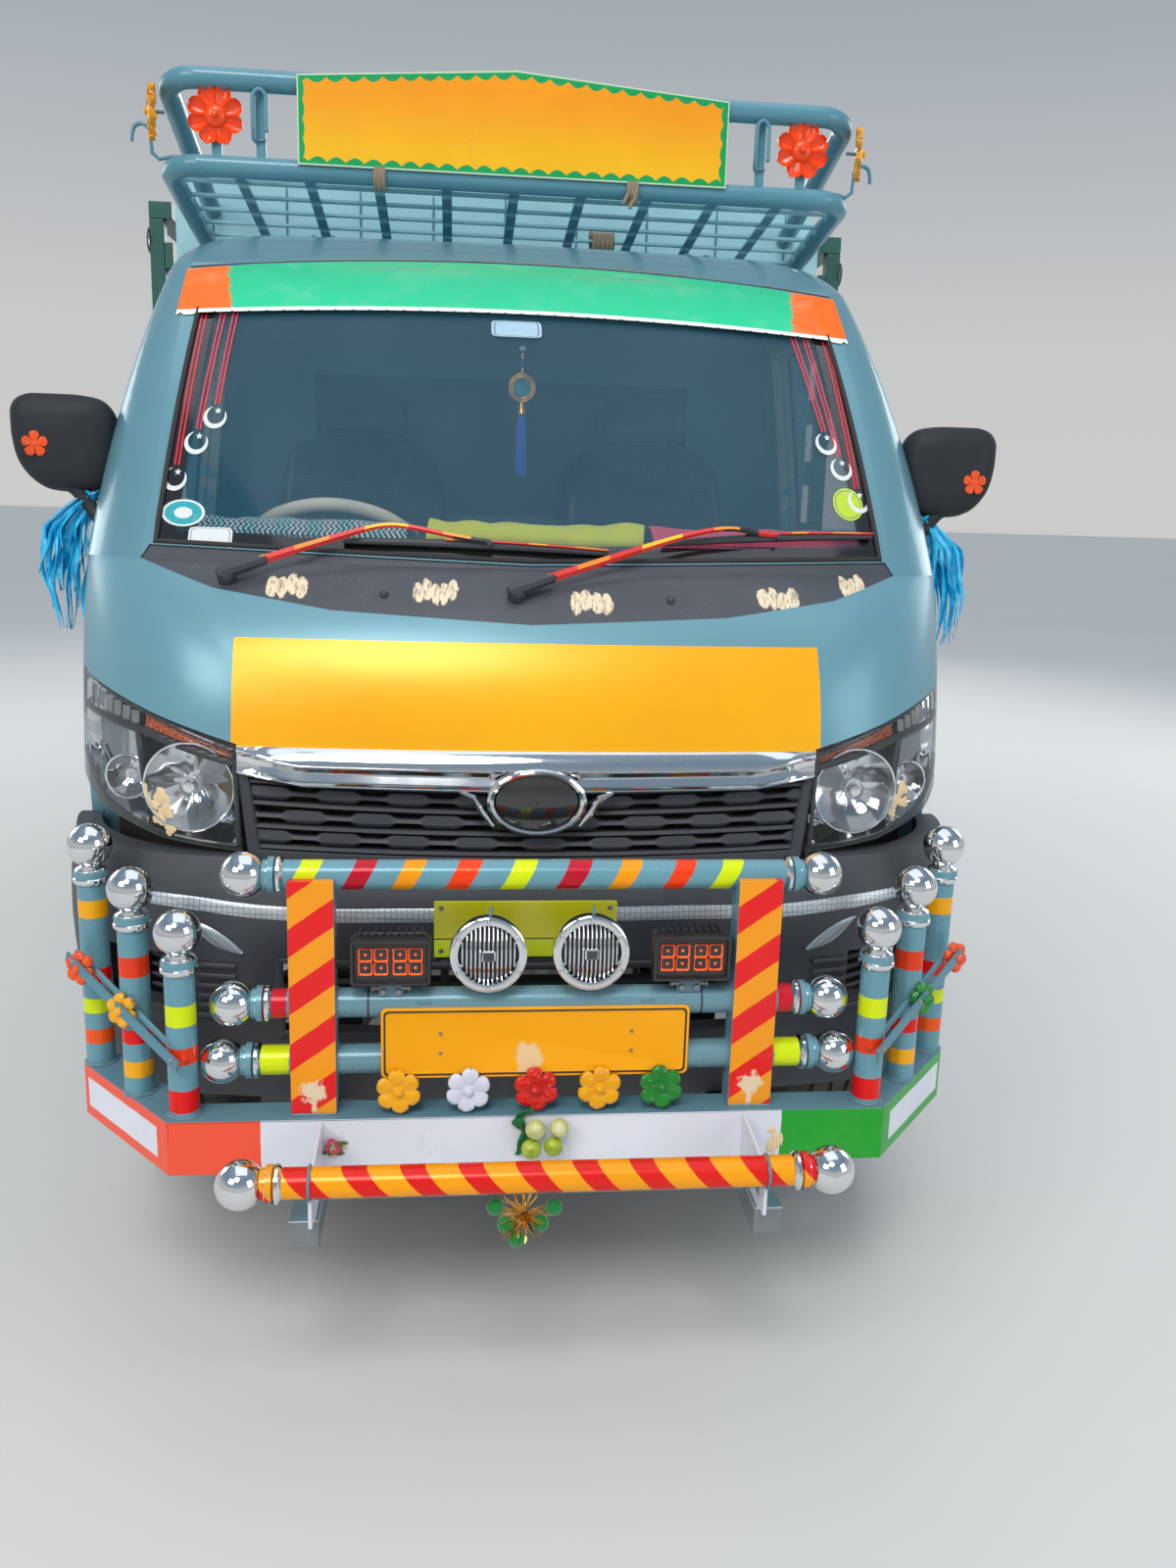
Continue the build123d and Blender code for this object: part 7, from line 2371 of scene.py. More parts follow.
def dried_bits():
    """Pale dabs and a dried flower stuck to the girder by the uprights."""
    G = Skin("guard_girder", "guard_uprights")
    g = Geo()
    rng = np.random.RandomState(61)
    for cx, cz, big, up in ((-330, 444, 0.9, 0), (-312, 452, 0.6, 0), (392, 438, 1.0, 1), (408, 447, 0.7, 1), (396, 460, 0.6, 1)):
        for k in range(7):
            ang = rng.uniform(0, 2 * PI)
            d = rng.uniform(0, 15) * big
            x, z = cx + d * math.cos(ang), cz + d * 0.8 * math.sin(ang)
            a = rng.uniform(-0.5, 0.5)
            L, Wd = rng.uniform(8, 15) * big, rng.uniform(2.6, 4.6) * big
            rings = []
            for k2, h in ((1.0, 0.2), (0.8, 1.5), (0.45, 2.2), (0.02, 2.3)):
                ring = []
                for i in range(14):
                    t = i / 14 * 2 * PI
                    u, v = L * k2 * math.cos(t), Wd * k2 * math.sin(t) * (1 + 0.25 * math.sin(3 * t + k))
                    px_, pz_ = x + u * math.sin(a) + v * math.cos(a), z + u * math.cos(a) - v * math.sin(a)
                    p, n = G.front(px_, pz_)
                    if p is None or p.y > 120:
                        ring = None
                        break
                    ring.append(tuple(p + n * h))
                if ring is None:
                    rings = None
                    break
                rings.append(ring)
            if rings and len(rings) == 4:
                g.use(0).grid(rings, wrap=True)
    # the rose: curled petals
    p, n = G.front(-326, 456)
    if p is not None:
        for k in range(9):
            t = k * 2.4
            c = p + Vector((9 * math.cos(t) * (0.3 + k / 12), -5.0 - (k % 3), 9 * math.sin(t) * (0.3 + k / 12)))
            rows = []
            for i in range(7):
                a = lerp(-1.1, 1.1, i / 6) + t
                rows.append([tuple(c + Vector((r * math.cos(a), -lift, r * math.sin(a)))) for r, lift in ((0.5, 0.2), (3.5, 2.5), (6.5, 3.6), (8.0, 2.2))])
            g.use(1 if k < 7 else 2).slab(rows, (0, 0.6, 0))
        for k, (dx, dz) in enumerate(((-14, -12), (10, -14), (16, 4))):
            c = p + Vector((dx, -2.5, dz))
            rows = [[tuple(c + Vector((lerp(-9, 9, i / 6), -1.2 * math.sin(PI * i / 6), w * math.sin(PI * i / 6)))) for w in (-3.6, 0, 3.6)] for i in range(7)]
            g.use(2).slab(rows, (0, 0.5, 0))
    rose = flower_mat("petal_pink_dry", srgb(232, 92, 120), srgb(150, 40, 50), srgb(245, 190, 180))
    leaf = flower_mat("leaf_dry", srgb(96, 124, 44), srgb(70, 60, 30), srgb(160, 170, 80))
    g.make("girder_dabs", [MAT["paste"], rose, leaf], smooth=60)


bumper_bits()
dried_bits()
# ---------------------------------------------------------------- crown rack: colours, sign board, flowers, hooks, knots
def rack_materials():
    def two(s):
        x, y, z = s.xyz()
        nz = s.absv(s.node("SeparateXYZ", {0: s.node("NewGeometry").outputs["Normal"]}).outputs[2])
        # lateral flat bars of the lower grid get a paler teal: painted sunlight on their faces; the rear end, below z
        # 2190, is darker
        sunlit_lateral_bars = None
        for yc in (1400, 1500, 1600, 1700, 1800):
            b = s.band(y, yc - 14, yc + 14, 0.6)
            sunlit_lateral_bars = b if sunlit_lateral_bars is None else s.maxv(sunlit_lateral_bars, b)
        below = s.mul(s.inv(s.step(z, 2204, 2207)), s.inv(s.step(s.absv(x), 778, 782)))
        f = s.mul(sunlit_lateral_bars, below)
        c = s.mix(f, s.mix(s.noise(5.0, 3, 0.5), srgb(96, 152, 168), srgb(80, 134, 152)), srgb(150, 204, 214))
        rear = s.mul(s.step(y, 1835, 1845), s.inv(s.step(z, 2190, 2192)))
        return s.mix(rear, c, srgb(40, 84, 96))
    m = enamel("rack_paint", two, rough=0.26, coat=0.35, wear=0.4, dust=0.18, brush=0.25)
    give("crown_rack", m)
    MAT["rack_paint"] = m

    def board(s):
        x, y, z = s.xyz()
        ax = s.absv(x)
        top = s.sub(2440.0, s.mul(ax, 36.0 / 500.0))
        d = s.minv(s.sub(500.0, ax), s.minv(s.sub(z, 2214.0), s.sub(top, z)))
        w1 = s.sub(s.mul(s.absv(s.math("SINE", s.mul(s.add(x, 9.0), 0.074))), 2.0), 1.2)
        w2 = s.sub(s.mul(s.absv(s.math("SINE", s.mul(s.add(z, 4.0), 0.076))), 2.0), 1.2)
        vert = s.step(s.sub(s.sub(500.0, ax), d), -0.5, 0.5)
        wav = s.add(s.mul(vert, w1), s.mul(s.inv(vert), w2))
        lim = s.add(s.add(15.0, s.mul(wav, 5.6)), s.mul(s.sub(s.noise(20.0, 3, 0.6), 0.5), 4.0))
        g_ = s.inv(s.step(s.sub(d, lim), -0.5, 0.5))
        yel = s.mix(s.step(z, 2225, 2400), srgb(255, 188, 0), srgb(255, 150, 0))
        yel = s.mix(s.mul(s.noise(1.0, 3, 0.6, vec=s.scaled((6, 1, 40))), 0.25), yel, srgb(250, 204, 30))
        c = s.mix(g_, yel, s.mix(s.noise(25.0, 3, 0.5), srgb(0, 172, 96), srgb(0, 150, 80)))
        c = s.mix(s.inv(s.step(d, 3.2, 4.0)), c, srgb(206, 224, 190))
        back = s.step(s.node("SeparateXYZ", {0: s.node("NewGeometry").outputs["Normal"]}).outputs[1], 0.3, 0.6)
        return s.mix(back, c, srgb(84, 134, 148))
    give("sign_board", enamel("board_paint", board, rough=0.30, coat=0.3, wear=0.3, dust=0.12, brush=0.3), 0.6, 1)


def rack_flower(g, o, n_dir, R=64.0, up=(0, 0, 1), count=8):
    """Pressed sheet flower: cupped ridged petals round a domed centre with a bud."""
    petals(g, o, n_dir, R, count, 16.0, 1.0, 11.0, 1.6, R * 0.31, up=up, groove=3.2, tilt0=PI / 8)
    d = Vector(n_dir).normalized()
    g.rev([(0, 19.5), (4, 19.0), (7.0, 17.0), (8.6, 13.4), (9.0, 11.6), (12.0, 11.0), (18, 9.0), (23, 5.4), (26.0, 1), (26.5, -3), (0, -3)], 28, o, n_dir)


def rack_bits():
    g = Geo()
    for sx in (-1, 1):
        rack_flower(g, (sx * 685, 1313.0, 2312), (0, -1, 0))
    g.make("rack_flowers_red", [flower_mat("petal_sheet_red", srgb(252, 84, 0), srgb(236, 54, 0), srgb(255, 140, 70))], smooth=50)
    g = Geo()
    for sx in (-1, 1):
        # on a stalk outside the end of the rack
        rack_flower(g, (sx * 830, 1338, 2318), (sx * 0.96, -0.28, 0), R=60.0)
        g.use(1).rod((sx * 800, 1334, 2318), (sx * 831, 1338, 2318), 4.0, 10)
        g.use(0)
    g.make("rack_flowers_yellow", [flower_mat("petal_sheet_yellow", srgb(246, 176, 0), srgb(200, 120, 0), srgb(255, 214, 60)), MAT["rack_paint"]], smooth=50)

    g = Geo()
    for sx in (-1, 1):
        x = sx * 585
        P = [(x - 15, 1305, 2266), (x - 15, 1302, 2300), (x - 15, 1301, 2340)]
        P += [(x + 15 * math.cos(a), 1301, 2350 + 20 * math.sin(a)) for a in np.linspace(PI, 0, 11)]
        P += [(x + 15, 1301, 2340), (x + 15, 1301, 2310), (x + 15, 1300, 2284)]
        P = [(x - 11, 1312, 2262)] + P
        g.tube(P, 5.0, 10)
        g.ball((x + 15, 1300, 2284), 5.2)
        # weld beads
        for zz in (2266, 2394, 2210):
            g.rbox(x - 13, x + 13, 1310.5, 1315.5, zz - 3, zz + 3, 2.0)
    # outward hook at the side of the rack
    for sx in (-1, 1):
        P = [(sx * 800, 1500, 2262), (sx * 826, 1500, 2262), (sx * 852, 1500, 2256), (sx * 868, 1500, 2268), (sx * 871, 1500, 2300)]
        P += [(sx * (892 - 21 * math.cos(a)), 1500, 2312 + 21 * math.sin(a)) for a in np.linspace(0.25, 2.6, 10)]
        P += [(sx * 914, 1500, 2306), (sx * 915, 1500, 2292)]
        g.tube([Vector(p) for p in P], 5.0, 10)
    g.make("rack_hooks", [MAT["rack_paint"]], smooth=50)


def rack_knots():
    g = Geo()
    rng = np.random.RandomState(17)
    for (cx, cz, R, tail) in ((277, 2193, 14.0, True), (-315, 2194, 9.0, False)):
        for k in range(5):
            ax = Vector((rng.uniform(-0.4, 0.4), rng.uniform(-0.6, 0.6), 1)).normalized()
            P = []
            for i in range(20):
                a = i / 20 * 2 * PI
                P.append(Vector((cx, 1320, 2206)) + Vector((rng.uniform(-0.5, 0.5) + (k - 2) * 5.2, 0, 0)) + Vector((0, 29.2 * math.cos(a), 29.2 * math.sin(a) + (0.8 if k % 2 else -0.8))))
            g.tube(P, 4.4, 8, closed=True)
        if tail:
            P = [Vector((cx, 1292, 2196)) + Vector((6 * math.sin(i * 0.9), -1 - 0.4 * i, -7.5 * i + 0.2 * i * i)) for i in range(7)]
            g.tube(P, [4.4] * 6 + [5.2], 8)
            P = [Vector((cx - 10, 1292, 2192)) + Vector((-3 * i, -1.5, -6.0 * i)) for i in range(5)]
            g.tube(P, [4.2] * 5, 8)
    g.make("rack_knots", [MAT["jute"]], smooth=60)


rack_materials()
rack_bits()
rack_knots()
# ---------------------------------------------------------------- inside the cab
def pad_mesh(g, half, fn, M, n=26, k=6.5):
    """Closed stuffed form: a box of half sizes rounded by exponent k, shaped by fn(point, unit) and placed by M."""
    for ax in range(3):
        for sgn in (-1, 1):
            rows = []
            for i in range(n + 1):
                row = []
                for j in range(n + 1):
                    a = math.sin((2.0 * i / n - 1.0) * PI / 2 * 0.94) / math.sin(PI / 2 * 0.94)
                    b = math.sin((2.0 * j / n - 1.0) * PI / 2 * 0.94) / math.sin(PI / 2 * 0.94)
                    c = [0.0, 0.0, 0.0]
                    c[ax] = float(sgn)
                    c[(ax + 1) % 3], c[(ax + 2) % 3] = a, b
                    q = sum(abs(t) ** k for t in c) ** (1.0 / k)
                    u = Vector([t / q for t in c])
                    p = Vector((u.x * half[0], u.y * half[1], u.z * half[2]))
                    row.append(tuple(M @ fn(p, u)))
                rows.append(row)
            g.grid(rows, flip=(sgn < 0))


def frame_matrix(o, x, y, z):
    o, x, y, z = Vector(o), Vector(x).normalized(), Vector(y).normalized(), Vector(z).normalized()
    return Matrix(((x.x, y.x, z.x, o.x), (x.y, y.y, z.y, o.y), (x.z, y.z, z.z, o.z), (0, 0, 0, 1)))


def seat_material():
    s = Sh("seat_wrapped", coat=0.5, coat_rough=0.16, spec=0.3, sheen=0.15)
    w1 = s.wave(1.0, vec=s.scaled((260, 260, 260)), dirn="X")
    w2 = s.wave(1.0, vec=s.scaled((260, 260, 260)), dirn="Z")
    weave = s.mul(w1, w2)
    base = s.mix(s.mul(weave, 0.5), (0.032, 0.036, 0.042), (0.050, 0.055, 0.062))
    base = s.mix(s.mul(s.ramp(s.noise(3.0, 5, 0.6), [(0.4, (0, 0, 0)), (0.8, (1, 1, 1))]), 0.30), base, (0.22, 0.24, 0.26))
    s.set(col=s.dusty(base, 0.15, low=3000), rough=0.62)
    crease = s.noise(7.0, 4, 0.6, dist=1.2)
    s.bump(s.math("ABSOLUTE", s.sub(crease, 0.5)), 0.45, 0.012)
    return s.m


def seats():
    mat = seat_material()
    MAT["seat"] = mat
    piping = cloth_mat("seat_piping", (0.05, 0.055, 0.065), rough=0.5)
    for side in (-1, 1):
        nm = "right" if side < 0 else "left"
        cx = side * 385
        g = Geo()
        # cushion: crowned top, bolsters, four channels, sides drawn in between the corners
        def cushion(p, u):
            up = smoothstep(0.2, 0.95, u.z)
            ch = sum(math.exp(-((p.x - c) / 6.0) ** 2) for c in (-150, -50, 50, 150)) * smoothstep(-215, -180, p.y) * (1 - smoothstep(180, 215, p.y))
            cross = math.exp(-((p.y + 60) / 7.0) ** 2) * (1 - smoothstep(150, 165, abs(p.x)))
            bol = smoothstep(150, 215, abs(p.x)) * 9.0
            crown = 15.0 * (1 - (p.y / 240) ** 2) * (1 - (p.x / 245) ** 2)
            z = p.z + up * (crown - 6.5 * ch - 5.0 * cross + bol - 13.0)
            pull = 1 - 0.022 * (1 - (u.x) ** 4) if abs(u.y) > 0.8 else 1.0
            pull2 = 1 - 0.020 * (1 - (u.y) ** 4) if abs(u.x) > 0.8 else 1.0
            bulge = 1 + 0.016 * math.cos(u.z * PI / 2)
            return Vector((p.x * pull2 * bulge, p.y * pull * bulge, z))
        pad_mesh(g, (232, 229, 66), cushion, frame_matrix((cx, 1407, 1007), (1, 0, 0), (0, 1, 0.02), (0, -0.02, 1)))
        ob = g.make("seat_cushion_" + nm, [mat], smooth=70, slot="seat_fabric", weld=0.2, replaces=("seats",) if side < 0 else ())
        g = Geo()

        def back(p, u):
            fr = smoothstep(0.2, 0.95, -u.y)
            ch = sum(math.exp(-((p.x - c) / 6.0) ** 2) for c in (-100, 0, 100)) * smoothstep(-250, -200, p.z) * (1 - smoothstep(170, 220, p.z))
            cross = (math.exp(-((p.z - 60) / 7.0) ** 2) + math.exp(-((p.z + 110) / 7.0) ** 2)) * (1 - smoothstep(135, 150, abs(p.x)))
            bol = smoothstep(140, 205, abs(p.x)) * 10.0
            crown = 13.0 * (1 - (p.z / 290) ** 2) * (1 - (p.x / 240) ** 2)
            taper = 1 - 0.10 * smoothstep(60, 285, p.z)
            y = p.y - fr * (crown - 6.5 * ch - 5.0 * cross + bol - 12.0)
            pull = 1 - 0.02 * (1 - (u.z) ** 4) if abs(u.x) > 0.8 else 1.0
            return Vector((p.x * taper * pull, y, p.z - 10.0 * smoothstep(0.6, 1.0, u.z) * (p.x / 230) ** 2))
        d = Vector((0, 90, 550)).normalized()
        pad_mesh(g, (228, 52, 282), back, frame_matrix((cx, 1668, 1349), (1, 0, 0), (0, d.z, -d.y), d))
        ob = g.make("seat_back_" + nm, [mat], smooth=70, slot="seat_fabric", weld=0.2)
        g = Geo()

        def head(p, u):
            fr = smoothstep(0.2, 0.95, -u.y)
            return Vector((p.x * (1 - 0.14 * smoothstep(0, 70, p.z)), p.y - fr * (6.0 * (1 - (p.x / 125) ** 2) - 4.0), p.z))
        pad_mesh(g, (122, 44, 66), head, frame_matrix((cx, 1727, 1704), (1, 0, 0), (0, d.z, -d.y), d), n=18, k=4.5)
        ob = g.make("seat_head_" + nm, [mat], smooth=70, slot="seat_fabric", weld=0.2)
        # piping on the edge, head posts, reclining lever, runners
        g = Geo()
        loop = []
        for i in range(72):
            t = i / 72 * 2 * PI
            c, s_ = math.cos(t), math.sin(t)
            q = (abs(c) ** 6.5 + abs(s_) ** 6.5 + 0.60 ** 6.5) ** (-1 / 6.5)
            loop.append((cx + 235 * c * q * 0.997, 1407 + 232 * s_ * q * 0.997, 1007 + 66 * 0.60 * q + 3))
        g.use(0).tube(loop, 3.2, 6, closed=True)
        for dx in (-62, 62):
            g.use(1).rod((cx + dx, 1712, 1600), (cx + dx, 1727, 1668), 6.5, 12)
            g.use(2).rev([(0, 6), (9, 5), (12, 0), (12, -8)], 14, (cx + dx, 1709, 1627), d)
        for dx in (-180, 180):
            g.use(2).rbox(cx + dx - 16, cx + dx + 16, 1180, 1620, 930, 946, 4)
            g.use(1).rbox(cx + dx - 10, cx + dx + 10, 1160, 1640, 924, 932, 2)
        lx = cx - side * 240
        g.use(2).rev([(0, 8), (22, 6), (26, 0), (26, -6)], 20, (cx + side * 232, 1640, 1040), (side, 0, 0))
        g.make("seat_fittings_" + nm, [piping, MAT["bare"], MAT["black_plastic"]], smooth=45)


def steering():
    o = Vector((-390, 920, 1335))
    ax = Vector((0, math.sin(math.radians(40)), math.cos(math.radians(40))))
    p, q = frame_of(ax, (1, 0, 0))
    m = Sh("wheel_cover_beige", coat=0.12, coat_rough=0.3, spec=0.35)
    grime = m.ramp(m.noise(7.0, 5, 0.6), [(0.42, (0, 0, 0)), (0.75, (1, 1, 1))])
    m.set(col=m.mix(m.mul(grime, 0.5), srgb(240, 232, 208), srgb(204, 194, 166)), rough=0.6)
    dots = m.voro(330.0, rnd=0.1)
    m.bump(m.ramp(dots, [(0.1, (0, 0, 0)), (0.3, (1, 1, 1))]), 0.35, 0.0006)
    m.bump(m.noise(60.0, 4, 0.6), 0.2, 0.001)
    beige = m.m
    g = Geo()
    # stitched cover: three panels with raised seams
    rows = []
    n, k = 132, 16
    for i in range(n):
        t = i / n * 2 * PI
        c = o + (p * math.cos(t) + q * math.sin(t)) * 188
        rad = (p * math.cos(t) + q * math.sin(t))
        seam = sum(math.exp(-((((t - t0 + PI) % (2 * PI)) - PI) / 0.012) ** 2) for t0 in (0.6, 2.6, 4.7))
        row = []
        for j in range(k):
            a = j / k * 2 * PI
            r = 14.6 + 0.5 * math.cos(3 * a + t * 9) * 0.4 - 1.2 * seam + (0.45 if i % 2 else 0.0) * math.exp(-((a - PI) / 0.25) ** 2)
            row.append(tuple(c + rad * math.cos(a) * r + ax * math.sin(a) * r))
        rows.append(row)
    rows.append(rows[0])
    g.use(0).grid(rows, wrap=True, flip=True)
    # lacing round the inner side
    P = []
    for i in range(420):
        t = i / 420 * 2 * PI
        rad = p * math.cos(t) + q * math.sin(t)
        z = (1, 0, -1, 0)[i % 4]
        P.append(o + rad * (188 - 14.9) + ax * z * 3.2)
    g.use(1).tube(P, 0.8, 5, closed=True)
    # hub pad with rounded spokes
    g.use(2)
    hub = [(0, 24), (30, 23), (50, 19), (60, 12), (64, 2), (62, -14), (52, -26), (40, -28), (0, -28)]
    g.rev(hub, 40, o + ax * -4, ax, up=(1, 0, 0))
    for a in (-0.18, PI + 0.18, 1.5 * PI):
        rows = []
        rad = p * math.cos(a) + q * math.sin(a)
        tan = p * -math.sin(a) + q * math.cos(a)
        for i in range(12):
            r = lerp(50, 180, i / 11)
            w = lerp(26, 13, smoothstep(0, 1, i / 11))
            h = lerp(-2, -1, i / 11)
            ring = []
            for j in range(12):
                b = j / 12 * 2 * PI
                ring.append(tuple(o + rad * r + tan * w * math.cos(b) + ax * (h - 6 + 7.0 * math.sin(b))))
            rows.append(ring)
        g.grid(rows, wrap=True)
    g.use(3).rev([(0, 2.5), (20, 2.2), (23, 0)], 32, o + ax * 19.5, ax)
    g.make("steering_wheel_wrapped", [beige, MAT["black_plastic"], plastic("wheel_hub_plastic", (0.04, 0.042, 0.046), rough=0.5), MAT["grey_plastic"]],
           body="steering_wheel", smooth=50, replaces=("steering_wheel",), slot="beige_cover")


def dash_bits():
    D = Skin("dashboard")
    # padded top of the dashboard
    g = Geo()
    rows = []
    for i in range(49):
        x = lerp(-757, 757, i / 48)
        k = 1.0 - 0.55 * smoothstep(650, 757, abs(x))
        rows.append([(x, y, 1351 + (z - 1351) * k) for y, z in ((568, 1351), (573, 1374), (588, 1391), (618, 1401), (680, 1404), (740, 1398), (784, 1384), (806, 1366), (810, 1350))])
    g.grid(rows)
    g.add(rows[0], [tuple(range(9))])
    g.add(rows[-1], [tuple(range(9))[::-1]])
    for x in (-500, -250, 250, 500):
        for k in range(9):
            g.rbox(x - 70 + k * 16, x - 62 + k * 16, 590, 602, 1392, 1394.6, 0.8)
    g.make("dash_top_pad", [MAT["grey_plastic"]], smooth=45)
    g = Geo()
    # instrument hood and dials on the driver's side
    rows = []
    for i in range(25):
        a = lerp(PI, 0, i / 24)
        x, z = -390 + 178 * math.cos(a), 1396 + 30 * math.sin(a) ** 0.7 if 0 < i < 24 else 1394
        rows.append([(x, 640, z - 6), (x, 650, z + 2), (x, 720, z + 4), (x, 816, z - 2), (x, 818, z - 7)])
    g.use(0).slab(rows, (0, 0, -5))
    g.use(0).rbox(-560, -220, 812, 819, 1300, 1404, 4)
    for x, r in ((-455, 34), (-325, 34), (-390, 20)):
        g.use(1).rev([(r, 4), (r + 3, 3), (r + 4, 0)], 28, (x, 819, 1352), (0, 1, 0))
        g.use(2).rev([(0, 0.8), (r, 0.8)], 28, (x, 819, 1352), (0, 1, 0))
        g.use(3).rod((x, 820.6, 1352), (x + r * 0.7 * math.cos(2.3), 820.6, 1352 + r * 0.7 * math.sin(2.3)), 1.0, 6)
    # air outlets
    for x in (-690, -120, 120, 690):
        g.use(1).rev([(36, 3), (40, 3), (43, 0), (44, -2)], 28, (x, 813, 1290), (0, 1, 0))
        for k in range(-3, 4):
            w = math.sqrt(max(0, 34 ** 2 - (k * 9) ** 2))
            g.use(0).rbox(x - w, x + w, 811, 816, 1290 + k * 9 - 1.4, 1290 + k * 9 + 1.4, 1)
    # centre stack: blank radio slot, knobs, switches
    g.use(0).rbox(-95, 95, 810, 820, 1130, 1240, 6)
    g.use(2).rbox(-84, 84, 818, 822, 1186, 1232, 3)
    for x in (-52, 0, 52):
        g.use(1).rev([(0, 17), (12, 16), (14, 13), (15, 2), (17, 0)], 24, (x, 820, 1158), (0, 1, 0))
        g.use(3).rod((x, 837.5, 1162), (x, 837.5, 1169), 1.1, 6)
    for k in range(5):
        g.use(1).rbox(-232 + k * 22, -214 + k * 22, 811, 818, 1150, 1176, 2)
    # glove box lid and its catch
    P = [(x, 812.5, z) for x, z in ((180, 1235), (640, 1235), (655, 1220), (655, 1070), (640, 1055), (180, 1055), (165, 1070), (165, 1220))]
    g.use(1).tube(P, 2.2, 6, closed=True)
    g.use(0).rbox(370, 450, 811, 822, 1200, 1216, 4)
    # grab handle before the passenger
    P = [(400, 812, 1318), (405, 840, 1320), (430, 852, 1321), (560, 852, 1321), (585, 840, 1320), (590, 812, 1318)]
    g.use(0).tube(P, 9, 12)
    g.make("dashboard_fittings", [MAT["black_plastic"], MAT["grey_plastic"], MAT["led_black"], MAT["reflector"]], smooth=40)
    # column stalks and gear lever
    g = Geo()
    o = Vector((-390, 900, 1310))
    for sx in (-1, 1):
        g.use(0).tube([o + Vector((sx * 20, 0, 0)), o + Vector((sx * 90, 5, 10)), o + Vector((sx * 150, 12, 22))], [6, 5, 7], 10)
    g.use(1).tube([(-30, 1060, 930), (-34, 1046, 1010), (-40, 1030, 1100), (-44, 1024, 1160)], 6.0, 10)
    g.use(0).rev([(0, 44), (14, 42), (21, 32), (22, 18), (16, 4), (9, 0)], 22, (-44, 1024, 1158), (0, -0.1, 1))
    g.use(2).rev([(70, 0), (66, 8), (40, 26), (30, 40), (18, 58), (8, 74)], 26, (-30, 1060, 931), (0, -0.12, 1))
    g.use(1).tube([(30, 1230, 940), (28, 1150, 985), (28, 1110, 1000)], 9.0, 10)
    g.use(0).tube([(28, 1140, 988), (28, 1066, 1016)], 13.0, 12)
    g.make("cab_levers", [MAT["black_plastic"], MAT["bare"], MAT["rubber"]], smooth=45)


def dash_cloths():
    """Three folded cloths laid on the dashboard behind the windscreen."""
    PAD = ([568, 573, 588, 618, 680, 740, 784, 806], [1351, 1374, 1391, 1401, 1404, 1398, 1384, 1366])

    def pad_z(x, y):
        k = 1.0 - 0.55 * smoothstep(650, 757, abs(x))
        return 1351 + (float(np.interp(y, PAD[0], PAD[1])) - 1351) * k

    def cloth(name, x0, x1, y0, y1, mat, seed, folds, lift):
        rng = np.random.RandomState(seed)
        ph = rng.uniform(0, 2 * PI, 8)
        am = rng.uniform(0.5, 1.0, 8)
        n, m = 96, 20
        rows = []
        for j in range(m + 1):
            row = []
            for i in range(n + 1):
                u, v = i / n, j / m
                x = lerp(x0, x1, u) + 4 * math.sin(5 * v + ph[0])
                y = lerp(y0, y1, v) + 5 * math.sin(7 * u + ph[1])
                z = pad_z(x, y)
                h = sum(am[k] * math.sin(folds[k % len(folds)] * 2 * PI * u + (k + 1.5) * v * 2.2 + ph[k]) for k in range(4))
                # a low roll of cloth with soft folds along it
                roll = math.sin(PI * min(1.0, max(0.0, v))) ** 0.45 if 0.0 < v < 1.0 else 0.0
                row.append((x, y, z + 1.6 + roll * (lift + 5.0 * h / 2.2 + 1.6 * math.sin(34 * u + 3 * v + ph[5]))))
            rows.append(row)
        g = Geo()
        g.grid(rows)
        ob = g.make(name, [mat], smooth=80, fix=False)
        so = ob.modifiers.new("thick", "SOLIDIFY")
        so.thickness, so.offset = 0.0009, 1.0
        A = np.array(rows)
        d1, d2 = A[1:, :-1] - A[:-1, :-1], A[:-1, 1:] - A[:-1, :-1]
        area = float(np.linalg.norm(np.cross(d1, d2), axis=2).sum()) / 1e6
        L = float(np.linalg.norm(A[m // 2, 1:] - A[m // 2, :-1], axis=1).sum()) / 1000
        Wd = float(np.linalg.norm(A[1:, n // 2] - A[:-1, n // 2], axis=1).sum()) / 1000
        SHEETS.append((name, round(Wd * 1.03, 3), round(L * 1.03, 3), round(area, 5)))

    s = Sh("cloth_chevron", sheen=0.3)
    x, y, z = s.xyz()
    zz = s.add(x, s.mul(s.absv(s.sub(s.math("FLOORED_MODULO", y, 16.0), 8.0)), 1.0))
    st = s.step(s.math("SINE", s.mul(zz, 0.62)), -0.1, 0.1)
    c = s.mix(st, (0.012, 0.014, 0.016), s.mix(s.step(s.math("FLOORED_MODULO", x, 60.0), 28, 30), srgb(170, 226, 222), srgb(226, 236, 236)))
    s.set(col=s.dusty(c, 0.1, low=3000), rough=0.9)
    s.bump(s.wave(1.0, vec=s.scaled((1500, 1500, 0)), dirn="DIAGONAL"), 0.3, 0.0004)
    yel = cloth_mat("cloth_yellow_green", srgb(236, 255, 24), srgb(255, 240, 20))
    pink = cloth_mat("cloth_red_pink", srgb(240, 20, 60), srgb(250, 100, 140))
    cloth("dash_cloth_chevron", -620, -225, 584, 690, s.m, 3, (2, 3, 5), 24.0)
    cloth("dash_cloth_yellow", -190, 235, 590, 700, yel, 8, (1, 2, 4), 27.0)
    cloth("dash_cloth_pink", 246, 690, 584, 690, pink, 12, (1, 3, 4), 25.0)


SHEETS = []


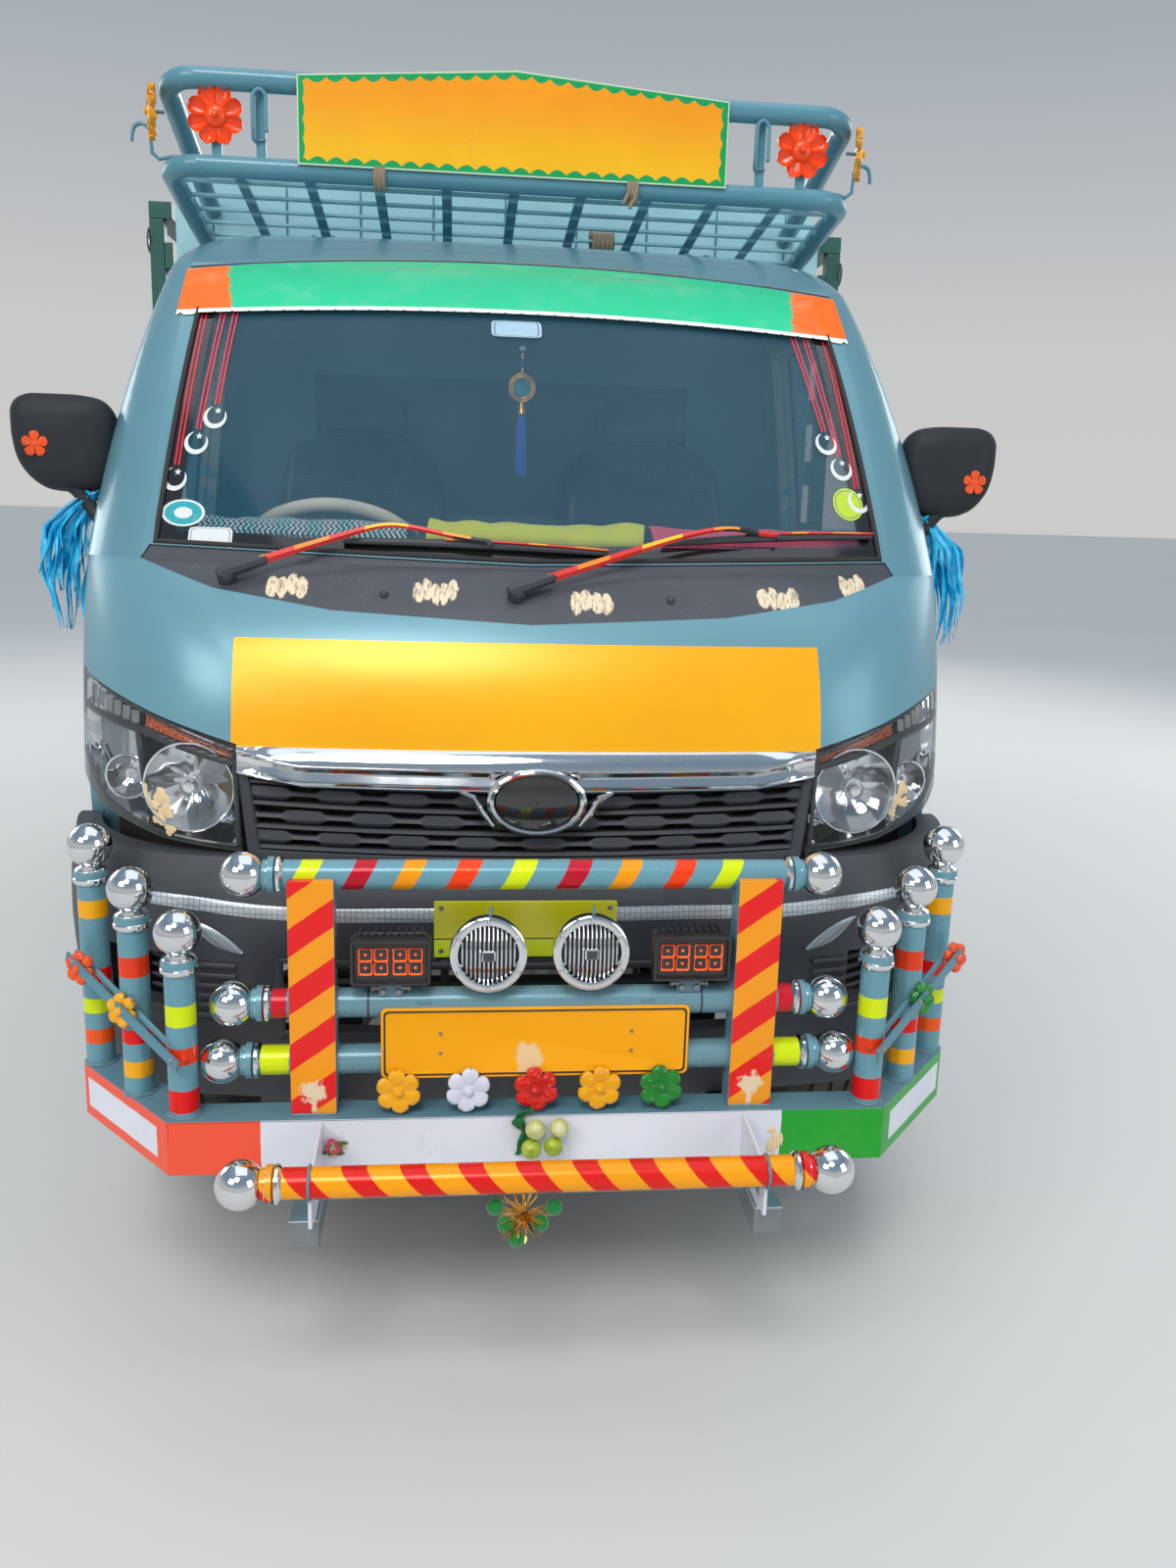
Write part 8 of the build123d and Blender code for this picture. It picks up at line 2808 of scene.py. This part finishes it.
def door_cards():
    for side in (1, -1):
        nm = "left" if side > 0 else "right"
        g = Geo()
        D = Skin("door_" + nm)
        q = D.cast((side * 300, 1400, 1100), (side, 0, 0))[0]
        xi = abs(q.x) if q is not None else 780
        xi -= 1.0
        # armrest, handle, window winder, pocket line
        rows = []
        for i in range(18):
            y = lerp(1250, 1600, i / 17)
            k = math.sin(PI * (0.06 + 0.88 * i / 17)) ** 0.3
            rows.append([(side * (xi + 1), y, 1140 - 30 * k), (side * (xi - 30 * k), y, 1146 - 26 * k), (side * (xi - 42 * k), y, 1146), (side * (xi - 36 * k), y, 1146 + 12 * k), (side * (xi + 1), y, 1150 + 14 * k)])
        g.use(0).grid(rows)
        g.use(1).rbox(side * (xi + 0), side * (xi - 6), 1010, 1090, 1180, 1212, 2)
        g.use(2).tube([(side * (xi - 8), 1020, 1196), (side * (xi - 14), 1040, 1196), (side * (xi - 14), 1082, 1196)], 5.5, 10)
        c = Vector((side * (xi - 3), 1180, 1010))
        g.use(1).rev([(0, 12), (20, 10), (23, 0)], 24, c, (-side, 0, 0))
        g.tube([c + Vector((-side * 10, 0, 0)), c + Vector((-side * 14, 40, 30)), c + Vector((-side * 14, 84, 62))], [7, 6, 6], 10)
        g.rod(c + Vector((-side * 12, 84, 62)), c + Vector((-side * 40, 84, 62)), 9.0, 14)
        P = [(side * (xi - 0.5), y_, z_) for y_, z_ in ((900, 900), (1500, 900), (1520, 880), (1520, 760), (1500, 742), (900, 742), (880, 760), (880, 880))]
        g.use(1).tube(P, 2.0, 6, closed=True)
        g.make("door_card_" + nm, [MAT["grey_plastic"], MAT["black_plastic"], MAT["bare"]], body="door_" + nm, smooth=45)


seats()
steering()
dash_bits()
dash_cloths()
door_cards()
# ---------------------------------------------------------------- wheels
def tyre_mats():
    s = Sh("tyre_tread", spec=0.35)
    x, y, z = s.xyz()
    base = s.mix(s.noise(9.0, 5, 0.6), (0.018, 0.018, 0.019), (0.036, 0.036, 0.037))
    base = s.dusty(base, 0.9, tone=(0.27, 0.22, 0.165), low=900.0)
    s.set(col=base, rough=s.math("ADD", 0.64, s.mul(s.noise(30.0, 4, 0.6), 0.2), clamp=True))
    s.bump(s.noise(420.0, 3, 0.6), 0.22, 0.0006)
    return s.m


def wheel_geo(g, side_slots):
    """Tyre in local mm: axis +Z outwards. Material 0 rubber."""
    P, PER = 64, 4
    N = P * PER
    col = [-84, -76, -66, -57, -49, -44, -42.5, -36, -34.5, -19, -4.8, -3.2, 3.2, 4.8, 19, 34.5, 36, 42.5, 44, 49, 57, 66, 76, 84]
    gro = {5: 0, 6: 8.0, 7: 8.0, 8: 0, 10: 0, 11: 8.0, 12: 8.0, 13: 0, 15: 0, 16: 8.0, 17: 8.0, 18: 0}
    side_out = [(343.5, 91), (336, 97.0), (324, 101.5), (321, 103.6), (312, 103.9), (309, 104.2), (290, 106.6), (275, 107.2), (262, 106.6), (246, 104.4), (243, 105.0), (226, 100.4), (223, 99.0), (210, 92), (200, 82), (197.5, 76), (192, 70)]
    rows = []
    for i in range(N):
        t = i / N * 2 * PI
        ph = i % PER
        row = []
        cut = ph in (0,)
        for r, h in reversed(side_out):
            rr = r
            if r > 320 and cut:
                rr = r - 2.2
            row.append((rr, -h, t))
        for k, h in enumerate(col):
            crown = 352.0 - 2.2 * (h / 84.0) ** 2 - 5.0 * smoothstep(72, 84, abs(h))
            d = gro.get(k, 0.0)
            hh = h
            if abs(h) < 50:
                hh = h + 2.6 * (abs(((i + (6 if abs(h) > 20 else 0)) % 12) - 6) / 3.0 - 1.0)
            if abs(h) > 47 and cut:
                d = 6.5
            if 19 >= abs(h) > 4.9 and i % 8 == 3:
                d = 3.5
            if 44 < abs(h) <= 49 and not cut:
                d = 0.0
            row.append((crown - d, hh, t))
        for r, h in side_out:
            rr = r
            if r > 320 and cut:
                rr = r - 2.2
            row.append((rr, h, t))
        rows.append([(r * math.cos(a), r * math.sin(a), h) for r, h, a in row])
    rows.append(rows[0])
    g.grid(rows)
    # sidewall marks: raised plain blocks and the wear-limit ticks, no lettering
    for s_ in (-1, 1):
        for k in range(4):
            a0 = k * PI / 2 + 0.3
            for j in range(9):
                a = a0 + j * 0.05
                c, n_ = math.cos(a), math.sin(a)
                rr = 258
                x, y = rr * c, rr * n_
                t = Vector((-n_, c, 0))
                r_ = Vector((c, n_, 0))
                b = Vector((x, y, s_ * 106.2))
                q = [b + r_ * u * 5 + t * v * 4 for u, v in ((-1, -1), (1, -1), (1, 1), (-1, 1))]
                top = [p + Vector((0, 0, s_ * 1.0)) for p in q]
                V = q + top
                F = [(4, 5, 6, 7), (0, 1, 5, 4), (1, 2, 6, 5), (2, 3, 7, 6), (3, 0, 4, 7)]
                g.add(V, F, flip=(s_ < 0))


def rim_geo(g, rear=False, drum=True):
    """Pressed steel rim, axis +Z outwards. Materials: 1 paint, 2 bare metal, 3 cast, 4 black."""
    prof = [(0, 40), (62, 40), (66, 37), (70, 34.2), (98, 33.6), (106, 31.5), (118, 28.4)]
    g.use(1)
    g.rev([(14, 40)] + prof[1:] + [(118, 23.4), (104, 26.6), (97, 28.4), (70, 29.0), (60, 34), (14, 34)], 72)
    # band with ten oval hand holes
    NH, M = 10, 28
    for k in range(NH):
        a_c = (k + 0.5) / NH * 2 * PI
        da = PI / NH
        outer, inner = [], []
        r0, r1 = 118.0, 164.0
        rm = 141.0
        for j in range(M):
            t = j / M * 2 * PI + PI / 4
            # border of the sector, walked round as a rounded square
            c, s_ = math.cos(t), math.sin(t)
            q = max(abs(c), abs(s_))
            outer.append((rm + (r1 - r0) / 2 * c / q, a_c + da * s_ / q))
            inner.append((rm + 12.5 * c, a_c + (23.0 / rm) * s_))
        def hgt(r):
            return float(np.interp(r, [118, 128, 141, 150, 160, 164], [28.4, 25.6, 24.2, 24.0, 25.4, 26.8]))
        rows = []
        for f, lift in ((0.0, 0.0), (0.4, 0.0), (0.75, 0.0), (0.9, 0.8), (1.0, 0.2)):
            rows.append([(lerp(o[0], i_[0], f), lerp(o[1], i_[1], f), lift) for o, i_ in zip(outer, inner)])
        pts = [[(r * math.cos(a), r * math.sin(a), hgt(r) + l) for r, a, l in row] for row in rows]
        lip = [(x, y, z - 5.0) for x, y, z in pts[-1]]
        back = [[(x, y, z - 5.0) for x, y, z in row] for row in pts[::-1]][1:]
        allr = pts + [lip] + back
        g.grid([r + [r[0]] for r in allr], flip=True)
    g.rev([(164, 26.8), (170, 29.6), (173.5, 34), (177, 58), (180, 66), (186, 72.5), (191, 76), (196, 76.4), (198, 73.5), (196.4, 70.4), (191, 68.4), (187, 66), (185.5, 0), (187, -66), (191, -68.4), (196.4, -70.4), (198, -73.5), (196, -76.4), (190, -76), (184, -72), (179.5, -64), (178.5, -30), (176, 8), (170, 18.5), (164, 21.8)], 96)
    # valve
    vx, vy = 170 * math.cos(0.31), 170 * math.sin(0.31)
    g.use(4).rod((vx, vy, 30), (vx * 0.955, vy * 0.955, 60), 3.6, 10)
    g.use(2).rod((vx * 0.955, vy * 0.955, 60), (vx * 0.945, vy * 0.945, 67), 2.6, 8)
    # balance weight
    g.use(2)
    rows = []
    for i in range(9):
        a = 2.2 + i * 0.022
        rows.append([(r * math.cos(a), r * math.sin(a), h) for r, h in ((183, 71), (180, 66), (176, 58), (173, 55.5), (172, 60), (177, 72))])
    g.grid(rows, wrap=True)
    # nuts on studs
    for k in range(5):
        a = k / 5 * 2 * PI + 0.2
        c = Vector((84 * math.cos(a), 84 * math.sin(a), 33.6))
        g.use(2).rev([(15, 0), (15, 2.0), (12.6, 4.0), (12.4, 4.0)], 24, c)
        g.rev([(12.2, 3.6), (12.2, 17), (9.8, 20.0), (6.4, 20.4), (6.2, 20.4)], 6, c)
        g.rev([(6.2, 18), (6.2, 25), (4.6, 26.6), (0, 26.8)], 16, c)
    # hub
    if rear:
        g.use(3).rev([(14, 40.5), (60, 40.5), (60, 50), (56, 53), (48, 53.5), (46, 60), (44, 70), (34, 74), (0, 74.5)], 48)
        for k in range(8):
            a = k / 8 * 2 * PI
            c = Vector((39 * math.cos(a) * 1.32, 39 * math.sin(a) * 1.32, 53))
            g.use(2).rev([(7.6, 0), (7.6, 5.2), (6.2, 6.4), (0, 6.4)], 6, c)
    else:
        g.use(3).rev([(14, 40.5), (58, 40.5), (57, 46), (44, 48.5), (34, 50), (33, 52)], 48)
        g.use(2).rev([(33, 51), (32.6, 60), (31, 66), (26, 70), (16, 72.4), (0, 73)], 40)
    if drum:
        prof = [(31.5, 7), (112, 7), (119, 4), (121, 0)]
        for k in range(6):
            prof += [(121, -4 - 8 * k), (117.5, -6 - 8 * k), (117.5, -9 - 8 * k), (121, -11 - 8 * k)]
        prof += [(121, -54), (118, -58), (108, -58), (106, -52), (31.5, -52), (31.5, 7)]
        g.use(3).rev(prof, 56)


def wheels():
    tread = tyre_mats()
    MAT["tread"] = tread

    def silver(s):
        x, y, z = s.xyz()
        return s.mix(s.noise(5.0, 4, 0.6), srgb(176, 180, 184), srgb(150, 154, 158))
    rim = enamel("rim_paint", silver, rough=0.36, metal=0.45, coat=0.2, wear=0.5, dust=0.75, brush=0.0, base_under=(0.11, 0.05, 0.025))
    mats = [tread, rim, MAT["bare"], MAT["cast"], MAT["black_plastic"]]
    for name, side, y in (("front_left", 1, 950), ("front_right", -1, 950), ("rear_left", 1, 3550), ("rear_right", -1, 3550)):
        M = Matrix(((0, 0, side, side * 700), (side, 0, 0, y), (0, 1, 0, 352), (0, 0, 0, 1)))
        g = Geo().at(M)
        wheel_geo(g.use(0), None)
        g.make("tyre_tread_" + name, [tread], body="wheel_" + name, smooth=38, replaces=("tyre_" + name,), slot="tyre_rubber", weld=0.05)
        g = Geo().at(M)
        rim_geo(g, rear="rear" in name)
        g.m = [max(0, k - 1) for k in g.m]
        g.make("rim_steel_" + name, mats[1:], body="wheel_" + name, smooth=34, replaces=("rim_" + name,), slot="rim_silver")
    M = Matrix(((1, 0, 0, 0), (0, -1, 0, 4385), (0, 0, -1, 362), (0, 0, 0, 1)))
    g = Geo().at(M)
    wheel_geo(g.use(0), None)
    rim_geo(g, rear=False, drum=False)
    g.make("spare_wheel_full", mats, smooth=36, replaces=("spare_wheel",), slot="tyre_rubber")
    # winch plate and stay of the spare wheel
    g = Geo()
    g.use(0).rod((0, 4385, 372), (0, 4385, 560), 7.0, 14)
    g.rbox(-60, 60, 4345, 4425, 398, 404, 3)
    g.use(1).rev([(0, 10), (9, 10), (10.5, 8), (10.5, 0)], 6, (0, 4385, 404))
    g.make("spare_winch", [MAT["chassis"], MAT["bare"]], smooth=40)


wheels()
# ---------------------------------------------------------------- load body, rear and chassis details
def round_reflector(g, c, d, R, lens=0, base=1):
    prof = [(R + 2.5, 0), (R + 2.5, 4.0), (R, 5.6), (R - 1.2, 5.0)]
    g.use(base).rev(prof, 32, c, d)
    g.use(lens).rev([(R - 1.0, 5.0), (R * 0.8, 6.2), (R * 0.4, 6.9), (0, 7.0)], 32, c, d)


def reflex(name, col, dark):
    s = Sh(name, coat=0.9, coat_rough=0.04, spec=0.6)
    x, y, z = s.xyz()
    cell = s.voro(260.0, rnd=0.0)
    s.set(col=s.dusty(s.mix(s.ramp(cell, [(0.1, (1, 1, 1)), (0.6, (0, 0, 0))]), dark, col), 0.3, low=3000), rough=0.16)
    s.bump(cell, 0.6, 0.0012)
    return s.m


def load_details():
    red = reflex("reflex_red", srgb(236, 20, 14), srgb(120, 0, 4))
    amber = reflex("reflex_amber", srgb(255, 140, 0), srgb(170, 60, 0))
    white = reflex("reflex_clear", srgb(232, 236, 238), srgb(150, 156, 160))
    MAT.update(reflex_red=red, reflex_amber=amber, reflex_white=white)
    post_y = [1905 + 62 + i * (2940 - 84) / 6 for i in range(7)]
    for side in (1, -1):
        nm = "left" if side > 0 else "right"
        g = Geo()
        # red discs high on the front posts, amber ones low along the panel
        for z in (2150, 1700):
            round_reflector(g, (side * 980, post_y[0], z), (side, 0, 0), 32, 0, 2)
        for i in (1, 3, 5):
            y = (post_y[i] + post_y[i + 1]) / 2
            round_reflector(g, (side * 940.2, y, 900), (side, 0, 0), 26, 1, 2)
        g.make("side_reflectors_" + nm, [red, amber, MAT["black_plastic"]], smooth=50)

        g = Geo()
        # rope hooks under the panel, bolts through the posts, pressed ribs between the posts
        for i in range(6):
            y = (post_y[i] + post_y[i + 1]) / 2
            x = side * 944
            P = [(side * 938, y - 34, 838), (x + side * 8, y - 34, 836), (x + side * 14, y - 30, 826), (x + side * 14, y, 818), (x + side * 14, y + 30, 826), (x + side * 8, y + 34, 836), (side * 938, y + 34, 838)]
            g.use(1).tube([Vector(p) for p in P], 6.0, 10)
        for y in post_y:
            for z in (862, 1228):
                for dy in (-12, 12):
                    g.use(2).rev([(0, 7.5), (6.0, 7.5), (7.0, 6.4), (7.0, 0)], 6, (side * 980, y + dy, z), (side, 0, 0))
                    g.rev([(11, 0), (11, 1.6), (7, 1.8)], 20, (side * 980, y + dy, z), (side, 0, 0))
            for z in (1400, 1580, 1760, 1940, 2110):
                g.use(2).rev([(0, 4.2), (4.4, 3.6), (8.2, 1.4), (9.0, 0)], 14, (side * 980, y, z), (side, 0, 0))
        for i in range(6):
            y0, y1 = post_y[i] + 40, post_y[i + 1] - 40
            for z in (960, 1060, 1160):
                rows = []
                for k in range(17):
                    y = lerp(y0, y1, k / 16)
                    hh = 5.0 * min(1.0, 6 * min(k / 16, 1 - k / 16) + 0.02)
                    rows.append([(side * (940.2), y, z - 22), (side * (940.2 + hh), y, z - 13), (side * (940.2 + hh), y, z + 13), (side * 940.2, y, z + 22)])
                g.use(0).grid(rows, flip=side > 0)
        g.make("side_body_details_" + nm, [MAT["body_green"], MAT["rack_paint"], MAT["bare"]], smooth=42)

    # tailgate: pressed ribs, locks at the ends, grab hooks, reflector strip; on the tailgate itself
    g = Geo()
    for z in (950, 1060, 1170):
        for x0, x1 in ((-880, -330), (-290, 290), (330, 880)):
            rows = []
            for k in range(25):
                x = lerp(x0, x1, k / 24)
                hh = 4.5 * min(1.0, 6 * min(k / 24, 1 - k / 24) + 0.02)
                rows.append([(x, 4881.2, z - 24), (x, 4881.2 + hh, z - 14), (x, 4881.2 + hh, z + 14), (x, 4881.2, z + 24)])
            g.use(0).grid(rows)
    for sx in (-1, 1):
        g.use(1).rbox(sx * 870, sx * 926, 4881, 4887, 1120, 1236, 3)
        g.rod((sx * 898, 4892, 1130), (sx * 898, 4892, 1232), 8.0, 14)
        g.rod((sx * 898, 4884, 1150), (sx * 898, 4892, 1150), 5.0, 10)
        g.rod((sx * 898, 4884, 1206), (sx * 898, 4892, 1206), 5.0, 10)
        g.tube([(sx * 898, 4894, 1150), (sx * 870, 4900, 1150), (sx * 836, 4900, 1146), (sx * 820, 4897, 1138)], [6, 6, 5.5, 5], 10)
        g.tube([(sx * 500 + 26 * math.cos(a), 4893 + 3 * math.sin(a), 1200 + 26 * math.sin(a)) for a in np.linspace(0, 2 * PI, 18)[:-1]], 4.0, 8, closed=True)
        g.use(2).rbox(sx * 480, sx * 520, 4881, 4890, 1216, 1236, 3)
    for k in range(8):
        x = -770 + k * 220
        g.use(3 if k % 2 else 4).rbox(x - 60, x + 60, 4880.8, 4883.4, 878, 898, 1)
    g.make("tailgate_details", [MAT["body_teal2"], MAT["bare"], MAT["chassis"], red, white], body="tailgate", smooth=42)

    # tail lamps
    g = Geo()
    for sx in (-1, 1):
        a, b = sx * 598, sx * 802
        x0, x1 = min(a, b), max(a, b)
        g.use(3).rbox(x0, x1, 4775, 4796, 420, 482, 6)
        w = (x1 - x0 - 16) / 3
        order = (0, 1, 2) if sx > 0 else (2, 1, 0)
        for k in range(3):
            m = (2, 1, 0)[k] if sx < 0 else (0, 1, 2)[k]
            m = (0, 1, 2)[order[k]]
            u0 = x0 + 6 + k * (w + 2)
            rows = []
            for i in range(13):
                x = lerp(u0, u0 + w, i / 12)
                e = min(1.0, 5 * min(i / 12, 1 - i / 12) + 0.05) ** 0.5
                rows.append([(x, 4794, 427), (x, 4794 + 9 * e, 431), (x, 4794 + 12.5 * e, 451), (x, 4794 + 9 * e, 471), (x, 4794, 475)])
            g.use(m).grid(rows)
        for bx in (x0 + 5, x1 - 5):
            g.use(4).rev([(0, 3), (3, 2.4), (4, 0)], 12, (bx, 4796, 451), (0, 1, 0))
    g.make("tail_lamp_units", [red, amber, white, MAT["black_plastic"], MAT["bare"]], smooth=45, replaces=("tail_lamps",), slot="red_lens")

    # headboard: rivets, and pressed upright ribs on its upper part
    g = Geo()
    for x in (-872, -300, 300, 872):
        for z in (1340, 1560, 1780, 2000):
            g.use(0).rev([(0, 4), (4.5, 3.4), (8, 1.2), (9, 0)], 14, (x, 1943, z), (0, 1, 0))
    H = Skin("headboard")
    for x in (-800, -600, -400, -200, 0, 200, 400, 600, 800):
        P = []
        for i in range(13):
            z = lerp(2150, 2300, i / 12) if abs(x) < 810 else 0
            p, n = H.front(x, z)
            if p is not None:
                P.append(p + n * 0.6)
        if len(P) > 3:
            g.use(1).tube(P, [max(1.0, 5.0 * max(0.0, math.sin(PI * i / (len(P) - 1))) ** 0.4) for i in range(len(P))], 8, flat=0.6)
    g.make("headboard_details", [MAT["bare"], MAT["rack_teal"]], smooth=45)


def leaf_springs():
    s = Sh("spring_steel", coat=0.1, coat_rough=0.3)
    r = s.ramp(s.noise(18.0, 6, 0.65), [(0.45, (0, 0, 0)), (0.68, (1, 1, 1))])
    base = s.mix(s.mul(r, 0.5), (0.026, 0.026, 0.029), (0.17, 0.075, 0.035))
    s.set(col=s.dusty(base, 0.7, low=1300.0), metal=0.3, rough=0.55)
    s.bump(s.noise(70.0, 5, 0.6), 0.3, 0.0012)
    g = Geo()
    for yc, n_leaf in ((950, 5), (3550, 7)):
        for sx in (-1, 1):
            def line(t, k):
                y = yc + 500 * t
                z = 459 - (466 - 410) * (1 - t * t) + 2.0
                return y, z - k * 10.4
            for k in range(n_leaf):
                L = 1.0 - 0.125 * k if k else 1.0
                rows = []
                n = 30
                for i in range(n + 1):
                    t = lerp(-L, L, i / n)
                    y, z = line(t, k)
                    w = 29.0 if abs(abs(t) - L) > 0.02 or k == 0 else 24.0
                    rows.append([(sx * 330 - w, y, z + 4.6), (sx * 330 + w, y, z + 4.6), (sx * 330 + w, y, z - 4.6), (sx * 330 - w, y, z - 4.6)])
                g.use(0).grid(rows, wrap=True)
                g.add(rows[0], [(0, 1, 2, 3)])
                g.add(rows[-1], [(3, 2, 1, 0)])
            for e in (-1, 1):
                g.use(0).rev([(10, -30), (21, -30), (21, 30), (10, 30)], 28, (sx * 330, yc + e * 505, 459), (1, 0, 0))
                g.use(2).rev([(0, -32), (9.8, -32), (9.8, 32), (0, 32)], 20, (sx * 330, yc + e * 505, 459), (1, 0, 0))
            y, z = line(0, n_leaf - 1)
            for dy in (-44, 44):
                P = [(sx * 330 - 38, yc + dy, z - 8), (sx * 330 - 38, yc + dy, 424), (sx * 330 - 30, yc + dy, 430), (sx * 330 + 30, yc + dy, 430), (sx * 330 + 38, yc + dy, 424), (sx * 330 + 38, yc + dy, z - 8)]
                g.use(1).tube(P, 6.0, 10)
            for yy in (-280, 280):
                g.use(1).rbox(sx * 330 - 34, sx * 330 + 34, yc + yy - 14, yc + yy + 14, line(yy / 500, 3)[1] - 7, line(yy / 500, 0)[1] + 6, 2)
    g.make("leaf_spring_packs", [s.m, MAT["chassis"], MAT["bare"]], smooth=40, replaces=("leaf_springs",))


def chassis_bits():
    g = Geo()
    # fuel tank: straps, cap; silencer bands; rivets along the rails
    for y in (2200, 2680):
        g.use(1).rbox(396, 694, y - 16, y + 16, 326, 329.6, 1)
        g.rbox(690.2, 693.6, y - 16, y + 16, 326, 644, 1)
        g.rbox(396, 694, y - 16, y + 16, 640.2, 643.6, 1)
        g.use(2).rev([(0, 12), (8, 11), (9, 8), (9, 0)], 6, (693, y, 500), (1, 0, 0))
    g.use(3).rev([(0, 26), (30, 25), (38, 20), (40, 4), (40, 0)], 30, (691, 2440, 560), (1, 0, 0))
    for a in range(6):
        t = a / 6 * 2 * PI
        g.rod((706, 2440 + 38 * math.cos(t), 560 + 38 * math.sin(t)), (714, 2440 + 38 * math.cos(t), 560 + 38 * math.sin(t)), 4, 8)
    for y in (2230, 2560):
        P = [(-200 + 82.5 * math.cos(a), y, z0 + 82.5 * math.sin(a)) for z0 in (SIL_Z,) for a in np.linspace(0, 2 * PI, 30)[:-1]]
        g.use(1).tube(P, 5.0, 8, closed=True, flat=2.0, up=(0, 1, 0))
    g.make("tank_and_silencer_bands", [MAT["chassis"], MAT["bare"], MAT["bare"], MAT["black_plastic"]], smooth=42)
    F = Skin("chassis_frame")
    g = Geo()
    for side in (1, -1):
        for k in range(34):
            y = 420 + k * 128
            for z in (500, 580):
                p, n = F.side(y, z, side)
                if p is not None and abs(n.x) > 0.8:
                    g.use(0).rev([(0, 5), (5, 4), (8.5, 1.5), (9, 0)], 12, p, n)
    g.make("rail_rivets", [MAT["chassis"]], smooth=45)


SIL_Z = 470.0
_q = Skin("exhaust").cast((-200, 2400, 0), (0, 0, 1))[0]
if _q is not None:
    SIL_Z = _q.z + 80.0
load_details()
leaf_springs()
chassis_bits()
# ---------------------------------------------------------------- size and end
lo, hi = CAD_BOX
lo2, hi2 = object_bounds()
{"cad_low": list(lo), "cad_high": list(hi), "shown_low": list(lo2), "shown_high": list(hi2)}
